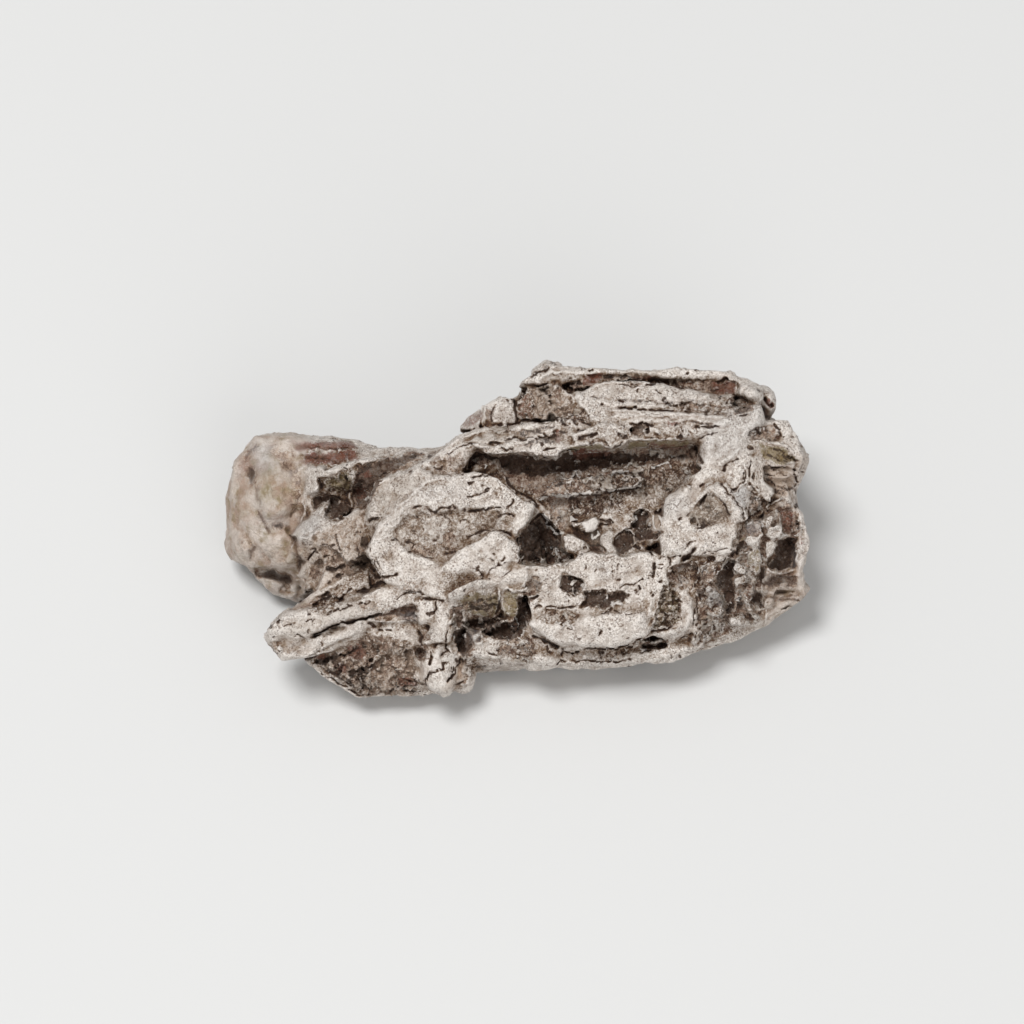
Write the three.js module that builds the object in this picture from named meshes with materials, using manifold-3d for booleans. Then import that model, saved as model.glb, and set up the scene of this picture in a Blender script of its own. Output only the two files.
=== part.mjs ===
// A small iron meteorite: a coarse octahedrite nugget, torn and weathered along its kamacite plates.
// One solid. Millimetres, +Z up, lying on a flat patch of its underside, origin under the middle of its box.
//
// Every form is placed in the frame of the show face: x along the length, y up the face, z out of it.
// The finished solid is then leaned back so that the show face looks up and forward.
import * as THREE from "three";
import { mergeVertices } from "three/addons/utils/BufferGeometryUtils.js";
import { SimplifyModifier } from "three/addons/modifiers/SimplifyModifier.js";
import Module from "manifold-3d";

const wasm = await Module();
wasm.setup();

// Driving dimensions.
const LENGTH = 36; // overall, along x
const FACE_LEAN = 30; // degrees between the show face and level
const STAND_HEIGHT = 7.0; // from the floor up to the origin of the show face
const EDGE_STEP = 1.9; // length of one straight piece of a plate's broken edge
const EDGE_RAGGED = 0.1; // how far a broken edge strays
const WARP = 0.16; // how far the whole surface undulates
const WARP_LENGTH = 3.1; // and over what distance
const KEPT_VERTICES = 0.7; // share of the vertices kept when slivers left by the cuts are collapsed

// The show face's own frame, and the standing nugget seen square on from the side at an azimuth in degrees:
// x to the right, y up from the floor, z out towards the eye.
const SHOW_FACE = new THREE.Matrix4();
function sideFace(azimuth) {
  const standing = new THREE.Matrix4().makeRotationZ(THREE.MathUtils.degToRad(azimuth));
  const upright = new THREE.Matrix4().makeRotationX(Math.PI / 2);
  const leanBack = new THREE.Matrix4().makeRotationX(THREE.MathUtils.degToRad(-FACE_LEAN));
  const drop = new THREE.Matrix4().makeTranslation(0, 0, -STAND_HEIGHT);
  return leanBack.multiply(drop).multiply(standing).multiply(upright);
}

// A smooth, repeatable unevenness between -1 and 1.
function uneven(x, y, z, seed) {
  const a = Math.sin(x * 1.31 + 2.1 * Math.sin(y * 0.77 + seed) + seed * 3.7);
  const b = Math.sin(y * 1.57 + 1.7 * Math.sin(z * 0.83 + seed * 2.3) + seed);
  const c = Math.sin(z * 1.19 + 1.9 * Math.sin(x * 0.91 + seed * 1.9) + seed * 5.1);
  return (a + b + c) / 3;
}

// A closed three.js geometry as a solid that can be joined and cut.
function solidFrom(geometry) {
  const bare = geometry.clone();
  bare.deleteAttribute("normal");
  bare.deleteAttribute("uv");
  const merged = mergeVertices(bare, 1e-4);
  return new wasm.Manifold(
    new wasm.Mesh({
      numProp: 3,
      vertProperties: merged.attributes.position.array,
      triVerts: new Uint32Array(merged.index.array),
    }),
  );
}

// Rounds an outline's corners and breaks its edge into short uneven lengths.
function brokenEdge(outline, seed) {
  const corners = outline.map(([x, y]) => new THREE.Vector3(x, y, 0));
  const curve = new THREE.CatmullRomCurve3(corners, true, "catmullrom", 0.35);
  const count = Math.max(6, Math.round(curve.getLength() / EDGE_STEP));
  return curve.getSpacedPoints(count).slice(0, count).map(({ x, y }) =>
    new THREE.Vector2(
      x + EDGE_RAGGED * uneven(x * 2.3, y * 2.3, 0, seed),
      y + EDGE_RAGGED * uneven(y * 2.9, x * 2.9, 1, seed),
    ),
  );
}

// A kamacite plate: an outline on the show face, its front at height top, with rounded edges.
// tilt turns it about x and y, in degrees, round the middle of its front.
function plate({ outline, top, thick, round = 0.45, tilt = [0, 0], steps = 1, seed = 1, face = SHOW_FACE }) {
  const edge = brokenEdge(outline, seed);
  const middle = edge.reduce((sum, p) => sum.add(p), new THREE.Vector2()).divideScalar(edge.length);
  const shape = new THREE.Shape(edge.map((p) => p.clone().sub(middle)));
  const geometry = new THREE.ExtrudeGeometry(shape, {
    depth: thick - 2 * round,
    bevelThickness: round,
    bevelSize: round,
    bevelOffset: -0.75 * round,
    bevelSegments: steps,
  });
  geometry.translate(0, 0, round - thick);
  geometry.rotateX(THREE.MathUtils.degToRad(tilt[0]));
  geometry.rotateY(THREE.MathUtils.degToRad(tilt[1]));
  geometry.translate(middle.x, middle.y, top);
  geometry.applyMatrix4(face);
  return solidFrom(geometry);
}

// A rounded lump of metal: an uneven ball stretched to radii and turned about z, in degrees.
function lump({ at, radii, turn = 0, detail = 3, rough = 0.07, seed = 1 }) {
  const geometry = new THREE.IcosahedronGeometry(1, detail);
  const position = geometry.attributes.position;
  const point = new THREE.Vector3();
  for (let i = 0; i < position.count; i++) {
    point.fromBufferAttribute(position, i);
    const swell = 1 + rough * uneven(point.x * 2.4, point.y * 2.4, point.z * 2.4, seed);
    position.setXYZ(i, ...point.multiplyScalar(swell).toArray());
  }
  geometry.scale(...radii);
  geometry.rotateZ(THREE.MathUtils.degToRad(turn));
  geometry.translate(...at);
  return solidFrom(geometry);
}

const joined = (solids) => solids.reduce((whole, piece) => whole.add(piece));
const without = (whole, cutters) => cutters.reduce((left, cutter) => left.subtract(cutter), whole);

// The bulk that the plates grow from, inside a rounded cross-section.
function bulk() {
  const grown = joined([
    plate({
      outline: [[-8.6, 3.8], [-3.4, 5.2], [0.6, 8.2], [6, 9.2], [12.4, 8.9], [15, 7.2], [16.4, 3.6], [16.6, -1.5],
        [14.2, -3.9], [9.5, -6.6], [0, -7.4], [-5, -7.8], [-8.8, -5.6], [-9.2, -1]],
      top: 1.5, thick: 15, round: 2.4, steps: 2, tilt: [-7, 0], seed: 2,
    }),
    lump({ at: [6, 2.2, -6], radii: [9.5, 7.6, 5.5], rough: 0.1, seed: 3 }),
    lump({ at: [12.6, 0.2, -3.2], radii: [4.6, 6.2, 5.4], seed: 4 }),
  ]);
  return grown.intersect(crossSection());
}

// The nugget's section across its length, drawn as seen from its right end.
function crossSection() {
  const section = new THREE.Shape(
    [[-14, 14], [-14, 8], [-9.6, 3], [-7, 0.9], [-4.6, -0.3], [4.4, -0.3], [7, 0.8], [9, 3.4], [9.3, 6.6], [8.4, 10],
      [6.6, 13], [5.6, 14]]
      .map(([y, z]) => new THREE.Vector2(y, z)),
  );
  const geometry = new THREE.ExtrudeGeometry(section, { depth: 44, steps: 1, bevelEnabled: false });
  geometry.translate(0, 0, -22);
  geometry.applyMatrix4(sideFace(90));
  return solidFrom(geometry);
}

// The round lobe at the left end and the blocky neck that carries it.
function leftLobe() {
  return joined([
    lump({ at: [-14.7, 1.0, -4.6], radii: [3.2, 4.5, 4.1], turn: 4, rough: 0.09, seed: 5 }),
    plate({ // squared-off head of the lobe
      outline: [[-17.3, 4.1], [-16.3, 5.3], [-14, 5.4], [-9.8, 4.9], [-8.6, 4], [-12.2, 1.4], [-13.2, -1.8],
        [-16.2, -2.3], [-17.7, -0.9]],
      top: -1.7, thick: 6.2, round: 0.9, steps: 2, tilt: [3, -6], seed: 6,
    }),
    lump({ at: [-16.5, -0.9, -4.2], radii: [1.5, 1.6, 2.6], detail: 2, seed: 7 }),
    plate({ // thin lip under the lobe
      outline: [[-16.1, -3], [-15.2, -3.9], [-13.2, -4.5], [-12, -3.6], [-12.4, -2.2], [-14.6, -2.4]],
      top: -3.3, thick: 3.6, round: 0.6, tilt: [12, 0], seed: 8,
    }),
    plate({ // ridge where the lobe meets the neck
      outline: [[-13.9, -0.2], [-13.3, 3.6], [-12.4, 3.9], [-12.2, 2.2], [-12.9, -0.4], [-13.2, -2.6], [-13.7, -2.4]],
      top: -0.8, thick: 4, round: 0.35, tilt: [0, 10], seed: 9,
    }),
    plate({ // neck
      outline: [[-13.4, 3.9], [-9, 4.6], [-5, 4.2], [-5.6, -3.4], [-11, -4.2], [-13.3, -2.6]],
      top: -1.1, thick: 6.8, round: 0.9, tilt: [0, 8], seed: 10,
    }),
    plate({ // tongue of metal that runs from the lobe up into the neck
      outline: [[-13.6, -1.4], [-12.9, 0.3], [-11.4, 1.9], [-11.2, 1.3], [-11.6, 0.6], [-12.4, -0.6], [-13, -2.2]],
      top: 0, thick: 3, round: 0.3, tilt: [-6, 12], seed: 11,
    }),
    plate({ // red-rusted slab along the top of the neck
      outline: [[-12.2, 3.3], [-9.4, 4.4], [-6.1, 4.6], [-5.2, 4.4], [-6.6, 3.2], [-9.2, 2.4], [-9.8, 3.1]],
      top: 0.5, thick: 3.4, round: 0.3, tilt: [-14, 8], seed: 12,
    }),
    plate({ // square blocks below the neck
      outline: [[-12.4, -0.5], [-10.2, 0.9], [-9.2, 1.4], [-8.9, -1.8], [-10.4, -2], [-11.2, -2.6], [-12, -1.6]],
      top: 1.1, thick: 4, round: 0.35, tilt: [6, 14], seed: 13,
    }),
    plate({
      outline: [[-12.9, -3.8], [-12.2, -1.8], [-11.3, -1.5], [-10.6, -2.4], [-10.2, -3.4], [-11.6, -4.1]],
      top: 0.1, thick: 3.2, round: 0.35, tilt: [4, 10], seed: 14,
    }),
  ]);
}

// The broad plates on the left of the show face.
function leftPlates() {
  return joined([
    plate({ // outer plate, behind
      outline: [[-9.2, 1], [-9, 2.1], [-8.3, 2.9], [-6.9, 3.4], [-5.5, 4.1], [-4.4, 5.1], [-2.6, 5.6], [-3.4, 3.6],
        [-5, 1], [-8.6, -2.4], [-9.2, -1.6]],
      top: 2.35, thick: 3.6, round: 0.4, tilt: [2, -4], seed: 15,
    }),
    plate({ // rimmed plate, in front
      outline: [[-9, -1.2], [-8.3, 0.3], [-6.6, 2], [-5.4, 3.1], [-3.6, 3.3], [-2.4, 3.1], [-1.2, 3.7], [-0.5, 3.1],
        [0, 2.1], [1.2, 1.4], [1.3, 0.9], [0, -0.6], [0, -2.6], [-3.4, -4], [-6, -3.6], [-8, -2.9]],
      top: 3.5, thick: 3.4, round: 0.42, steps: 3, tilt: [-2, 2], seed: 16,
    }),
    plate({ // round tongue on it
      outline: [[-3.2, -1], [-2.2, -0.15], [-1, -0.1], [-0.1, -0.7], [0.2, -1.5], [0, -2.4], [-3.4, -2.8], [-4.6, -2.2]],
      top: 4.05, thick: 2.4, round: 0.5, steps: 3, tilt: [4, 3], seed: 17,
    }),
    plate({ // web that joins the plates to the finger and the shelf
      outline: [[-8.2, -3], [-5, -2.1], [-1, -2.2], [1.4, -2.2], [0.4, -3.6], [-1.4, -3.5], [-3.6, -4.1], [-4.4, -5.3],
        [-5, -4.3], [-6.8, -3.9]],
      top: 3.75, thick: 3.4, round: 0.4, tilt: [6, 0], seed: 18,
    }),
  ]);
}

// The long diagonal finger, two lamellae with a split between them.
function finger() {
  return joined([
    plate({
      outline: [[-15, -6.2], [-14.5, -5.3], [-12.4, -4.9], [-11, -4.8], [-8.6, -3.9], [-6.4, -3.2], [-5.2, -3.9],
        [-7.4, -4.8], [-9.4, -5.3], [-11.6, -6], [-13.6, -6.7]],
      top: 3.5, thick: 2.9, round: 0.6, steps: 3, tilt: [3, 5], seed: 19,
    }),
    plate({
      outline: [[-15.2, -6.7], [-13.8, -6.3], [-11.2, -6.2], [-10.2, -5.9], [-9.2, -6.1], [-9.4, -6.8], [-11.6, -7.4],
        [-13.4, -7.9], [-15, -7.8]],
      top: 2.8, thick: 2.9, round: 0.6, steps: 3, tilt: [8, 4], seed: 20,
    }),
    plate({ // sliver above it
      outline: [[-13.7, -4.9], [-11.2, -3.3], [-9.1, -2.2], [-8.7, -3.2], [-9.9, -3.9], [-11.2, -4.4], [-12, -5]],
      top: 1.95, thick: 2.6, round: 0.3, tilt: [-8, 8], seed: 21,
    }),
  ]);
}

// The foot below the finger, with its cracked bulb.
function foot() {
  return joined([
    plate({
      outline: [[-12.6, -8.1], [-10.4, -7], [-8.4, -5.8], [-5, -5.4], [-3.2, -6.6], [-2.7, -8.6], [-3.4, -9.8],
        [-5, -10.2], [-9.2, -10.3], [-11.2, -9.3]],
      top: 1.3, thick: 4.6, round: 0.8, tilt: [10, 6], seed: 22,
    }),
    plate({ // wall of the wedge-shaped opening above it
      outline: [[-9, -6.1], [-8.2, -5.5], [-6, -5.6], [-5.8, -6.4], [-6.4, -7.6], [-8.4, -7.4]],
      top: 2.2, thick: 3, round: 0.3, tilt: [6, 0], seed: 23,
    }),
    plate({
      outline: [[-6.1, -4.3], [-5.1, -4.25], [-4.9, -5.2], [-5.5, -5.9], [-6, -5.5]],
      top: 3.1, thick: 2.6, round: 0.3, seed: 24,
    }),
    plate({ // arm that drops from the web into the bulb
      outline: [[-5, -4.2], [-3.7, -4.4], [-4.1, -5.6], [-3.6, -6.8], [-5.6, -7], [-4.9, -5.6]],
      top: 3.3, thick: 3, round: 0.35, tilt: [8, 0], seed: 25,
    }),
    lump({ at: [-4.75, -8.1, 0.5], radii: [1.45, 2.15, 2.35], turn: 8, detail: 4, rough: 0.1, seed: 26 }),
    lump({ at: [-3.35, -8.8, -0.3], radii: [0.85, 1.35, 1.7], turn: 12, detail: 2, seed: 27 }),
    lump({ at: [-5.9, -8.8, -0.1], radii: [0.8, 1.1, 1.6], turn: -10, detail: 2, seed: 28 }),
  ]);
}

// The pale shelf across the lower middle and the frame at its right.
function shelf() {
  return joined([
    plate({
      outline: [[-0.9, -2.2], [0.6, -2.2], [2.2, -1.95], [3.4, -1.8], [4.2, -1.45], [6.4, -1.6], [7.8, -1.2],
        [8.5, -1.8], [9.4, -2], [8.9, -3.8], [8.1, -6], [7.4, -6.9], [3, -7], [1.2, -6.4], [0.7, -5.4], [1, -4.4],
        [0.2, -3.5], [-1, -3.3]],
      top: 3.3, thick: 4, round: 0.4, steps: 2, tilt: [5, 1], seed: 29,
    }),
    plate({ // big tongue
      outline: [[0.6, -5.7], [0.8, -5], [1.4, -5], [2.6, -5.6], [5, -5.3], [7.6, -5], [8.1, -5.7], [7.5, -6.7],
        [6.6, -7.05], [3.2, -7.1], [1.4, -6.5]],
      top: 3.55, thick: 3, round: 0.5, steps: 3, tilt: [12, 0], seed: 30,
    }),
    plate({ // small frame
      outline: [[8.7, -3.1], [9.8, -3.4], [10.7, -3.9], [10.95, -5.2], [10.6, -6.1], [9.6, -6.6], [7.9, -6.5], [8.4, -5]],
      top: 2.35, thick: 3, round: 0.35, tilt: [6, 6], seed: 31,
    }),
    plate({ // bottom ledge
      outline: [[0.4, -6.4], [2.6, -7.1], [7.6, -7], [9.8, -6.5], [11.2, -6.8], [10.6, -7.8], [7.6, -8.2],
        [2.4, -8.45], [0, -8.1], [-2.2, -8], [-2.4, -7.2], [-1, -6.9]],
      top: 1.25, thick: 4, round: 0.6, tilt: [8, 2], seed: 32,
    }),
    lump({ at: [1.4, -7.6, 0.4], radii: [1.3, 1.15, 1.6], detail: 3, seed: 33 }),
    plate({ // fold between the two pockets
      outline: [[-1.2, -3.5], [-0.5, -3.6], [-0.2, -4.6], [0, -5.9], [-0.5, -6], [-0.9, -5.3], [-1.1, -4.6]],
      top: 2.6, thick: 3.6, round: 0.22, tilt: [10, 20], seed: 34,
    }),
  ]);
}

// The plateau on the right with its diamond-shaped frame.
function rightPlateau() {
  return joined([
    plate({
      outline: [[9, 1.6], [11, 3.4], [11.4, 4.4], [10.8, 5.4], [12.4, 7], [15, 7.6], [15.6, 7], [14, 5.9], [14, 4.4],
        [14.4, 3], [13.9, 1], [13.2, -0.8], [12.9, -1.6], [11, -1.1], [9.4, -2], [8.1, -1], [8.9, -0.2]],
      top: 3.1, thick: 4.2, round: 0.4, tilt: [-4, 6], seed: 35,
    }),
    plate({ // bar on the diamond's upper right
      outline: [[11.7, 2.6], [12.1, 3.1], [13, 2.2], [14, 0.7], [13.6, 0.2], [13, 0.6], [12.4, 1.8]],
      top: 3.75, thick: 2, round: 0.28, tilt: [0, 8], seed: 36,
    }),
    plate({ // bar on its upper left
      outline: [[10.8, 1.5], [11.7, 2.9], [12.1, 2.9], [11.9, 2.3], [11.2, 1.3], [10.8, 0.6], [10.3, 0.7]],
      top: 3.65, thick: 2, round: 0.24, seed: 37,
    }),
    plate({ // its lower corner
      outline: [[11, -0.3], [12, 0.5], [13.6, 0.4], [13.9, -0.1], [13.1, -0.9], [12.9, -1.7], [11.4, -1]],
      top: 3.45, thick: 2.4, round: 0.28, tilt: [4, 8], seed: 38,
    }),
    plate({ // leaf below it, over the crumbling corner
      outline: [[9.4, -2.1], [11, -1], [12.2, -1.3], [13, -1.4], [12.4, -2.5], [11.2, -2.2], [10.2, -2.1]],
      top: 2.5, thick: 2.2, round: 0.22, tilt: [12, 8], seed: 39,
    }),
    plate({ // knuckles right of the diamond
      outline: [[13.9, 4.4], [14.9, 4.5], [15.1, 3], [15.7, 2.2], [15.2, 1.5], [14.6, 2.2], [14, 3]],
      top: 2.5, thick: 3, round: 0.3, tilt: [-4, 12], seed: 40,
    }),
    plate({
      outline: [[13.1, 2.2], [14, 3], [14.9, 1.9], [15.2, 1.1], [14.4, 0.4], [14, 0.9], [13.8, 1.6]],
      top: 1.9, thick: 3, round: 0.25, tilt: [4, 14], seed: 41,
    }),
  ]);
}

// The square, layered block at the upper right.
function rightBlock() {
  return joined([
    plate({
      outline: [[14, 5.4], [15.6, 6.7], [16.5, 6.6], [17.2, 5.7], [17.4, 5], [18, 4.3], [17.8, 3.4], [16.8, 2.4],
        [15.6, 2], [14.9, 2.8]],
      top: 0.3, thick: 6.4, round: 0.5, tilt: [-6, 8], seed: 42,
    }),
    plate({ // cap plate
      outline: [[14, 5.2], [14.4, 6.6], [15.7, 6.75], [16.6, 6.6], [17.2, 5.6], [17.5, 4.6], [18, 4], [16.8, 4.1],
        [15.4, 4.9]],
      top: 1.7, thick: 2.6, round: 0.35, tilt: [-12, 12], seed: 43,
    }),
    plate({ // middle layer
      outline: [[15, 3.9], [16.9, 3.9], [17.6, 3.6], [16.9, 3], [15.3, 3.1]],
      top: 1.1, thick: 2.2, round: 0.22, tilt: [6, 10], seed: 44,
    }),
  ]);
}

// The crumbling lower right corner: a hollow with rims, ledges and loose-looking grains.
function rightCorner() {
  return joined([
    plate({ // right rim
      outline: [[16.2, 1.9], [17, 1.9], [17.7, 0.8], [17.95, -0.6], [17.5, -2.2], [18, -3.6], [17.4, -4.5],
        [16.6, -2.6], [17.1, -1], [16.9, 0.6]],
      top: 0.2, thick: 5.2, round: 0.35, tilt: [0, 12], seed: 45,
    }),
    plate({ // ledge that crosses the hollow
      outline: [[14.9, -2.4], [16.2, -2.65], [17.4, -2.3], [17.6, -3], [16.2, -3.1], [15, -3]],
      top: -0.4, thick: 3, round: 0.2, tilt: [6, 0], seed: 46,
    }),
    plate({
      outline: [[14.6, -3.8], [16.4, -3.75], [18, -3.5], [17.6, -4.5], [16, -5.3], [14, -6.6], [11, -7.4], [10.8, -6.2],
        [12.8, -5.9], [14.4, -5]],
      top: -0.4, thick: 4.6, round: 0.6, tilt: [10, 6], seed: 47,
    }),
    plate({ // grains
      outline: [[14.1, -1.2], [14.7, -1], [15.1, -2], [14.8, -3], [14.2, -2.6]],
      top: 1.4, thick: 3.4, round: 0.25, tilt: [0, 8], seed: 48,
    }),
    plate({
      outline: [[13.9, -0.2], [15, -0.1], [15, -0.9], [14.2, -1.3]],
      top: 1.7, thick: 3, round: 0.25, seed: 49,
    }),
    plate({
      outline: [[15.1, -0.1], [16, 0.3], [16.2, 0], [15.7, -0.6], [15.3, -0.5]],
      top: 1.5, thick: 2.6, round: 0.2, tilt: [0, 10], seed: 50,
    }),
    plate({
      outline: [[13.2, -2.1], [13.9, -2.1], [14, -2.7], [13.3, -2.8]],
      top: 1.4, thick: 2.6, round: 0.18, seed: 51,
    }),
    plate({
      outline: [[11.5, -3.9], [12.3, -3.8], [12.6, -4.9], [11.9, -5.2], [11.5, -4.8]],
      top: 1.2, thick: 2.6, round: 0.2, tilt: [4, 6], seed: 52,
    }),
    plate({
      outline: [[12.9, -5.2], [13.9, -5.4], [14.2, -5.9], [13.4, -6.2], [12.8, -5.8]],
      top: 0.4, thick: 2.4, round: 0.25, seed: 53,
    }),
    plate({
      outline: [[13.6, -3.2], [14.4, -3.4], [14.6, -4.2], [14, -4.9], [13.6, -4.2]],
      top: 0.9, thick: 2.8, round: 0.2, tilt: [6, 0], seed: 54,
    }),
    plate({
      outline: [[9.3, -2.6], [10.4, -2.6], [10.9, -3.1], [10.3, -3.7], [9.4, -3.3]],
      top: 1.6, thick: 2.4, round: 0.25, tilt: [8, 0], seed: 55,
    }),
  ]);
}

// The long leaves along the top, which roof the deep groove.
function topLeaves() {
  return joined([
    plate({ // leaf above the split
      outline: [[3.3, 8.1], [5.2, 9.05], [8.4, 8.95], [11.4, 8.4], [13.4, 8], [13.4, 7.4], [9.4, 7.3], [5, 7.4]],
      top: 1.75, thick: 3, round: 0.4, tilt: [-16, 4], seed: 56,
    }),
    plate({ // leaf below the split
      outline: [[4.1, 7.5], [7, 7.25], [12.6, 6.95], [14.8, 7.4], [13.6, 6], [10.8, 5.5], [6.8, 5.4], [6, 4.8],
        [5, 5.3], [3.4, 5.1], [3.4, 5.6], [4.9, 6.3]],
      top: 2.9, thick: 2.2, round: 0.32, tilt: [-12, 2], seed: 57,
    }),
    plate({ // ridge along the crest
      outline: [[0.3, 9], [1.1, 9.9], [2.6, 10.1], [5.6, 9.7], [9, 9.75], [12.2, 9.9], [13.6, 9.2], [12.6, 8.9],
        [9, 9.2], [7.4, 9.3], [4.6, 9.2], [3.2, 8.8], [2, 8.7]],
      top: 0.6, thick: 4.4, round: 0.25, tilt: [-14, 3], seed: 58,
    }),
    lump({ at: [1.9, 9.75, -1.2], radii: [0.95, 0.55, 1.4], turn: 12, detail: 2, seed: 59 }),
    lump({ at: [14.2, 8.25, -0.1], radii: [0.95, 0.75, 1.5], turn: -18, detail: 3, seed: 60 }),
    lump({ at: [15.1, 7.85, -1.4], radii: [0.8, 1.05, 1.7], turn: 20, detail: 2, seed: 61 }),
    plate({ // strips on the left of the lip
      outline: [[-3, 5.1], [-0.8, 5.2], [0.4, 5.5], [1.9, 5.4], [2.9, 5.3], [3.3, 5], [2.2, 4.5], [1.2, 4.6], [-1, 4.75],
        [-2.9, 4.6]],
      top: 3.1, thick: 1.9, round: 0.26, tilt: [-8, -2], seed: 62,
    }),
    plate({
      outline: [[-1, 6], [0.4, 6.4], [2.6, 6.5], [3.6, 6.2], [3.7, 5.6], [2.8, 5.5], [2.2, 5.9], [0.4, 5.6], [-1.2, 5.4]],
      top: 2.5, thick: 2.6, round: 0.25, tilt: [-10, 0], seed: 63,
    }),
    plate({ // long low shoulder that runs down to the left
      outline: [[-5, 4.4], [-4, 5.5], [-2, 6.3], [-0.4, 6.2], [-1, 5.2], [-3.2, 5], [-4.2, 4]],
      top: 2.1, thick: 3, round: 0.3, tilt: [-8, -6], seed: 64,
    }),
  ]);
}

// The angular blocks at the upper left of the crest.
function crestBlocks() {
  return joined([
    plate({
      outline: [[-3.4, 6.2], [-3.1, 6.9], [-2, 7.5], [-1.8, 6.2], [-2.4, 5.9]],
      top: -0.2, thick: 4.4, round: 0.25, tilt: [-18, -8], seed: 65,
    }),
    plate({
      outline: [[-2.1, 6.3], [-1.9, 7.7], [-0.9, 8.3], [-0.2, 8.2], [0, 6.5], [-1.4, 6.4]],
      top: 1, thick: 4.6, round: 0.25, tilt: [-20, 4], seed: 66,
    }),
    plate({
      outline: [[0, 6.7], [0.1, 8.5], [1.4, 8.7], [2, 8.2], [2, 6.7], [1, 6.6]],
      top: 0.9, thick: 4, round: 0.2, tilt: [-16, -12], seed: 67,
    }),
    plate({
      outline: [[2, 8.6], [3, 8.6], [4.2, 7.1], [4.6, 6.3], [3.4, 6.5], [2, 6.8]],
      top: 1.4, thick: 4, round: 0.2, tilt: [-16, 14], seed: 68,
    }),
  ]);
}

// The back and the ends: thick lamellae, stepped like the front.
function backPlates() {
  const back = sideFace(180);
  const rightEnd = sideFace(90);
  const front = sideFace(0);
  return joined([
    plate({
      outline: [[-13.4, 9], [-10, 11], [-4, 11], [-1.4, 10], [-2, 8.6], [-6, 7.9], [-12, 7.8]],
      top: 9.2, thick: 3.4, round: 0.5, tilt: [-14, 2], seed: 70, face: back,
    }),
    plate({
      outline: [[-12.6, 6.4], [-6, 8], [-1.6, 7.8], [0.6, 6.4], [-0.6, 4.6], [-5, 4], [-11.6, 4.3]],
      top: 10, thick: 3.2, round: 0.5, tilt: [-5, 4], seed: 71, face: back,
    }),
    plate({
      outline: [[-15.2, 4.6], [-9, 5.2], [-3.4, 3.8], [-3.6, 1.4], [-9, 0.9], [-14.4, 1.6]],
      top: 9.5, thick: 3.4, round: 0.5, tilt: [3, -5], seed: 72, face: back,
    }),
    plate({
      outline: [[-3, 3.6], [2.4, 3.8], [8, 3.2], [7.4, 0.8], [3, 0.6], [-2.6, 0.8]],
      top: 7.6, thick: 4, round: 0.5, tilt: [6, 6], seed: 73, face: back,
    }),
    plate({
      outline: [[-2.4, 4.2], [-0.6, 6.2], [3.4, 6], [4.6, 3.4], [1.4, 1.4], [-1.8, 2.2]],
      top: 16.1, thick: 3, round: 0.5, tilt: [4, 6], seed: 74, face: rightEnd,
    }),
    plate({
      outline: [[-6, 0.9], [-4, 3.2], [-0.6, 4], [2.2, 3.2], [1.4, 1.1], [-2, 0.6]],
      top: 6.3, thick: 3, round: 0.4, tilt: [-8, 4], seed: 79, face: front,
    }),
    plate({
      outline: [[3.4, 1.6], [5.6, 3.6], [9.8, 3.4], [13, 4], [13.6, 2.2], [9, 0.9]],
      top: 6, thick: 3, round: 0.4, tilt: [-6, 10], seed: 80, face: front,
    }),
    lump({ at: [-1.2, 4.2, -4.8], radii: [3, 2.2, 4.2], turn: 24, rough: 0.12, seed: 75 }),
    lump({ at: [15, 3.4, -5.2], radii: [2.4, 3.6, 3.2], turn: 8, detail: 2, rough: 0.12, seed: 76 }),
    lump({ at: [-8.6, 1.4, -5.6], radii: [4.6, 3.1, 2.7], turn: -8, rough: 0.12, seed: 77 }),
    lump({ at: [3, -5.6, -2.6], radii: [7.2, 2.6, 2.8], turn: -3, rough: 0.1, seed: 78 }),
  ]);
}

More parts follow.
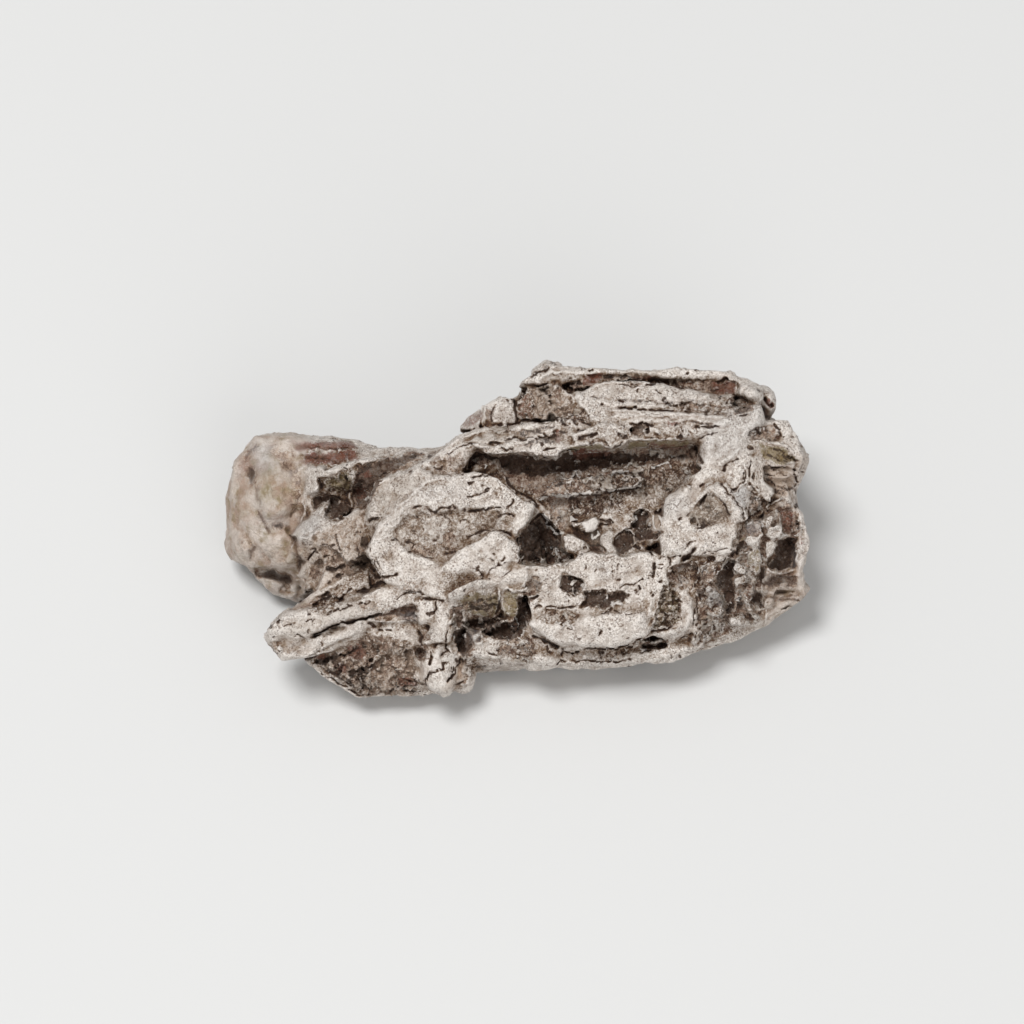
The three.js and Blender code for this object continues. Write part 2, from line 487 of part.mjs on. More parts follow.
// Deep openings of the show face.
function openings() {
  return [
    plate({ // long groove under the top leaves
      outline: [[-2.9, 4.2], [-1.9, 4.6], [1, 4.5], [3, 4.55], [5, 5.1], [6, 4.9], [7, 5.25], [10.6, 5.3], [11.3, 4.2],
        [9.4, 3.9], [6, 3.7], [3.2, 3], [1.4, 2], [0.6, 2], [-0.6, 3.2], [-1.8, 3.9]],
      top: 6, thick: 5.3, round: 0.35, tilt: [-10, 0], seed: 80,
    }),
    plate({ // stepped floor below the groove
      outline: [[1.3, 2.1], [4, 3.4], [7.2, 3.9], [10.8, 4], [10.4, 3], [8.6, 2.2], [6.4, 1.4], [5.2, 0.6], [3, -0.2],
        [2.1, 0.2], [1.6, 1.2]],
      top: 6, thick: 4.5, round: 0.25, tilt: [-4, 4], seed: 81,
    }),
    plate({ // pit beside the round tongue
      outline: [[0.2, -0.3], [1.5, 0.9], [2.1, 0.2], [2.9, -0.5], [3.6, -1.2], [3.4, -1.8], [1.8, -2], [0.2, -2.1],
        [0.25, -1.2]],
      top: 6, thick: 6.4, round: 0.3, seed: 82,
    }),
    lump({ at: [7.5, 0.4, 2], radii: [0.75, 0.95, 2.1], turn: 10, detail: 2, seed: 83 }),
    lump({ at: [8.3, -0.2, 2.2], radii: [0.8, 0.4, 1.5], turn: 12, detail: 2, seed: 84 }),
    lump({ at: [6.5, -0.7, 2], radii: [0.72, 0.6, 1.9], turn: 10, detail: 2, seed: 85 }),
    lump({ at: [6.4, -1.3, 2], radii: [0.5, 0.35, 1.6], detail: 2, seed: 86 }),
    plate({ // pocket left of the fold
      outline: [[-3.8, -4.9], [-3.4, -4.2], [-1.6, -4], [-1.1, -4.6], [-0.9, -5.4], [0, -6.2], [-0.2, -6.7], [-2.2, -6.7],
        [-2.8, -7.6], [-3.3, -7.4], [-3.4, -6.4]],
      top: 6, thick: 5.6, round: 0.5, tilt: [14, 0], seed: 87,
    }),
    plate({ // pocket right of it
      outline: [[-0.8, -3.8], [0.6, -3.9], [1.4, -3.9], [1, -4.6], [0.6, -5.6], [0.2, -6.3], [-0.1, -5.4]],
      top: 6, thick: 5, round: 0.35, tilt: [8, -6], seed: 88,
    }),
    plate({ // holes in the shelf
      outline: [[2.7, -2.8], [3.3, -2.9], [4.1, -3.1], [4.1, -3.6], [3.5, -3.95], [2.6, -3.5]],
      top: 6, thick: 3.7, round: 0.2, seed: 89,
    }),
    plate({
      outline: [[4, -3.85], [5.8, -3.75], [7, -4], [6.5, -4.6], [5.6, -4.4], [5.3, -4.9], [3.9, -4.8]],
      top: 6, thick: 4.2, round: 0.2, tilt: [4, 0], seed: 90,
    }),
    plate({ // inside of the small frame
      outline: [[8.9, -3.9], [9.8, -4.1], [10.05, -5], [9.7, -5.9], [8.2, -6.1]],
      top: 6, thick: 4.3, round: 0.25, tilt: [4, 6], seed: 91,
    }),
    plate({ // slot under it
      outline: [[7.6, -6.8], [8.4, -6.55], [9.3, -6.8], [9.1, -7.1], [7.5, -7.2]],
      top: 6, thick: 5.6, round: 0.15, seed: 92,
    }),
    plate({ // inside of the diamond
      outline: [[11.7, 2.2], [12.4, 1.6], [13, 0.8], [12.2, 0.5], [11.4, 0.1], [10.7, 0.6], [10.9, 1.2]],
      top: 6, thick: 3.1, round: 0.2, tilt: [0, 8], seed: 93,
    }),
    plate({ // hollow of the rimmed plate
      outline: [[-7.6, -0.2], [-6.4, 1], [-5, 1.1], [-3.8, 1.3], [-1, 1.2], [-0.4, 0.4], [-2, -0.1], [-3.3, -1],
        [-5, -1.9], [-6.6, -1.3]],
      top: 6, thick: 2.85, round: 0.25, tilt: [-3, 2], seed: 94,
    }),
    plate({ // wedge under the finger
      outline: [[-9.2, -5.55], [-8, -5.1], [-6.1, -4.75], [-6, -5.4], [-6.3, -5.75], [-8, -5.8]],
      top: 6, thick: 6, round: 0.15, tilt: [10, 0], seed: 95,
    }),
    plate({ // split along the finger
      outline: [[-13, -6.6], [-11, -5.95], [-9.2, -5.6], [-9.2, -5.4], [-11, -5.7], [-12, -6.2]],
      top: 6, thick: 4.2, round: 0.06, steps: 1, tilt: [8, 0], seed: 96,
    }),
    plate({ // gap under its lower edge
      outline: [[-12.7, -8.1], [-10.2, -7.2], [-8.6, -6.7], [-8.8, -7.2], [-10.6, -7.8], [-12, -8.4]],
      top: 6, thick: 5.3, round: 0.12, tilt: [8, 0], seed: 97,
    }),
    lump({ at: [-5.85, -7.4, 2.3], radii: [0.4, 0.45, 1.2], detail: 2, seed: 98 }),
    plate({ // hollow of the crumbling corner
      outline: [[15.9, 1.4], [16.8, 1.2], [17, -0.6], [16.9, -2.3], [15.4, -2.4], [15.5, -1], [15.9, 0.4]],
      top: 6, thick: 8.4, round: 0.4, tilt: [0, 10], seed: 99,
    }),
    plate({ // dark gap inside it
      outline: [[13, -1.6], [13.2, -2.8], [13, -4.6], [12, -4.2], [11.9, -3.1], [12.5, -2.4]],
      top: 6, thick: 6.6, round: 0.3, tilt: [6, 6], seed: 100,
    }),
    plate({
      outline: [[11.4, -5.2], [13, -5.2], [13.1, -5.9], [11.8, -6.3], [11, -5.8]],
      top: 6, thick: 6.2, round: 0.3, tilt: [8, 0], seed: 101,
    }),
    plate({
      outline: [[14.6, -4], [15.6, -4.2], [15, -5], [14.4, -4.9]],
      top: 6, thick: 7.2, round: 0.2, seed: 102,
    }),
    plate({
      outline: [[15, -3.2], [17.1, -3.15], [17, -3.5], [15, -3.6]],
      top: 6, thick: 7.4, round: 0.12, seed: 103,
    }),
    plate({ // gap beside the square block
      outline: [[14.2, 5.4], [14.6, 6.4], [15.5, 6.3], [16.2, 5.5], [15, 5.4]],
      top: 6, thick: 5.6, round: 0.25, tilt: [-10, 10], seed: 104,
    }),
    plate({ // rusted hollows behind the crest
      outline: [[3, 8.6], [4.2, 9.1], [5.3, 9.25], [5.1, 8.95], [3.4, 8.35]],
      top: 6, thick: 6.6, round: 0.12, tilt: [-14, 0], seed: 105,
    }),
    plate({
      outline: [[6, 9.3], [8, 9.35], [8.3, 9.1], [7.2, 9.05], [6, 9.15]],
      top: 6, thick: 6.6, round: 0.08, tilt: [-14, 0], seed: 106,
    }),
    plate({
      outline: [[9.2, 8.95], [11.4, 9.05], [13.3, 8.9], [13.3, 8.2], [12, 8.35], [10.6, 8.7]],
      top: 6, thick: 6.8, round: 0.2, tilt: [-14, 4], seed: 107,
    }),
    plate({ // notch behind the round knob
      outline: [[13.2, 7.8], [13.9, 7.7], [14.6, 7.5], [14, 7.05], [13, 7]],
      top: 6, thick: 6, round: 0.15, tilt: [-10, 0], seed: 108,
    }),
    plate({ // notch in the lip
      outline: [[6.9, 6.2], [7.9, 6.2], [7.8, 5.75], [7, 5.75]],
      top: 6, thick: 4.6, round: 0.1, seed: 109,
    }),
    lump({ at: [-10.9, 1.3, 0], radii: [0.95, 0.72, 2.1], turn: 8, detail: 2, seed: 110 }),
    lump({ at: [-9.5, 2.1, 0.6], radii: [0.45, 0.95, 1.5], turn: 6, detail: 2, seed: 111 }),
    plate({ // undercut below the lobe
      outline: [[-16.3, -2.7], [-15.2, -2.4], [-13.7, -2.7], [-13.7, -3.4], [-15, -3.2], [-16, -3.1]],
      top: 0, thick: 5.6, round: 0.25, tilt: [10, 0], seed: 112,
    }),
  ];
}

// Hollows on the back, ends and underside.
function backOpenings() {
  return [
    lump({ at: [4.5, 10.8, -9.2], radii: [3, 1.1, 1.2], turn: 4, detail: 2, rough: 0.2, seed: 120 }),
    lump({ at: [9.6, 11.4, -4.4], radii: [1.5, 1.4, 0.8], detail: 2, rough: 0.2, seed: 121 }),
    lump({ at: [-2.2, 9.4, -7.4], radii: [1.3, 1.6, 1.5], detail: 2, rough: 0.2, seed: 122 }),
    lump({ at: [18, 3, -6.2], radii: [1.2, 1.7, 1.5], detail: 2, rough: 0.2, seed: 123 }),
    lump({ at: [-10.4, 6.1, -4.4], radii: [1.8, 1.4, 1.5], detail: 2, rough: 0.2, seed: 125 }),
    lump({ at: [8, -8.4, -2.6], radii: [2.4, 1, 0.8], detail: 2, rough: 0.2, seed: 127 }),
  ];
}

// Small forms that stand inside the openings.
function insets() {
  return joined([
    plate({ // step on the groove's floor
      outline: [[1.4, 2.1], [4.7, 2.3], [7.8, 2.7], [8, 3.1], [4.8, 3.2], [1.6, 2.9]],
      top: 2, thick: 2, round: 0.15, tilt: [-10, 0], seed: 130,
    }),
    plate({
      outline: [[4.7, 2.2], [7.7, 2.6], [7.8, 2.9], [5.3, 2.7], [5.1, 3.2], [4.8, 3.1]],
      top: 2.35, thick: 1.4, round: 0.12, seed: 131,
    }),
    plate({ // leaf at the pit's edge
      outline: [[2.9, -0.4], [3.8, -0.6], [4.7, -1.2], [4.4, -1.6], [3.4, -1.6], [2.7, -1]],
      top: 2.5, thick: 3, round: 0.22, tilt: [0, 6], seed: 132,
    }),
    plate({ // crumbs
      outline: [[3.2, 0.3], [4.2, 0.5], [5, 0.7], [5, 0.2], [4.2, -0.3], [3.8, 0]],
      top: 2.2, thick: 2, round: 0.16, seed: 133,
    }),
    lump({ at: [5.5, -0.8, 1.7], radii: [0.4, 0.6, 1], detail: 2, seed: 134 }),
  ]);
}

// Undulates the surface gently, so that no plate stays dead straight, and collapses its slivers.
async function settled(solid) {
  const { vertProperties, triVerts } = solid.getMesh();
  const vertices = vertProperties.slice();
  for (let i = 0; i < vertices.length; i += 3) {
    const [x, y, z] = vertProperties.slice(i, i + 3).map((v) => (v * 4) / WARP_LENGTH);
    for (let axis = 0; axis < 3; axis++) vertices[i + axis] += WARP * uneven(x, y, z, 11 + 4 * axis);
  }
  const geometry = new THREE.BufferGeometry();
  geometry.setAttribute("position", new THREE.BufferAttribute(vertices, 3));
  geometry.setIndex(new THREE.BufferAttribute(triVerts, 1));
  const dropped = Math.round((1 - KEPT_VERTICES) * (vertices.length / 3));
  return solidFrom(await new SimplifyModifier().modify(geometry, dropped));
}

// Everything above the floor, which grinds the underside flat where the nugget lies.
function aboveFloor() {
  const half = LENGTH;
  const box = new THREE.BoxGeometry(2 * half, 2 * half, 2 * half);
  box.translate(0, 0, half - STAND_HEIGHT);
  box.rotateX(THREE.MathUtils.degToRad(-FACE_LEAN));
  return solidFrom(box);
}

async function meteorite() {
  const grown = joined([
    bulk(), leftLobe(), leftPlates(), finger(), foot(), shelf(), rightPlateau(), rightBlock(), rightCorner(),
    topLeaves(), crestBlocks(), backPlates(),
  ]);
  const weathered = without(grown, [...openings(), ...backOpenings()]).add(insets());
  return (await settled(weathered)).intersect(aboveFloor());
}

const { vertProperties, triVerts } = (await meteorite()).getMesh();
const geometry = new THREE.BufferGeometry();
geometry.setAttribute("position", new THREE.BufferAttribute(vertProperties, 3));
geometry.setIndex(new THREE.BufferAttribute(triVerts, 1));

// Leans the show face back, brings the length to size and centres the box over the origin.
geometry.rotateX(THREE.MathUtils.degToRad(FACE_LEAN));
geometry.computeBoundingBox();
const { min, max } = geometry.boundingBox;
const size = LENGTH / (max.x - min.x);
geometry.translate(-(min.x + max.x) / 2, -(min.y + max.y) / 2, -min.z);
geometry.scale(size, size, size);
geometry.computeVertexNormals();

const kamacite = new THREE.MeshStandardMaterial({ color: "#b5aba0", metalness: 0.35, roughness: 0.62 });
const mesh = new THREE.Mesh(geometry, kamacite);
mesh.name = "meteorite";

const part = new THREE.Group();
part.add(mesh);

export default part;
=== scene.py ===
import math

import bpy
import numpy as np
from mathutils import Matrix, Vector, noise
from mathutils.bvhtree import BVHTree


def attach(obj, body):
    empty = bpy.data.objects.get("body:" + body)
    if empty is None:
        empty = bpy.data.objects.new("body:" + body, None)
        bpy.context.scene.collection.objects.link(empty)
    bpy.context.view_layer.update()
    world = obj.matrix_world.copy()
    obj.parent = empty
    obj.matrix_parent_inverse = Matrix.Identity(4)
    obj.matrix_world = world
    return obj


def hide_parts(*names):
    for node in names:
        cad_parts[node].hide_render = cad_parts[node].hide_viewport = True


noise.seed_set(7)  # push, shards and chips would start from the clock without it
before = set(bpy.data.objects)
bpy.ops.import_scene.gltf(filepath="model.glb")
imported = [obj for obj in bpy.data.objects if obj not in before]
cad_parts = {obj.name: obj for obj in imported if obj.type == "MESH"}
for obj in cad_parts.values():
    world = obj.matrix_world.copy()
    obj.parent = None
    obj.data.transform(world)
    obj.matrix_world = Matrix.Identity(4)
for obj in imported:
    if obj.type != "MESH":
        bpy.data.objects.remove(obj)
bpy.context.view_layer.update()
print("stage: the packed solid is loaded")

# The show face has its own frame, in millimetres: u along the length, v up the face, w out of it.
showFace = {
    "lean": 30.0,  # degrees back from level
    "shift": (-0.0567, -0.5159, 7.0),  # from the face's origin to the middle of the underside
    "size": 0.99261,
}
leanBack = np.array(Matrix.Rotation(math.radians(showFace["lean"]), 3, "X"))


def toFace(points):
    return (points * 1000 / showFace["size"] - np.array(showFace["shift"])) @ leanBack


def toTable(points):
    return (points @ leanBack.T + np.array(showFace["shift"])) * showFace["size"] / 1000


viewpoint = {"aim": (-0.305, 1.037, 0.0), "lens": 200.0, "sensor": 36.0, "wide": 62.44}  # wide: mm of table in view
viewpoint["away"] = viewpoint["wide"] * viewpoint["lens"] / viewpoint["sensor"]  # mm, to the show face


def placeCamera():
    aim = np.array(viewpoint["aim"])
    eye = aim + np.array((0.0, 0.0, viewpoint["away"]))
    bpy.ops.object.camera_add(location=toTable(eye[None])[0])
    camera = bpy.context.object
    camera.name = "tableCamera"
    camera.rotation_euler = (math.radians(showFace["lean"]), 0, 0)
    camera.data.lens = viewpoint["lens"]
    camera.data.sensor_width = viewpoint["sensor"]
    camera.data.clip_start = 0.01
    camera.data.clip_end = 20
    bpy.context.scene.camera = camera
    bpy.context.scene.view_settings.view_transform = "Standard"


def readPoints(mesh):
    flat = np.empty(len(mesh.vertices) * 3, np.float32)
    mesh.vertices.foreach_get("co", flat)
    return flat.reshape(-1, 3).astype(np.float64)


def writePoints(mesh, points):
    mesh.vertices.foreach_set("co", points.astype(np.float32).ravel())
    mesh.update()


def readNormals(mesh):
    flat = np.empty(len(mesh.vertices) * 3, np.float32)
    mesh.vertex_normals.foreach_get("vector", flat)
    return flat.reshape(-1, 3).astype(np.float64)


def readEdges(mesh):
    flat = np.empty(len(mesh.edges) * 2, np.int32)
    mesh.edges.foreach_get("vertices", flat)
    return flat.reshape(-1, 2)


def saveMark(mesh, name, values):
    held = mesh.attributes.get(name) or mesh.attributes.new(name, "FLOAT", "POINT")
    held.data.foreach_set("value", values.astype(np.float32))


def readMark(mesh, name):
    values = np.empty(len(mesh.vertices), np.float32)
    mesh.attributes[name].data.foreach_get("value", values)
    return values.astype(np.float64)


def relax(points, edges, times, grip=0.5):  # each point drifts towards the middle of its neighbours
    start, end = edges[:, 0], edges[:, 1]
    many = np.bincount(edges.ravel(), minlength=len(points))[:, None].clip(1)
    for _ in range(times):
        total = np.stack(
            [
                np.bincount(start, points[end, k], len(points)) + np.bincount(end, points[start, k], len(points))
                for k in range(points.shape[1])
            ],
            axis=1,
        )
        points = points + grip * (total / many - points)
    return points


def treeOf(mesh, points):
    mesh.calc_loop_triangles()
    corners = np.empty(len(mesh.loop_triangles) * 3, np.int32)
    mesh.loop_triangles.foreach_get("vertices", corners)
    return BVHTree.FromPolygons(points.tolist(), corners.reshape(-1, 3).tolist(), all_triangles=True)


def seenFromFront(mesh, points, normals):
    tree = treeOf(mesh, points)
    front = np.zeros(len(points), bool)
    outward = Vector((0, 0, 1))
    for i in np.flatnonzero(normals[:, 2] > 0.08):
        start = Vector(points[i] + normals[i] * 0.03)
        front[i] = tree.ray_cast(start, outward)[0] is None
    return front


def smoothStep(low, high, value):
    t = np.clip((value - low) / (high - low), 0, 1)
    return t * t * (3 - 2 * t)


# The next four give a pattern at each point; size is in mm, and seed moves the pattern.
def wobble(points, size, seed, fine=0):  # a smooth unevenness between about -1 and 1
    shift = Vector((seed * 7.31, seed * 3.17, seed * 5.71))
    scaled = points / size
    if fine:
        return np.array([noise.fractal(Vector(p) + shift, 0.9, 2.0, fine) for p in scaled])
    return np.array([noise.noise(Vector(p) + shift) for p in scaled])


def push(points, size, seed):  # the same unevenness as a push in all three directions
    shift = Vector((seed * 5.13, seed * 2.71, seed * 8.37))
    return np.array([noise.noise_vector(Vector(p) + shift) for p in points / size])


def shards(points, size, seed):  # every broken cell is pushed its own way
    shift = Vector((seed * 2.37, seed * 6.11, 0))
    return np.array([noise.noise_vector(noise.voronoi(Vector(p) + shift)[1][0] * 3.7) for p in points / size])


def chips(points, size, seed):  # broken grains: how far each point stands out on its grain, and the gaps between
    shift = Vector((seed * 3.33, seed * 9.17, seed * 1.91))
    stand = np.zeros(len(points))
    gap = np.zeros(len(points))
    for i, p in enumerate(points / size):
        at = Vector(p) + shift
        at += 0.35 * noise.noise_vector(at * 1.7)
        far, middles = noise.voronoi(at)
        facing = noise.noise_vector(middles[0] * 3.7)
        stand[i] = (at - middles[0]).dot(facing) * 1.6 + facing.x
        gap[i] = far[1] - far[0]
    return stand, 1 - smoothStep(0.02, 0.22, gap)


def inPairs(outline):  # u, v, u, v ... to one row for each corner
    return np.reshape(outline, (-1, 2)).astype(float)


def turned(d, degrees):  # how far along and across a direction on the face
    c, s = math.cos(math.radians(degrees)), math.sin(math.radians(degrees))
    return d[:, 0] * c + d[:, 1] * s, d[:, 1] * c - d[:, 0] * s


def taper(way):
    return smoothStep(0, 0.12, way) * (1 - smoothStep(0.88, 1, way))


markNames = ("crack", "rust", "tan", "olive", "brown", "clean", "blue", "pale", "dust", "grainy", "calm")
unruled = {  # how the drawn lines and outlines wander, as torn metal does: size and strength in mm, seed
    "sway": (0.9, 0.12, 1),
    "jitter": (0.3, 0.07, 2),
    "shards": (0.42, 0.13, 4),
    "crackWidth": (0.5, 0.8, 3),
}


class Clay:  # the points of the face that can be reached, as they are seen, and what has been done to them
    def __init__(self, points, reach):
        self.who = np.flatnonzero(reach)
        near = viewpoint["away"] / (viewpoint["away"] - points[self.who, 2])
        aim = np.array(viewpoint["aim"][:2])
        self.at = aim + (points[self.who, :2] - aim) * near[:, None]
        flat = np.column_stack([self.at, np.zeros(len(self.at))])
        size, strength, seed = unruled["crackWidth"]
        self.uneven = np.clip(0.5 + strength * wobble(flat, size, seed), 0, 1)
        for name, pattern in (("sway", push), ("jitter", push), ("shards", shards)):
            size, strength, seed = unruled[name]
            self.at = self.at + strength * pattern(flat, size, seed)[:, :2]
        self.height = points[self.who, 2]
        self.rise = np.zeros(len(self.who))
        self.marks = {}

    def near(self, corners, margin):
        low, high = np.min(corners, axis=0) - margin, np.max(corners, axis=0) + margin
        return np.flatnonzero(((self.at > low) & (self.at < high)).all(1))

    def alongLine(self, line, width):  # indices, distance from the line, share of the way along it
        line = inPairs(line)
        close = self.near(line, width)
        at = self.at[close]
        best = np.full(len(close), 1e9)
        way = np.zeros(len(close))
        lengths = np.linalg.norm(np.diff(line, axis=0), axis=1)
        walked = np.concatenate([[0], np.cumsum(lengths)])
        for k in range(len(line) - 1):
            step = line[k + 1] - line[k]
            t = np.clip(((at - line[k]) @ step) / max(step @ step, 1e-9), 0, 1)
            far = np.linalg.norm(at - line[k] - t[:, None] * step, axis=1)
            nearer = far < best
            best[nearer] = far[nearer]
            way[nearer] = (walked[k] + t[nearer] * lengths[k]) / walked[-1]
        inside = best < width
        return close[inside], best[inside], way[inside]

    def insideOutline(self, outline, soft):  # indices and a share that falls from 1 to 0 across the edge
        outline = inPairs(outline)
        close = self.near(outline, soft)
        at = self.at[close]
        crossings = np.zeros(len(close), bool)
        far = np.full(len(close), 1e9)
        for a, b in zip(outline, np.roll(outline, -1, axis=0)):
            straddles = (a[1] > at[:, 1]) != (b[1] > at[:, 1])
            rise = b[1] - a[1] if b[1] != a[1] else 1e-9
            crossings ^= straddles & (at[:, 0] < (b[0] - a[0]) * (at[:, 1] - a[1]) / rise + a[0])
            step = b - a
            t = np.clip(((at - a) @ step) / max(step @ step, 1e-9), 0, 1)
            far = np.minimum(far, np.linalg.norm(at - a - t[:, None] * step, axis=1))
        signed = np.where(crossings, far, -far)
        return close, smoothStep(-soft, soft, signed)

    def ridge(self, width, height, line):
        who, far, way = self.alongLine(line, width)
        self.rise[who] += height * (0.5 + 0.5 * np.cos(np.pi * far / width)) * taper(way)

    def crack(self, width, depth, line):
        who, far, way = self.alongLine(line, width * 1.8)
        share = np.clip(1 - far / (width * (0.5 + 1.3 * self.uneven[who])), 0, 1) * taper(way)
        self.rise[who] -= depth * share**1.2
        self.mark("crack", who, share)

    def flake(self, width, height, line):  # a ridge with a bare, pale crest
        who, far, way = self.alongLine(line, width)
        share = (0.5 + 0.5 * np.cos(np.pi * far / width)) * taper(way)
        self.rise[who] += height * share
        self.mark("pale", who, 0.9 * smoothStep(0.2, 0.6, share))

    def facet(self, height, soft, outline):  # planed off, to a plane through the rim of the outline
        who, share = self.insideOutline(outline, 0.7 * soft)
        now = self.height[who] + self.rise[who]
        here = np.column_stack([self.at[who], np.ones(len(who))])
        rim = (share > 0.02) & (share < 0.6)
        for _ in range(4):
            if rim.sum() < 12:
                return
            plane = np.linalg.lstsq(here[rim], now[rim], rcond=None)[0]
            off = now - here @ plane
            rim = rim & (off > -max(0.15, 0.8 * off[rim].std()))
        self.rise[who] += (here @ plane + height - now) * share

    def slab(self, height, soft, outline):  # raised or sunk as a whole
        who, share = self.insideOutline(outline, soft)
        self.rise[who] += height * share

    def bowl(self, depth, u, v, wide, tall, turn=0):
        middle = np.array((u, v))
        who = self.near([middle], max(wide, tall))
        along, across = turned(self.at[who] - middle, turn)
        self.rise[who] -= depth * (1 - smoothStep(0.35, 1.0, np.hypot(along / wide, across / tall)))

    def streaks(self, depth, turn, apart, outline):  # fine lines side by side
        who, share = self.insideOutline(outline, 0.2)
        along, across = turned(self.at[who] / apart, turn)
        lines = wobble(np.column_stack([along / 9, across, np.zeros(len(who))]), 1.0, 12)
        deep = smoothStep(0.0, 0.45, lines) * share
        self.rise[who] -= depth * deep
        self.mark("crack", who, 0.62 * deep)

    def crumb(self, u, v, wide, tall, turn, lift, name, strength):  # an angular lump, or a pock when lift is negative
        middle = np.array((u, v))
        who = self.near([middle], 1.4 * wide)
        along, across = turned(self.at[who] - middle, turn)
        a, b = along / wide, across / tall
        share = 1 - smoothStep(0.6, 1.0, np.maximum.reduce([abs(a), abs(b), 0.72 * abs(a + b)]))
        self.rise[who] += lift * share * (1 + 0.6 * b)
        self.mark(name, who, strength * smoothStep(0.2, 0.6, share))

    def paint(self, name, strength, soft, outline):
        who, share = self.insideOutline(outline, soft)
        self.mark(name, who, strength * share)

    def mark(self, name, who, share):
        held = self.marks.setdefault(name, np.zeros(len(self.who)))
        held[who] = np.maximum(held[who], share)

    def press(self, mesh, points):  # moves the mesh by what has been worked
        lift = smoothStep(0.1, 0.5, readNormals(mesh)[self.who, 2])
        points[self.who, 2] += self.rise * lift
        writePoints(mesh, points)


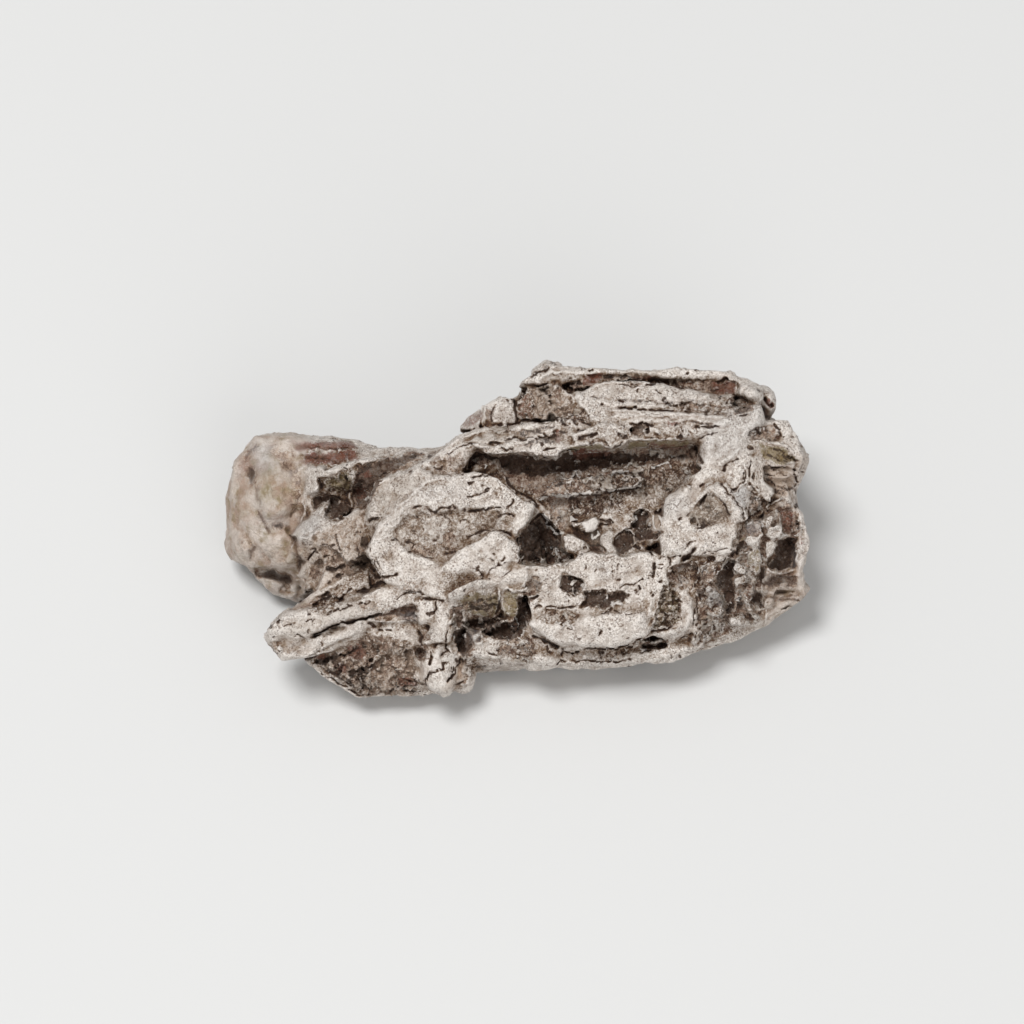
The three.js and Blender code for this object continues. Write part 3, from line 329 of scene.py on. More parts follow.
# The relief of the show face, region by region, in mm. An outline or a line is u, v, u, v ..., and before it stand:
# streaks: depth, direction in degrees, distance apart. facet and slab: height, softness of the edge.
# ridge, crack and flake: half the width, height or depth. bowl: depth, u, v, half its width and height, turn.
# The rest are marks of the surface, painted on: strength, softness of the edge.
leftLobe = {
    "streaks": [(0.08, -4, 0.22, (-13.6, 5.3, -9.8, 5, -9.7, 4.1, -13.1, 3.9))],
    "facet": [
        (-0.8, 0.12, (-16.5, -2.75, -16, -2.45, -15, -2.45, -14, -2.7, -13.7, -3, -13.65, -3.5, -14.2, -3.5,
         -14.9, -3.1, -15.4, -2.9, -15.9, -3.1)),
    ],
    "slab": [
        (0.3, 0.35, (-15.9, 3.9, -15.1, 4.5, -14.2, 4, -13.4, 3.1, -13.3, 1.8, -14, 1, -15.2, 0.7, -15.7, 1.5,
         -16, 2.8)),
        (0.2, 0.15, (-16.9, 0.5, -16.2, 0.9, -15.5, 0.5, -15, -0.3, -14.6, -0.4, -14.2, -0.05, -13.9, -0.15,
         -13.5, -1, -13.3, -2, -13.6, -2.5, -14.5, -2.4, -15.2, -1.5, -16.2, -0.6)),
        (0.2, 0.15, (-16.3, 4, -16, 4.9, -15.4, 5.1, -14.9, 4.5, -15.6, 3.9)),
    ],
    "ridge": [
        (0.5, 0.3, (-15.6, -3.5, -14.4, -3.9, -13.4, -4.3)), (0.3, 0.12, (-13.5, 2.2, -13.3, 3.9)),
        (0.2, 0.1, (-14.6, 4.1, -14.4, 2.9, -14.3, 1.8)), (0.18, 0.1, (-15.3, 3.6, -15.2, 2.6, -14.8, 1.5)),
        (0.12, 0.1, (-16.3, -0.5, -16.1, -1, -16.6, -1.4, -17, -1, -16.8, -0.6, -16.3, -0.5)),
    ],
    "crack": [
        (0.14, 0.1, (-15.9, 1.3, -15.6, 0.8, -15.3, 0.1, -14.9, -0.3)),
        (0.16, 0.3, (-14.1, 0.1, -13.7, -0.4, -13.4, -1.4, -13.15, -2, -13.4, -2.8)),
        (0.12, 0.08, (-16.1, -0.9, -16.1, -1.5, -16.2, -2)), (0.1, 0.08, (-15.9, 2.7, -15.85, 2, -15.6, 1.2)),
        (0.1, 0.1, (-13.9, 1, -13.5, 1.5, -13.2, 2.2)),
    ],
    "bowl": [
        (0.25, -16.2, 3.2, 0.35, 0.7, 10), (0.25, -13.9, 3.8, 0.5, 0.3), (0.2, -14.6, 0.15, 0.45, 0.2),
        (-0.2, -16.8, -1, 1.2, 1), (0.12, -16.4, 4.5, 0.5, 0.2, 50), (0.12, -13.5, 2.4, 0.2, 0.9),
    ],
    "calm": [(1, 0.5, (-18.5, -4.8, -18.5, 6, -12.6, 6, -12.9, 3.9, -13.2, 2, -13.2, -1.6, -12.9, -4.8))],
    "tan": [
        (0.5, 0.6, (-18.5, -2.6, -18.5, 6, -13.4, 6, -13.2, 2, -13.4, -2.6)),
        (0.9, 0.15, (-12.9, 4.45, -11.7, 4.4, -11.7, 4.15, -12.8, 4.05)),
    ],
    "olive": [
        (0.59, 0.4, (-15.9, 3.4, -15.1, 3.9, -14.2, 3.6, -13.5, 3, -13.5, 1.8, -14.2, 1.1, -15.3, 1, -15.9, 2)),
        (0.92, 0.25, (-15.8, 2.7, -15, 2.7, -14.9, 2.1, -15.7, 2)),
        (0.46, 0.4, (-17.4, 2.6, -16.4, 2.6, -16, 1, -16.9, 0.6, -17.5, 1.2)),
    ],
    "blue": [
        (0.78, 0.4, (-16.2, 5.2, -14.9, 5.2, -14.9, 3.6, -15.8, 3.4, -16.2, 4.2)),
        (0.52, 0.4, (-15.8, 0.8, -14.2, 1, -14, 0.4, -15.4, 0.1)),
    ],
    "brown": [
        (1, 0.25, (-16.5, 3.9, -15.9, 3.8, -15.85, 2.6, -16.3, 2.7, -16.6, 3.3)),
        (0.9, 0.25, (-14.4, 4.1, -13.6, 4, -13.6, 3.4, -14.3, 3.5)),
        (0.68, 0.25, (-13.8, 3.6, -13.2, 3.7, -13.2, 1.4, -13.9, 1.3)),
        (0.98, 0.15, (-16.9, 3.9, -16.5, 4.7, -15.8, 5.3, -15.7, 5, -16.4, 4.3, -16.5, 3.8)),
        (0.68, 0.3, (-15, 5.1, -13.4, 5, -13.6, 4.2, -14.9, 4.4)),
        (0.98, 0.15, (-15, 0.4, -14.2, 0.4, -14, -0.1, -14.9, -0.05)),
        (0.9, 0.1, (-15.8, 1.3, -15.5, 0.9, -15, -0.2, -15.3, 0, -15.8, 0.8)),
        (0.52, 0.2, (-13.6, 0.1, -13.2, -0.8, -13, -2.4, -13.4, -2.6, -13.7, -1)),
        (0.45, 0.3, (-17.1, -0.4, -16.1, -0.4, -16, -1.5, -16.9, -1.4)),
        (0.38, 0.4, (-16.4, -1.2, -14.2, -1.2, -13.8, -2.4, -16, -2.4)),
        # painted shadow under the lobe's lip, in full brown
        (1, 0.15, (-16.4, -2.7, -15, -2.4, -13.7, -2.9, -13.7, -3.5, -14.4, -3.4, -15.6, -3)),
    ],
    "rust": [
        (0.48, 0.3, (-17.2, 3.8, -16.4, 4.6, -16.2, 3.9, -17, 2.9)),
        (1, 0.2, (-13.8, 5.3, -10.1, 5.3, -9.8, 4.9, -13.4, 4.85)),
        (0.91, 0.2, (-12.9, 4.65, -9.8, 4.8, -9.7, 4.2, -11.7, 3.9, -13.1, 3.9)),
    ],
    "pale": [(0.5, 0.08, (-14, 4.85, -12.9, 4.8, -12.9, 4.68, -14, 4.7))],
}

neck = {
    "streaks": [(0.1, 20, 0.25, (-9.9, 3, -9.7, 3.9, -6.4, 4.8, -5.7, 4.6, -8, 3.2))],
    "facet": [
        (0.1, 0.12, (-13, 2, -12.9, 3.6, -12.4, 3.8, -11.5, 3.6, -12.1, 3.2, -12.1, 2.3)),
        (0, 0.12, (-11.8, 3, -11, 3.3, -10.1, 3.7, -10, 2.2, -11.6, 2.2)),
        (-0.45, 0.12, (-12.4, 2, -11.7, 2.1, -11.3, 1.95, -12, 1.4, -12.4, 1.15)),
        (-0.7, 0.14, (-11.4, 1.9, -10.8, 2, -10.2, 1.3, -10.3, 1, -11, 0.5, -11.6, 0.6, -11.3, 1.2)),
        (0.15, 0.12, (-13.6, -0.4, -12.6, -0.6, -11.2, 0.5, -11.6, 0.8, -11.4, 1.7, -11.9, 1.6, -12.4, 0.9,
         -13.3, 0.1)),
        (0.08, 0.12, (-12.2, -0.3, -11.8, 0, -10.8, 0.5, -9.6, 1.3, -9.3, 1.2, -9.35, -1.5, -9.7, -1.9, -10.4, -2,
         -11.1, -1.2, -12.2, -1)),
        (0.15, 0.12, (-13.4, -2.8, -12.9, -2.1, -12.2, -1.3, -11.9, -1.9, -12.6, -2.3, -12.9, -3)),
        (-0.3, 0.1, (-12.5, -2.2, -11.8, -2.5, -11.9, -3.1, -12.7, -3.1)),
        (0.08, 0.1, (-11.7, -2.6, -10.9, -2.9, -11.5, -3.4, -12.2, -3.7, -11.9, -3)),
        (-0.35, 0.1, (-13.2, -3.4, -12.8, -3.3, -12.7, -4, -13.1, -4)),
    ],
    "ridge": [
        (0.22, 0.3, (-10.05, 1.2, -10.05, 2.5, -10, 3.7)),
        (0.28, 0.3, (-11.6, 3.5, -10.6, 3.7, -9.9, 4.1, -8.9, 4.3, -8, 4.4)),
        (0.14, 0.2, (-11.6, 4, -11, 3.9, -10.5, 3.7)),
        (0.15, 0.25, (-13.5, -3.2, -13.1, -3.1, -12.75, -3.3, -12.6, -3.8)),
        (0.15, 0.2, (-13, 1.8, -12.9, 0.9, -13.2, 0.3)),
    ],
    "crack": [
        (0.09, 0.25, (-12.2, 3.3, -12, 2.9, -11.85, 2.4)), (0.07, 0.15, (-11.2, -0.1, -11, -0.8, -10.5, -1.9)),
        (0.08, 0.15, (-12.1, -0.95, -11.4, -1, -11.1, -0.9)), (0.16, 0.5, (-11.7, -2.5, -11, -2.5, -10.5, -2.2)),
        (0.12, 0.4, (-11, -2.9, -10.5, -2.8)), (0.1, 0.3, (-12.7, -1.2, -12.3, -1.2, -12.8, -2)),
        (0.08, 0.2, (-9.75, -1, -9.7, -1.4, -9.6, -1.8)), (0.07, 0.15, (-10, -0.3, -9.4, -0.15)),
        (0.07, 0.15, (-10.6, 3.75, -10.3, 3.7)), (0.1, 0.25, (-10.3, -1.9, -9.8, -2, -9.2, -2.1)),
        (0.08, 0.2, (-11.9, -1.8, -11.4, -1.6, -11.1, -2.1)), (0.07, 0.2, (-13.4, 1.4, -13.7, 1, -13.9, 0.6)),
    ],
    "bowl": [(0.15, -11.6, -1.7, 0.25, 0.15), (-0.12, -10.4, 2.5, 0.25, 0.3), (-0.12, -11.4, 2.6, 0.3, 0.25)],
    "rust": [
        (0.5, 0.25, (-9.95, 1.8, -9.3, 1.7, -9, 2.1, -9.3, 2.7, -9.9, 2.5)),
        (0.6, 0.2, (-9.7, 3.1, -9, 3, -8.7, 3.3, -9, 3.7, -9.5, 3.6)),
    ],
    "brown": [
        (0.6, 0.2, (-8.5, 3.1, -7.2, 3.5, -5.6, 4.4, -5.8, 4.7, -8.3, 4.1)),
        (1, 0.15, (-12.4, 2.1, -11.3, 2.1, -10.2, 1.4, -10.3, 1, -11, 0.5, -11.6, 0.6, -12.4, 1.1)),
        (0.6, 0.15, (-12.6, -2.2, -11.8, -2.5, -11.9, -3.1, -12.7, -3.1)),
        (0.5, 0.2, (-9.9, -0.6, -9.3, -0.4, -9.3, -1.9, -9.9, -1.9)),
        (0.45, 0.2, (-13.6, 1.6, -13, 2, -12.8, 1.2, -13.6, 0.4)),
        (0.5, 0.2, (-12, -1, -11.2, -0.9, -10.9, -1.6, -10.2, -2, -9.1, -2.3, -10.8, -3.1, -11.9, -2.6, -12.2, -2)),
        (0.95, 0.12, (-9.9, 3, -9.7, 3.9, -8.2, 4.2, -6.4, 4.8, -5.7, 4.6, -6.6, 4, -8, 3.3, -8.7, 2.2, -9, 1.4,
         -9.9, 1.3)),
    ],
    "olive": [(0.5, 0.25, (-11.8, 3, -11, 3.3, -10.1, 3.7, -10, 2.2, -11.6, 2.2))],
    "tan": [(0.55, 0.3, (-13.4, -4.1, -13.3, -0.7, -12.2, -0.3, -9.3, 1.2, -9.1, -2.2, -12.5, -4.2))],
    "clean": [
        (0.9, 0.12, (-13.6, -0.6, -12.9, -0.9, -12.6, -0.7, -11.3, 0.5, -11.4, 1.7, -11.9, 1.6, -12.5, 0.9,
         -13.4, 0.2)), (0.9, 0.1, (-13.5, -2.9, -12.9, -2, -12.1, -1.3, -11.8, -1.7, -12.4, -2.2, -12.9, -3.1)),
        (0.9, 0.1, (-13.15, 1.9, -13, 3.5, -12.5, 3.8, -12.1, 3.5, -12.2, 2.9, -12, 2.2, -12.6, 1.8)),
        (0.6, 0.1, (-11.9, -2.6, -11, -2.9, -11.6, -3.4, -12.2, -3.7)),
    ],
    "blue": [(0.6, 0.2, (-13.6, -0.6, -12.9, -0.9, -12.1, -0.1, -11.9, 1.2, -13.4, 0.2))],
    "grainy": [
        (0.4, 0.3, (-12.2, -0.3, -9.3, 1.2, -9.1, -2.2, -11.2, -3.2, -12.5, -2.2)),
        (0.7, 0.2, (-11.8, 3, -11, 3.3, -10.1, 3.7, -10, 2.2, -11.6, 2.2)),
    ],
}

finger = {
    "facet": [
        (-0.3, 0.1, (-13.5, -4.9, -12.8, -4.5, -12, -4.1, -11.8, -4.2, -12.4, -4.6, -13, -4.85)),
        (0.05, 0.12, (-12.6, -4.2, -11, -3.3, -9.1, -2.4, -9, -3, -9, -3.6, -10, -3.8, -10.9, -4.4, -11.3, -3.9,
         -12, -4)), (-0.35, 0.14, (-9, -5.45, -8, -5.1, -7, -4.8, -6.1, -4.6, -6.1, -5.6, -7, -5.75, -8.2, -5.6)),
    ],
    "ridge": [
        (0.3, 0.12, (-15, -6, -14.5, -5.6, -13.6, -5.25, -12.5, -5.1)),
        (0.2, 0.12, (-12.4, -4.15, -11, -3.35, -9.3, -2.5)),
        (0.15, 0.1, (-10.6, -4.3, -10, -4.1, -9, -3.95, -8.2, -3.4)),
        (0.3, 0.1, (-15, -7.4, -14, -7.7, -12.6, -7.7, -11, -7.2, -9.9, -6.9)),
        (0.12, 0.12, (-13.3, -5, -12.6, -4.85, -12.1, -4.85)),
    ],
    "crack": [
        (0.15, 0.6, (-12.9, -6.65, -12.5, -6.45, -12, -6.3, -11.4, -6, -11, -5.75, -10.5, -5.8, -10, -5.7, -9.5, -5.5,
         -8.9, -5.35, -8, -5.15)), (0.07, 0.15, (-13.7, -6.55, -13.4, -6.5, -13.2, -6.55, -12.9, -6.65)),
        (0.07, 0.12, (-14.3, -6, -13.9, -5.85, -13.5, -5.75)),
        (0.08, 0.2, (-11.8, -5.35, -11.4, -5.1, -11, -4.95, -10.5, -4.85, -10, -4.6)),
        (0.09, 0.2, (-10.5, -4.7, -10.2, -4.65, -9.9, -4.65)),
        (0.08, 0.2, (-9.6, -4.65, -9.35, -4.5, -9.1, -4.6, -8.9, -4.4, -8.7, -4.5)),
        (0.08, 0.25, (-10.9, -4.5, -10.6, -4.2, -10.35, -3.8, -10.1, -3.6)),
        (0.12, 0.35, (-10, -3.9, -9.5, -3.8, -9, -3.7, -8.5, -3.4, -8, -3.1)),
        (0.1, 0.3, (-9, -2.1, -8.9, -2.5, -8.5, -2.9, -8.1, -2.95, -7.7, -2.85, -7.1, -2.65)),
        (0.1, 0.3, (-11.9, -4.1, -11.6, -3.9, -11.45, -4.15, -11.8, -4.35)),
        (0.08, 0.15, (-12.9, -5.25, -12.5, -5.15)), (0.08, 0.15, (-12.9, -5.6, -12.5, -5.45, -12.4, -5.7)),
        (0.09, 0.2, (-6.9, -4, -6.5, -3.85, -6.1, -3.87, -5.8, -3.9, -5.5, -4)),
        (0.06, 0.12, (-7.4, -4.35, -7, -4.1, -6.7, -4)),
        (0.22, 0.5, (-12.6, -8.15, -11.8, -8.15, -11.4, -7.95, -10.4, -7.55, -9.6, -7.1)),
        (0.07, 0.15, (-8.8, -1.9, -8.5, -2.4, -8.2, -2.8)), (0.06, 0.12, (-8.6, -1.7, -8.4, -2.1, -8.15, -2.6)),
    ],
    "bowl": [
        (0.18, -14.7, -7.05, 0.2, 0.14, -30), (0.2, -14.35, -7.5, 0.16, 0.14), (0.12, -15, -7.35, 0.14, 0.18),
        (0.12, -9.45, -6.1, 0.2, 0.2), (-0.1, -13.7, -6.9, 0.7, 0.4), (0.06, -11.5, -6.4, 0.7, 0.2, 20),
    ],
    "rust": [
        (0.8, 0.15, (-12.6, -7.85, -11.9, -7.6, -11.5, -7.8, -11.7, -8.1, -12.4, -8)),
        (0.5, 0.15, (-8.9, -5.4, -7.6, -5, -6.4, -4.8, -6.6, -5, -8.2, -5.4)),
    ],
    "brown": [
        (1, 0.15, (-9, -5.45, -8, -5.1, -7, -4.8, -6.1, -4.6, -6.1, -5.5, -7.2, -5.4)),
        (0.7, 0.12, (-13.5, -4.9, -12.8, -4.5, -12, -4.1, -11.8, -4.2, -12.4, -4.6, -13, -4.85)),
        (0.35, 0.2, (-12.4, -4.7, -11.8, -4, -11.1, -3.9, -11.2, -4.9, -11.8, -5.2)),
        (0.42, 0.25, (-7.3, -3, -6, -3, -5.4, -3.4, -5.3, -4, -7, -3.9)),
        (0.5, 0.2, (-9.9, -4.5, -8.8, -4.4, -8.5, -4.9, -9.4, -5.2)),
        (0.55, 0.15, (-15.2, -6.9, -14.6, -6.7, -14.2, -7.4, -14.5, -7.7, -15.1, -7.4)),
        (0.45, 0.2, (-11.9, -3.9, -10.4, -3.4, -10.3, -3.9, -11.6, -4.4)),
        (0.8, 0.15, (-9, -2.2, -8.9, -2.9, -8, -3.05, -8.5, -3.3, -9, -3)),
    ],
    "blue": [(0.5, 0.15, (-7.3, -5.4, -6.1, -5, -6.1, -5.6, -7, -5.75))],
    "grainy": [(0.8, 0.2, (-12.8, -4.7, -11.8, -4, -10.9, -3.9, -10.9, -4.9, -11.8, -5.2))],
    "dust": [(0.45, 0.4, (-14.9, -6.2, -9.5, -4.3, -8, -5, -12.6, -6.9))],
}

foot = {
    "streaks": [
        (0.12, -35, 0.22, (-12.6, -8.1, -9.2, -10.3, -8.6, -9.6, -10.2, -8.2, -11.4, -7.7)),
        (0.1, -8, 0.2, (-7.6, -9.1, -5.6, -9.3, -5.6, -10.1, -8.4, -10.1)),
    ],
    "facet": [
        (0.15, 0.1, (-6, -4.3, -5.7, -4.2, -5.1, -4.3, -5, -4.9, -5.3, -5.4, -5.9, -5.6, -6, -5)),
        (0.08, 0.12, (-6.9, -6, -6.1, -5.9, -6, -6.9, -6.4, -7.1, -7, -6.8)),
        (-0.2, 0.08, (-7.4, -5.9, -7.05, -6, -7.05, -6.4, -7.3, -6.5)),
        (-0.25, 0.12, (-6, -6.3, -5.5, -6.1, -5.3, -6.9, -5.8, -6.8)),
    ],
    "ridge": [
        (0.2, 0.15, (-11, -8.9, -10, -9.5, -9, -9.9)), (0.2, 0.15, (-7.4, -9.2, -6.6, -9.5, -5.9, -9.8)),
        (0.3, 0.2, (-4.9, -5.9, -4.7, -7, -4.9, -8)), (0.2, 0.15, (-8.3, -6.1, -8.5, -6.5, -8.9, -6.3)),
    ],
    "crack": [
        (0.09, 0.25, (-10.1, -8.95, -9.6, -8.6, -9.1, -8.2, -8.7, -7.9)),
        (0.07, 0.2, (-10, -9.05, -9.2, -8.5, -8.8, -8.3)),
        (0.08, 0.2, (-12.2, -8.5, -11.3, -9.1, -10.2, -9.8, -9.3, -10.2)),
        (0.08, 0.2, (-11.8, -8.4, -10.8, -9.1, -9.9, -9.7)), (0.08, 0.2, (-11.2, -8.4, -10.4, -9.2, -9.8, -9.7)),
        (0.08, 0.2, (-7.5, -9.7, -7.2, -9.55, -7, -9.45)), (0.07, 0.15, (-7.2, -9.75, -6.6, -9.6, -6, -9.6)),
        (0.07, 0.15, (-7, -9.95, -6.4, -9.9, -5.8, -9.9)), (0.08, 0.2, (-8.5, -6, -8, -6.1, -7.6, -6)),
        (0.09, 0.2, (-5.9, -4.3, -5.6, -4.22, -5.1, -4.35, -4.6, -4.35, -4.4, -4.3)),
        (0.08, 0.2, (-4.97, -4.4, -4.9, -4.9, -5.05, -5.2)),
        (0.08, 0.25, (-4.2, -5.9, -4.25, -6.4, -4.35, -6.9, -4.35, -7.2, -4.2, -7.4, -4.75, -7.8)),
        (0.06, 0.15, (-4.2, -7.4, -4, -7.6)), (0.06, 0.15, (-5.1, -7.35, -4.9, -7.1, -4.4, -6.9)),
        (0.14, 0.4, (-5.3, -7.4, -5.2, -7.8, -5.3, -8.4)),
        (0.08, 0.25, (-4, -8.05, -4.5, -8.2, -4.55, -8.55, -4.9, -8.7, -5.4, -8.8, -5.6, -9.3, -5.5, -9.8)),
        (0.12, 0.3, (-3.95, -8.7, -4, -9, -4.3, -9.4)),
        (0.09, 0.25, (-3.4, -7.8, -3.6, -8.2, -3.85, -8.5, -3.85, -8.9)),
        (0.1, 0.25, (-6, -6.2, -5.8, -6.6, -5.95, -6.9, -5.95, -7.2)),
        (0.08, 0.2, (-3.9, -9.5, -3.5, -9.4, -3.2, -9.2)),
    ],
    "bowl": [
        (0.6, -5.8, -7.45, 0.42, 0.42), (0.15, -9.2, -9.4, 0.6, 0.4), (0.15, -8.5, -7.1, 0.4, 0.5),
        (-0.15, -7.2, -8.1, 0.8, 0.7), (-0.12, -8.1, -9.2, 0.4, 0.3), (0.12, -9.9, -9.3, 0.3, 0.2),
    ],
    "grainy": [(1, 0.3, (-12.5, -8.1, -9.2, -10.3, -6, -10.1, -6.3, -7.9, -6.4, -7, -7.2, -6.8, -8.9, -6.6))],
    "tan": [
        (0.5, 0.3, (-12.5, -8.1, -9.2, -10.3, -6, -10.1, -6.1, -7.9, -6.4, -7, -8.9, -6.4)),
        (0.8, 0.15, (-3.8, -8.4, -3.4, -8.1, -3.2, -9.1, -3.8, -9.2)),
        (0.6, 0.15, (-4.6, -9.8, -3.9, -9.1, -3.6, -9.6, -4.3, -10)),
        (0.3, 0.2, (-6.2, -8, -5.4, -8.2, -5.3, -9.8, -5.9, -9.8)),
    ],
    "brown": [
        (0.5, 0.3, (-12.5, -8.1, -9.2, -10.3, -6.2, -10.1, -6.6, -8.4, -8, -6.6, -9, -6.4)),
        (0.6, 0.25, (-9.9, -9.1, -8.3, -9, -8.3, -9.9, -9.6, -9.8)),
        (0.6, 0.2, (-8.9, -6.6, -8, -6.6, -8, -7.5, -8.8, -7.6)),
        (0.8, 0.1, (-6.2, -7.2, -5.8, -7, -5.4, -7.3, -5.4, -7.8, -5.9, -7.9, -6.2, -7.6)),
        (0.6, 0.12, (-6, -6.3, -5.5, -6.1, -5.3, -6.9, -5.8, -6.8)),
        (0.5, 0.2, (-3.3, -7.8, -2.7, -7.8, -2.8, -9.5, -3.5, -9.7, -3.4, -8.7)),
    ],
    "rust": [
        (0.7, 0.25, (-10.4, -7.2, -9.6, -7, -9, -7.5, -9.3, -8, -10.3, -8)),
        (0.7, 0.25, (-11.3, -8.1, -10.3, -8.2, -10.2, -8.9, -11.1, -8.8)),
        (0.6, 0.2, (-7.4, -9, -6.4, -9, -5.9, -9.8, -7.3, -9.7)),
    ],
}

pockets = {
    "streaks": [(0.06, 15, 0.2, (-4, -4.2, -2.6, -3.9, -1.1, -4.1, -1.1, -5.2, -3.5, -5.2))],
    "facet": [
        (-0.05, 0.2, (-3.6, -4.3, -3, -4, -2.2, -3.9, -1.3, -4.1, -1.15, -4.8, -1.4, -5.3, -2.4, -5.3, -3.1, -5.1)),
        (-0.25, 0.12, (-4, -4.9, -3.6, -4.8, -3.1, -5.2, -3, -5.9, -3.6, -6.2, -4, -5.8)),
        (-1.3, 0.12, (-3.2, -5.6, -2.6, -5.45, -1.5, -5.5, -0.8, -5.75, -0.1, -6.1, -0.4, -6.5, -1.2, -6.55, -2, -6.5,
         -2.15, -6.2, -2.4, -6, -2.9, -6, -3.2, -6.4, -3.3, -7.3, -3.6, -7.2, -3.6, -6.4, -3.3, -6.1)),
        (-0.12, 0.12, (-0.85, -3.7, -0.2, -3.85, 0.05, -4.3, 0.05, -5, -0.1, -5.5, -0.8, -5.3)),
        (-1, 0.12, (0.1, -4.3, 0.55, -4.25, 0.6, -4.9, 0.45, -5.5, 0.5, -6.1, 0.1, -6.1, -0.1, -5.7, 0.1, -5.1)),
        (0.1, 0.12, (-2.4, -6.9, -1.8, -6.7, -1.2, -6.8, -1.1, -7.8, -2.5, -7.8)),
        (-0.2, 0.1, (0.85, -2.95, 1.4, -3, 1.65, -3.3, 1.5, -3.85, 1.1, -4.05, 0.4, -3.95, 0.5, -3.55, 0.8, -3.3)),
    ],
    "ridge": [
        (0.12, 0.25, (-1.1, -3.6, -1.1, -4.3, -1.2, -4.9, -1.3, -5.3, -0.8, -5.6, -0.2, -6, 0.1, -6.2)),
        (0.15, 0.2, (-1, -3.5, -0.4, -3.7, 0.2, -3.7, 0.5, -3.5, 0.8, -3)),
        (0.12, 0.25, (-2.9, -6, -2.3, -6.1, -2.05, -6.5, -2.2, -6.9, -2.6, -7)),
        (0.12, 0.15, (0, -4, 0.5, -4.15, 1.1, -4.1, 1.4, -3.8)),
    ],
    "flake": [
        (0.1, 0.15, (-0.2, -5.5, -0.1, -5.8, 0.1, -6)), (0.07, 0.15, (-1.1, -3.8, -1, -4.6)),
        (0.08, 0.15, (-0.1, -5.3, 0.1, -5.6, 0.05, -5.9)),
    ],
    "crack": [
        (0.09, 0.2, (0, -4.15, 0.5, -4.25, 1, -4.2, 1.35, -4.05)), (0.1, 0.2, (-1.05, -4.3, -1.1, -4.9, -1.3, -5.3)),
        (0.07, 0.15, (-2.2, -4.3, -1.7, -4.6, -1.2, -4.6)), (0.07, 0.15, (-3, -4.6, -2.4, -4.9, -1.8, -4.9)),
        (0.08, 0.2, (-1.9, -7.5, -1.4, -7.6, -1.1, -7.7)),
    ],
    "bowl": [
        (-0.3, -2.3, -4.7, 1, 0.55), (-0.45, -2.6, -6.5, 0.42, 0.45), (-0.25, -0.5, -4.9, 0.35, 0.5, 20),
        (-0.15, -0.4, -7.1, 0.4, 0.3), (0.3, -3.7, -5.6, 0.35, 0.5),
    ],
    "olive": [
        (0.62, 0.2, (-3.7, -4.4, -3.2, -4, -2.3, -3.85, -1.15, -4, -1.1, -5, -1.4, -5.4, -2.4, -5.3, -3.2, -5.1)),
        (0.62, 0.15, (-0.9, -3.7, 0.1, -3.9, 0.1, -4.4, 0, -5.3, -0.8, -5.2)),
    ],
    "brown": [
        (0.55, 0.15, (-3.7, -4.5, -2.6, -4.3, -1.4, -4.5, -1.3, -5.4, -2.4, -5.3, -3.3, -5.1)),
        (0.9, 0.15, (-4.1, -4.9, -3.5, -4.7, -3.1, -5.2, -3, -5.9, -3.6, -6.3, -4.1, -5.9)),
        (1, 0.12, (-3.3, -5.6, -2.6, -5.3, -1.5, -5.4, -0.8, -5.7, 0.4, -5.5, 0.2, -6.4, -0.8, -6.6, -2, -6.6,
         -2.2, -6.1, -2.9, -6, -3.2, -6.5, -3.1, -7.4, -3.6, -7.3, -3.7, -6.2)),
        (1, 0.15, (-3.9, -6.2, -3.1, -6, -2.6, -6.4, -2.7, -7.4, -3.3, -8, -3.7, -7.2)),
        (0.9, 0.2, (-3.2, -7, -2.7, -7.1, -2.9, -9, -3.4, -9)),
        (1, 0.1, (0.1, -4.2, 1.2, -4.2, 0.8, -4.5, 0.65, -5.2, 0.6, -6, 0.1, -6.1, 0, -5.1)),
        (1, 0.15, (-1.6, -6.1, -0.6, -6, 0.4, -5.9, 0.5, -6.6, -0.5, -6.9, -1.3, -6.7)),
        (0.75, 0.15, (-1.1, -6.8, 0, -6.7, 0, -7.7, -1.1, -7.6)),
        (0.8, 0.1, (0.85, -2.95, 1.4, -3, 1.65, -3.3, 1.5, -3.85, 1.1, -4.05, 0.4, -3.95, 0.8, -3.3)),
    ],
    "grainy": [(0.8, 0.2, (-1.1, -6.8, 0, -6.7, 0, -7.7, -1.1, -7.6))],
    "blue": [(0.5, 0.1, (-3, -6.1, -2.3, -6.2, -2.2, -6.9, -2.8, -7))],
    "rust": [(0.4, 0.2, (-2, -5.6, -0.4, -5.9, -0.4, -6.2, -2, -6))],
}

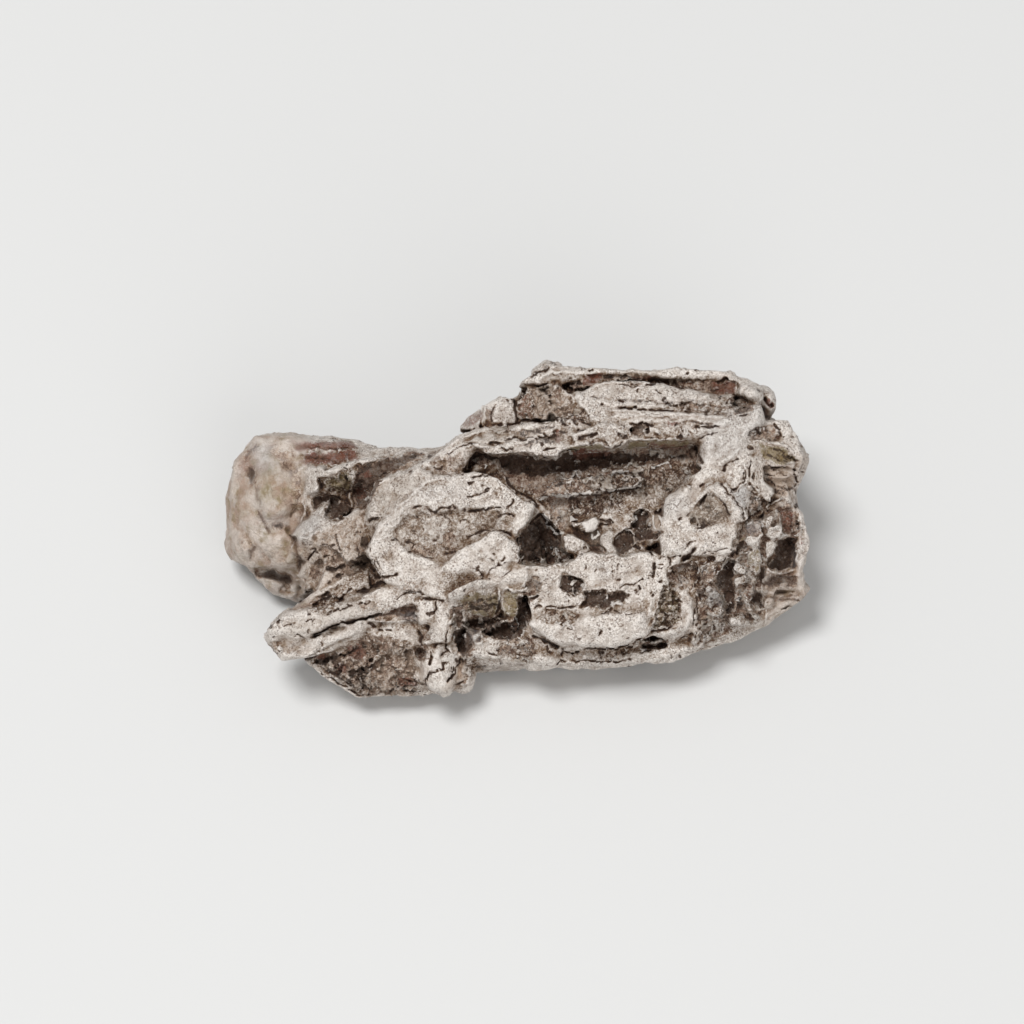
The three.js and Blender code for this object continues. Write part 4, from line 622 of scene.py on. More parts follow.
rimmedPlate = {
    "facet": [
        (0.03, 0.15, (-9.1, 0.6, -8.9, 2.2, -7.9, 2.9, -6, 3.7, -5.2, 3.5, -5.6, 2.9, -7.5, 1)),
        (0.06, 0.1, (-5.1, 0.9, -4.3, 0.8, -4.1, 0.4, -4.3, 0, -5, 0)),
        (-0.2, 0.15, (-5.3, 4.1, -4.4, 4.1, -4.3, 3.4, -5.1, 3.25)),
    ],
    "slab": [
        (-0.13, 0.3, (-7.9, -0.5, -7.2, 0.4, -6.9, 0.9, -6.4, 1.2, -5.9, 1.35, -5.5, 1.15, -5.1, 1, -4.7, 1.25,
         -4.2, 1.2, -3.9, 1.4, -3.5, 1, -3, 1.1, -2, 1.2, -1, 1.35, -0.6, 1.1, -0.2, 0.8, -0.5, 0.2, -0.9, 0, -2, 0,
         -2.6, -0.1, -3.1, -0.7, -3.8, -1.3, -4.6, -1.5, -5.3, -1.8, -6.4, -1.5, -7.2, -1)),
        (0.1, 0.12, (0, 1.9, 0.8, 1.6, 1.2, 1.2, 1.3, 0.9, 1, 0.6, 0.4, 0.2, 0.2, -0.2, -0.2, -0.5, -0.4, 0.1,
         -0.1, 0.8, -0.4, 1.4)),
        (0.12, 0.1, (-2.9, -0.9, -2.5, -0.25, -1.7, -0.1, -0.9, -0.2, -0.3, -0.5, 0.1, -1.1, 0.1, -1.9, -1, -2.1,
         -2.4, -1.6)),
    ],
    "ridge": [
        (0.16, 0.12, (-9, -0.9, -8.6, -0.25, -8, 0.45, -7.3, 1.25, -6.6, 1.9, -6, 2.55, -5.3, 3, -4.6, 3.05, -3.9, 3,
         -3.4, 3.2, -2.9, 3.05)), (0.2, 0.08, (-8.2, 0, -7, 1.1, -6.3, 1.8)),
        (0.13, 0.12, (-9.1, 1.8, -8.9, 2.2, -8.4, 2.75, -7.9, 2.95, -7, 3.35, -6, 3.8, -5.3, 4.2, -4.9, 4.8)),
        (0.13, 0.12, (-9.25, -0.6, -9.25, 0.4, -9.15, 1.2)),
        (0.13, 0.1, (-9, -1.2, -9, -1.8, -8.6, -2.4, -8.1, -2.9)),
        (0.12, 0.1, (-2.6, -0.25, -1.7, -0.12, -0.9, -0.22, -0.3, -0.55, 0.08, -1.1, 0.12, -1.8)),
        (0.12, 0.12, (-3.5, 3.3, -3.2, 3.5, -3, 3.8)),
        (0.15, 0.12, (-2.5, 3.15, -1.8, 3.25, -1.2, 3.65, -0.9, 3.4, -0.5, 2.7, 0, 2.1)),
        (0.12, 0.12, (0, 1.95, 0.7, 1.7, 1.2, 1.25, 1.3, 0.85)),
    ],
    "crack": [
        (0.07, 0.15, (-8.95, 0.4, -8.7, 0.65, -8.3, 0.65)),
        (0.1, 0.2, (-6.6, 1, -6.3, 1.25, -6, 1.35, -5.6, 1.3, -5.4, 1.1, -5, 1, -4.7, 1.2, -4.5, 1.3, -4.2, 1.2,
         -3.9, 1.4, -3.6, 1.2, -3.6, 1)), (0.09, 0.2, (-3.2, 1.05, -2.7, 1.1, -2, 1.2, -1.2, 1.3, -0.7, 1.3)),
        (0.13, 0.25, (-0.7, 1.3, -0.4, 1.5, -0.1, 1.85)),
        (0.09, 0.2, (-3.1, 2, -2.8, 2.05, -2.4, 2.05, -2.1, 2.3, -1.8, 2.4, -1.6, 2.35)),
        (0.09, 0.15, (-3, 2.75, -2.8, 2.75, -2.6, 2.9)),
        (0.1, 0.2, (-2.9, 3.2, -2.4, 3.3, -2.2, 3.35, -1.9, 3.2, -1.3, 3.25)),
        (0.08, 0.18, (-6.9, -0.75, -6.5, -0.7, -6.25, -1.1, -6.4, -1.4, -6.7, -1.5)),
        (0.07, 0.12, (-7.75, -0.7, -7.5, -0.6, -7.2, -0.75)), (0.09, 0.15, (-5.9, -1.6, -5.6, -1.7, -5.2, -1.8)),
        (0.09, 0.15, (-4.5, -1.5, -4.1, -1.5, -3.8, -1.3)), (0.07, 0.12, (-5, 1, -4.4, 0.8, -4.1, 0.5, -4.2, 0.2)),
        (0.09, 0.2, (-3, -0.9, -2.9, -0.5, -2.5, -0.2, -2, -0.05, -1.3, -0.08, -0.7, -0.2, -0.4, -0.4, -0.15, -0.6)),
        (0.06, 0.1, (-3.6, 0.5, -3.2, 0.5, -2.9, 0.3)), (0.07, 0.12, (-1.2, 0.7, -0.8, 0.8, -0.5, 0.95, -0.1, 0.8)),
        (0.06, 0.1, (-2.4, -2.3, -2.35, -2.6, -2, -3)),
        (0.05, 0.1, (-2, -2.9, -1.7, -2.6, -1.5, -2.3, -0.9, -2.1, -0.5, -2.1)),
        (0.08, 0.12, (-2, -3, -2.4, -3.2, -2.6, -3.4)), (0.05, 0.1, (-1.9, -3, -1.6, -3.1, -1.3, -3.1)),
        (0.05, 0.08, (-0.8, -2.9, -0.5, -2.6, -0.3, -2.5)), (0.1, 0.2, (-5.2, 3.8, -4.9, 3.6, -4.6, 3.7, -4.5, 3.9)),
        (0.08, 0.2, (-3.5, 3.2, -3.1, 3.5, -2.95, 3.6)), (0.06, 0.12, (-4.4, 4.6, -4.1, 4.65, -3.8, 4.9)),
        (0.07, 0.15, (-8.9, -0.4, -8.95, -0.9, -8.9, -1.4)),
    ],
    "bowl": [
        (0.08, -7.5, 2.1, 0.35, 0.45), (0.1, -7.2, -0.85, 0.12, 0.12), (0.12, -4.2, -0.45, 0.4, 0.35),
        (0.1, -5.6, -1.2, 0.35, 0.35), (-0.08, -6.7, -1.1, 0.25, 0.3), (0.08, -5.2, 2.2, 0.3, 0.12),
        (0.1, -2.2, -1.3, 0.3, 0.12, 20), (-0.12, -3.5, 0.1, 0.35, 0.2), (0.1, -3, 0.4, 0.3, 0.2),
        (-0.1, -6.2, 0.3, 0.4, 0.3), (0.1, -7.3, 0.1, 0.3, 0.25), (-0.1, -1.2, 0.4, 0.4, 0.2),
        (-0.1, -1.8, 0.9, 0.3, 0.2), (0.08, -2.2, 0.6, 0.25, 0.2),
    ],
    "clean": [
        (0.85, 0.4, (-5.4, 1, -4.4, 0.9, -4.1, -0.1, -4.9, -0.7, -5.7, -0.3)),
        (0.8, 0.4, (-8.2, -0.5, -7.2, 0.6, -6.6, 0.3, -6.8, -0.6)),
        (0.7, 0.3, (-1.7, 0.8, -0.7, 0.9, -0.5, 0.3, -1.7, 0.2)),
        (0.6, 0.4, (-3.6, 0.6, -2.8, 0.5, -3, -0.4, -3.6, -0.3)),
    ],
    "grainy": [
        (0.42, 0.5, (-7.9, -0.5, -6.9, 0.9, -5.9, 1.35, -4.2, 1.2, -3, 1.1, -0.6, 1.2, -0.3, 0.2, -2.6, -0.1,
         -3.8, -1.3, -5.3, -1.8, -7.2, -1)),
    ],
    "dust": [
        (0.3, 0.5, (-7.6, -0.4, -6.9, 0.8, -5.9, 1.2, -4.2, 1.1, -3, 1, -0.8, 1.2, -0.6, 0.3, -2.6, 0, -3.8, -1.2,
         -5.3, -1.6, -7, -0.9)), (0.4, 0.3, (-9.1, 0.6, -8.9, 2.2, -7.9, 2.9, -5.4, 3.5, -6, 2.85, -7.7, 1.05)),
    ],
    "brown": [
        (0.5, 0.2, (-4.8, 0.2, -3.8, 0, -3.6, -0.5, -3.9, -1.4, -4.6, -1.3, -4.8, -0.5)),
        (0.5, 0.2, (-7, -0.7, -6.2, -0.8, -5.4, -0.9, -5, -1.6, -5.7, -1.8, -6.6, -1.5)),
        (0.45, 0.15, (-3.5, 1.05, -2.5, 1.15, -1.2, 1.3, -1, 0.9, -2.2, 0.7, -3.2, 0.8)),
        (0.45, 0.12, (-6.5, 1.25, -5.7, 1.4, -5, 1.05, -4.2, 1.3, -3.7, 1.3, -4.2, 0.95, -5.2, 0.75, -6.2, 1)),
        (0.4, 0.2, (-5.3, 4.4, -3.3, 4.6, -3, 3.6, -3.6, 3.3, -5.1, 3.25)),
    ],
    "olive": [(0.5, 0.12, (-3, 1, -1, 1.2, -1, 0.9, -2.4, 0.8))],
    "blue": [(0.35, 0.5, (-8.6, -1, -6, 2.6, -3, 3, -3, 1.6, -6.6, 1.6, -7.9, 0))],
}

centrePits = {
    "facet": [
        (-0.75, 0.14, (0.15, -2, 0.2, -1.5, 0.15, -1.1, -0.1, -0.6, 0.05, -0.3, 0.35, 0.05, 0.8, 0.3, 1.4, 0.8,
         1.7, 0.4, 2, 0, 2.3, -0.4, 2.3, -0.9, 2.05, -1.1, 2.1, -1.95, 0.7, -2.2)),
        (-0.3, 0.12, (2, 1.8, 2.8, 1.8, 3.3, 1.5, 3.1, 0.5, 2.9, -0.1, 2.3, 0, 2.05, 0.7, 2.1, 1.2)),
        (-0.45, 0.1, (2.4, -1.1, 2.8, -1.4, 3.3, -1.6, 2.9, -2, 2.3, -1.9, 2.5, -1.5)),
        (0.15, 0.1, (3, -0.3, 3.4, -0.35, 4, -0.8, 4.5, -1.3, 4, -1.5, 3.4, -1.4, 2.9, -1)),
        (0.3, 0.08, (3.3, 0.15, 3.9, 0.15, 4, -0.2, 4.3, -0.2, 4.6, 0, 5, 0.1, 5.1, 0.6, 4.8, 0.7, 4.1, 0.5,
         3.8, 0.35, 3.3, 0.35)), (0.1, 0.15, (5.1, 0.6, 5.6, 0.45, 6, 0.4, 6.3, 1, 5.8, 1.4, 5.2, 1.2)),
        (0.2, 0.12, (5.15, -0.3, 5.7, -0.1, 5.85, -0.5, 5.85, -1.3, 5.5, -1.4, 5.1, -0.8)),
        (-0.5, 0.08, (4.6, -1, 5.05, -1, 5.45, -1.5, 4.65, -1.4)),
        (-0.7, 0.1, (6.7, 0.05, 6.4, -0.1, 6, -0.5, 5.95, -1.2, 6.2, -1.55, 6.6, -1.6, 6.8, -1.1, 7.1, -0.9,
         7.1, -0.2, 6.95, 0)), (-0.3, 0.12, (6.8, -1.1, 7.9, -0.9, 7.9, -1.3, 7.2, -1.5, 6.8, -1.5)),
        (-0.8, 0.1, (7, 0.2, 7.3, 0.6, 7.2, 1, 7.5, 1.25, 7.9, 1.1, 8.15, 0.5, 8.1, -0.1, 7.6, -0.3, 7.1, -0.2)),
        (-0.35, 0.1, (7.9, 0, 9, -0.2, 8.7, -0.45, 8, -0.55, 7.6, -0.9, 7.2, -0.8, 7.2, -0.2)),
        (-0.1, 0.08, (8.2, 0.95, 8.85, 0.9, 8.9, 0, 8.2, 0)),
    ],
    "flake": [
        (0.12, 0.25, (1.45, 1.15, 1.65, 0.9, 1.85, 0.6, 1.85, 0.3, 2.15, -0.05, 2.5, -0.3, 3, -0.3)),
        (0.12, 0.3, (2.05, -1.1, 2.3, -1.1, 2.4, -1.4, 2.55, -1.6)), (0.08, 0.15, (3.35, 0.57, 3.7, 0.57)),
        (0.1, 0.2, (3.3, 0.4, 3.3, 0.8, 3.5, 0.5)), (0.1, 0.2, (4.5, -0.2, 4.5, -0.5, 4.8, -0.6, 5, -0.3, 4.8, -0.1)),
        (0.08, 0.2, (6.9, 0.35, 7.1, 0.45, 7.35, 0.6, 7.3, 0.85, 7.1, 0.9)),
        (0.09, 0.2, (8.3, 0.9, 8.3, 0.3, 8.5, 0)), (0.08, 0.2, (8.6, 0.9, 8.8, 0.6, 8.85, 0.1)),
        (0.08, 0.15, (6.4, -0.95, 6.5, -0.8)),
    ],
    "ridge": [
        (0.15, 0.12, (6.8, 0.9, 7.3, 1.2, 7.6, 1.35, 7.9, 1.2, 8.3, 1.05, 8.9, 1.3)),
        (0.14, 0.12, (8, -0.6, 8.5, -0.55, 9, -0.3)),
    ],
    "crack": [
        (0.08, 0.2, (5.1, 0.62, 5.5, 0.45, 5.95, 0.38)), (0.07, 0.15, (5.1, 0.35, 5.5, 0.28, 5.8, 0.3)),
        (0.1, 0.2, (8.4, 1.2, 8.6, 1.05, 8.9, 1.2)), (0.12, 0.3, (8, -0.95, 8.15, -1.35, 8.35, -1.65)),
        (0.07, 0.18, (8.55, -1.7, 9.1, -1.75, 9.4, -2, 9.4, -2.3, 9.2, -2.5)),
        (0.07, 0.18, (9.4, -1.95, 9.6, -1.7, 9.95, -1.65)), (0.11, 0.25, (10, -2, 10.4, -1.75, 10.8, -1.3, 11, -1.1)),
        (0.06, 0.12, (10.2, -1.3, 10.6, -0.9, 11, -0.75)), (0.07, 0.12, (2, 0.75, 2.7, 0.75)),
        (0.06, 0.12, (4, -1.9, 4.15, -2.2, 4.1, -2.5)),
    ],
    "bowl": [
        (0.15, 4.75, 0.45, 0.12, 0.12), (-0.25, 6.85, 0.65, 0.4, 0.3), (-0.12, 8.5, 0.4, 0.3, 0.45),
        (0.12, 8.35, 0.6, 0.1, 0.12), (-0.15, 7, -1.2, 0.2, 0.15), (-0.12, 7.6, -1.1, 0.25, 0.15),
        (-0.15, 0.5, -1.3, 0.15, 0.12), (-0.15, 1.2, -1.5, 0.5, 0.35), (0.2, 1.6, -0.4, 0.5, 0.4),
        (-0.15, 2.6, -0.7, 0.3, 0.2), (-0.1, 4.8, -0.8, 0.2, 0.2),
    ],
    "brown": [
        (1, 0.15, (0.15, -2, 0.15, -1.1, -0.1, -0.6, 0.35, 0.05, 1.4, 0.8, 2, 0, 2.3, -0.6, 3.3, -1.6, 2.9, -2,
         0.7, -2.2)), (0.75, 0.15, (1.6, 2, 2.8, 1.9, 3.3, 1.5, 3.1, 0.5, 2.9, -0.1, 2.3, 0, 1.9, 0.9)),
        (1, 0.1, (6.7, 0.05, 5.95, -0.6, 5.95, -1.4, 6.6, -1.6, 7.1, -0.9, 7.1, 0)),
        (1, 0.1, (7, 0.2, 7.2, 1, 7.5, 1.25, 7.9, 1.1, 8.2, 0.5, 8.2, -0.1, 9, -0.2, 8.2, -0.6, 7.2, -0.9,
         7.1, -0.2)), (0.95, 0.1, (4.6, -1, 5.05, -1, 5.45, -1.5, 4.65, -1.4)),
        (0.42, 0.2, (3.2, 1.9, 6.6, 2.2, 6.4, 1.5, 5.2, 1.2, 5, 0.8, 3.2, 0.6)),
    ],
    "tan": [(0.7, 0.1, (8.2, 0.95, 8.85, 0.9, 8.9, 0, 8.2, 0))],
    "pale": [(0.6, 0.1, (3.8, 0.3, 4.1, 0.5, 4.8, 0.7, 5.1, 0.6, 5, 0.1, 4.3, -0.2, 3.9, -0.1))],
    "dust": [(0.6, 0.2, (4.2, 0, 5.1, 0, 5.1, -1, 4.4, -0.9))],
    "grainy": [(0.9, 0.2, (3.2, 1.8, 6.6, 2, 6.4, 1.2, 5, 0.8, 3.2, 1))],
}

groove = {
    "streaks": [(0.06, 4, 0.2, (-1.6, 4.4, 2.6, 4.2, 6, 4.7, 10.6, 5, 10.4, 4.5, 6, 4.2, 1.6, 3.7))],
    "facet": [
        (-0.2, 0.12, (3, 2.3, 4.6, 2.4, 4.7, 2.9, 3.8, 3, 3, 2.7)),
        (-0.1, 0.1, (8, 3, 8.8, 3.6, 9.1, 3.1, 8.9, 2.7, 8, 2.6)),
    ],
    "slab": [
        (-0.55, 0.3, (-1.4, 4.3, 1.2, 4.3, 2.6, 4.2, 3.6, 4.7, 5.1, 4.8, 6, 4.5, 7, 4.8, 10, 4.8, 9, 4.2, 6, 3.9,
         3, 3.5, 0.8, 3.2, -0.6, 3.6)),
        (0.3, 0.08, (4.7, 2.15, 4.75, 3.1, 5.1, 3.2, 5.3, 2.75, 6, 2.55, 7.2, 2.75, 7.7, 3, 7.8, 2.65, 6, 2.38,
         5, 2.35, 4.9, 2.1)), (-0.3, 0.1, (1.3, 1.8, 3, 1.85, 3.4, 1.6, 2.4, 1.4, 1.7, 1.2)),
        (0.22, 0.1, (1.2, 1.9, 2.2, 1.95, 4.6, 2.15, 4.8, 3, 3.2, 2.85, 1.6, 2.6)),
    ],
    "ridge": [
        (0.15, 0.15, (-3, 4.5, -2.4, 4.65, -1.2, 4.65, 1, 4.65, 1.3, 4.45, 2, 4.4, 2.6, 4.6, 3.1, 5, 3.7, 5.2, 5, 5.3,
         5.6, 4.9, 6, 4.85, 6.3, 5, 6.7, 5.45, 8, 5.45, 10.7, 5.5)),
    ],
    "flake": [
        (0.1, 0.2, (1.3, 1.85, 1.9, 1.8)), (0.1, 0.22, (2, 1.95, 2.6, 1.93, 3, 1.97, 3.4, 2.1, 4, 2.15, 4.7, 2.2)),
        (0.1, 0.2, (5, 2.38, 6, 2.4, 7, 2.5, 7.8, 2.68)), (0.08, 0.2, (1.8, 2.65, 2.2, 2.65)),
        (0.06, 0.15, (2.05, 3, 2.1, 2.8)), (0.08, 0.2, (3.25, 2.83, 3.55, 2.88)),
        (0.06, 0.15, (0.3, 2.9, 0.4, 2.5, 0.45, 2.2)), (0.1, 0.25, (3.2, 3.7, 3.6, 3.4, 3.7, 3.2, 4.1, 3.1)),
        (0.1, 0.2, (4.75, 3.85, 4.85, 3.75)), (0.1, 0.2, (4.4, 3.1, 4.6, 3.1)),
        (0.13, 0.3, (5.7, 3.15, 6, 3.5, 6.35, 3.7, 6.35, 3.5, 7, 3.55)), (0.1, 0.25, (6.6, 3.75, 6.9, 4, 7.1, 3.9)),
        (0.09, 0.2, (8.1, 3.9, 8.35, 3.7, 8.7, 3.8, 9.2, 4.1, 9.6, 3.75)),
        (0.08, 0.2, (6.1, 2.3, 6.2, 2.15, 6.3, 2.3)), (0.08, 0.15, (9.3, 4.45, 9.6, 4.45)),
        (0.05, 0.1, (7.7, 4.1, 7.8, 4.3, 7.95, 4.4)), (0.08, 0.2, (-2, 4.05, -1.9, 3.9, -2, 3.7)),
        (0.06, 0.15, (0.7, 2.65, 0.95, 2.75)),
    ],
    "crack": [
        (0.09, 0.2, (3, 1.85, 3.8, 1.98, 4.6, 2.05, 5, 2.1)), (0.09, 0.2, (5, 2.25, 6, 2.28, 7, 2.4, 7.9, 2.55)),
        (0.08, 0.15, (2.3, 2.58, 3, 2.75)), (0.12, 0.3, (-0.8, 3.4, -0.4, 2.7, 0, 2.2, 0.5, 2, 1, 1.7, 1.35, 1.2)),
        (0.08, 0.2, (8.9, 2.6, 9.1, 3, 8.9, 3.5)), (0.1, 0.25, (-2.9, 4.3, -2.4, 4.5, -1.4, 4.5)),
        (0.07, 0.15, (5.05, 5.5, 5.3, 5.35, 5.6, 5.1, 6, 5.05, 6.3, 5.1, 6.65, 5.45)),
        (0.12, 0.3, (10.7, 5.2, 11, 4.8, 11.2, 4.3, 11.4, 3.95)), (0.08, 0.2, (11, 2.5, 11.3, 2.7, 11.7, 2.85)),
    ],
    "bowl": [
        (-0.15, 3.6, 1.4, 0.4, 0.25), (-0.12, 4.6, 1.3, 0.25, 0.3), (0.12, 5.4, 1.7, 0.3, 0.3),
        (-0.1, 5.7, 2.8, 0.3, 0.15), (0.12, 7.3, 3.2, 0.4, 0.25), (-0.12, 9.6, 3.2, 0.4, 0.3),
        (-0.12, 8.4, 3.3, 0.3, 0.3), (0.15, 10.4, 3, 0.3, 0.3), (-0.15, 10.3, 2.6, 0.4, 0.3),
        (0.1, 9.4, 2.6, 0.3, 0.2), (-0.2, -2.4, 3.85, 0.4, 0.2), (-0.15, 1, 2.4, 0.35, 0.25),
    ],
    "brown": [
        # painted shadow in the groove under its overhanging lip, in full brown
        (1, 0.12, (-2.6, 4.4, -1, 4.6, 1.2, 4.45, 1.8, 4.2, 3.6, 4.8, 5.8, 4.7, 7, 4.6, 10.6, 4.6, 10.4, 4.2,
         7.6, 4.1, 5, 3.7, 3, 3.4, 0.8, 3.2, -0.4, 3.4, -1.2, 4)),
        (0.8, 0.25, (-2.9, 4.4, -1.4, 4.6, 1.2, 4.6, 2.6, 4.3, 3.6, 5, 5, 5.2, 5.9, 4.7, 6.8, 5.3, 10.7, 5.2,
         11.3, 4.1, 9, 3.9, 7, 3.5, 5.4, 3.2, 3, 3, 1, 2.1, -0.4, 2.7, -1.2, 3.7, -2.6, 4)),
        (0.62, 0.12, (0.6, 2.2, 1.8, 3, 4.7, 3.2, 4.7, 2.25, 3, 2.1, 1.6, 1.9)),
        (0.8, 0.12, (1.5, 1.8, 3.2, 1.9, 5, 2.1, 5, 1.8, 3.2, 1.5, 1.7, 1.4)),
        (0.45, 0.15, (5.3, 2.85, 7.4, 3.05, 8, 3.3, 9, 3.5, 9, 2.7, 7.9, 2.7, 6, 2.6)),
        (0.4, 0.2, (7, 3.6, 9, 4, 11.2, 4, 10.8, 3.3, 9, 2.9, 8, 3)),
        (0.42, 0.2, (3, 1.9, 6.4, 2.2, 6.6, 1.6, 5.2, 1.1, 3, 0.9)),
    ],
    "rust": [
        (0.75, 0.15, (3.4, 4.8, 5.6, 4.8, 5.8, 4.4, 3.4, 4.2)), (0.6, 0.15, (8, 5.3, 10.6, 5.2, 10.4, 4.9, 8, 4.9)),
    ],
    "olive": [
        (0.9, 0.15, (3, 5, 5, 5.2, 5.3, 4.9, 3.4, 4.7)),
        (0.9, 0.15, (6.8, 5.3, 10.6, 5.4, 10.4, 5.1, 8, 5, 6.8, 4.8)),
    ],
    "grainy": [(0.8, 0.3, (-1, 3.4, 6, 3.9, 11, 4, 10.6, 2.6, 8.4, 2.2, 5, 2, 1.6, 1.6))],
    "dust": [(0.4, 0.3, (7, 2.4, 9, 3, 10.8, 3.2, 10, 2.2, 7.4, 1.8))],
    "clean": [(0.6, 0.4, (5.4, 2.1, 7.8, 2.6, 9.2, 3.4, 10.8, 3.4, 10.2, 1.5, 8.9, 1.5, 7.6, 1.5, 6, 0.9))],
}

plateau = {
    "facet": [
        (-0.22, 0.1, (11.7, 2.25, 12.1, 2, 12.7, 1.4, 12.95, 0.8, 12.6, 0.6, 12.2, 0.6, 11.9, 0.4, 11.5, 0.25,
         11.1, 0.35, 10.9, 0.6, 10.4, 0.8, 10.6, 1.2, 11, 1.3)),
        (-0.3, 0.08, (11.3, 2.85, 11.75, 2.85, 11.5, 2.6, 11.15, 2.4)),
        (0, 0.1, (13.2, 2.2, 13.8, 2.65, 14.2, 2.2, 14, 1.6, 13.8, 1.2, 13.4, 1.6)),
        (-0.15, 0.1, (14.2, 2.1, 14.9, 2.1, 15.1, 1.5, 14.8, 0.9, 14.2, 0.6, 14.1, 1.4)),
        (0.08, 0.12, (14.1, 4.4, 15, 4.4, 14.9, 3, 15.5, 2.5, 15.7, 2.2, 15.3, 1.6, 14.9, 2.1, 14.2, 2.8, 14, 3.4)),
        (0.1, 0.12, (12.95, 3.3, 13.5, 4.1, 14.1, 4.5, 14.2, 4.2, 13.9, 3.8, 13.85, 3.1, 13.2, 2.4, 12.8, 2.9)),
        (-0.2, 0.1, (14, 0.5, 14.9, 0.6, 15, 0.2, 14.5, -0.4, 14, -0.2)),
    ],
    "ridge": [
        (0.3, 0.12, (11.9, 3, 11.5, 2.4, 11.1, 1.8, 10.9, 1.4)), (0.3, 0.15, (12.1, 2.9, 12.9, 1.9, 13.8, 0.5)),
        (0.1, 0.12, (13.2, 2.25, 13.8, 2.7, 13.85, 3)), (0.1, 0.2, (15, 0.8, 15.3, 1.3, 15.7, 1.6, 16.2, 1.9)),
        (0.2, 0.12, (12.2, 3.9, 13, 4.4, 13.8, 5)),
    ],
    "crack": [
        (0.1, 0.2, (12.15, 2, 12.5, 1.7, 12.8, 1.2, 13, 0.65)), (0.07, 0.2, (11, 1.25, 11.3, 1.8, 11.65, 2.3)),
        (0.1, 0.2, (10.8, 0.2, 11.1, 0.15, 11.3, 0.15, 11.6, 0.4, 11.9, 0.4)),
        (0.05, 0.1, (11, 0, 11.5, -0.15, 11.8, -0.7)), (0.07, 0.12, (11.9, -0.85, 12.1, -0.9)),
        (0.06, 0.1, (11.2, -1.5, 11.6, -1.4, 12, -1.5, 12.5, -1.3, 13, -1.2)),
        (0.06, 0.12, (10.9, 5.4, 11.6, 5.6, 12.4, 5.9)), (0.07, 0.15, (12.8, 4.05, 13.2, 4.2, 13.6, 4.35)),
        (0.12, 0.25, (12.65, 3.5, 12.7, 3.8, 12.85, 4)),
        (0.07, 0.15, (13.9, 3.8, 13.9, 3.1, 13.75, 2.8, 13.2, 2.3, 12.9, 2.6)),
        (0.08, 0.2, (13.15, 2.1, 13.5, 1.6, 13.8, 1.1, 13.95, 0.5)), (0.1, 0.2, (14, 2.8, 14.3, 2.6, 14.5, 2.3)),
        (0.08, 0.2, (14.2, 4.3, 14.1, 3.7, 14.2, 3.1)), (0.1, 0.25, (14.6, 0.6, 15, 0.8, 15.2, 1.2)),
        (0.08, 0.2, (12.4, 2.9, 12.8, 2.4, 13.2, 2)),
    ],
    "bowl": [
        (0.12, 12.6, 4.5, 0.12, 0.1), (0.12, 13.7, 3.6, 0.1, 0.08), (0.12, 13.2, 3.3, 0.08, 0.15),
        (-0.08, 11.5, 1.3, 0.4, 0.4), (0.08, 12.5, 0.9, 0.3, 0.2), (-0.1, 14.5, 1.5, 0.3, 0.3),
        (-0.08, 12.2, 0, 0.7, 0.4), (0.06, 9.8, 0.4, 0.8, 0.7), (-0.06, 9.6, -1, 0.7, 0.5),
    ],
    "grainy": [
        (0.7, 0.15, (11.7, 2.3, 13, 0.8, 12, 0.4, 11, 0.3, 10.4, 0.8)),
        (0.9, 0.15, (14.2, 2.1, 14.9, 2.1, 15.1, 1.5, 14.8, 0.9, 14.2, 0.6, 14.1, 1.4)),
    ],
    "dust": [
        (0.7, 0.15, (11.7, 2.3, 13, 0.8, 12, 0.4, 11, 0.3, 10.4, 0.8)),
        (0.3, 0.3, (14.1, 4.4, 15, 4.4, 14.9, 3, 14.2, 2.9)),
    ],
    "brown": [
        (0.7, 0.1, (11.3, 2.85, 11.75, 2.85, 11.5, 2.6, 11.15, 2.4)),
        (0.55, 0.15, (14.2, 2.1, 14.9, 2.1, 15.1, 1.5, 14.8, 0.9, 14.2, 0.6, 14.1, 1.4)),
        (0.75, 0.12, (14, 0.5, 14.9, 0.6, 15, 0.2, 14.5, -0.4, 14, -0.2)),
        (0.6, 0.12, (14, 2.9, 14.4, 2.6, 14.9, 2.2, 14.2, 2.4)),
    ],
    "blue": [
        (0.9, 0.15, (13.2, 2.2, 13.8, 2.65, 14.2, 2.2, 14, 1.6, 13.8, 1.2, 13.4, 1.6)),
        (0.5, 0.5, (11.6, 6.6, 15, 7.6, 15, 6.4, 13.4, 4.2, 11.4, 4.2)),
        (0.4, 0.4, (9, 2, 10.4, 2.2, 10.4, 1, 9, 0.6)),
    ],
}

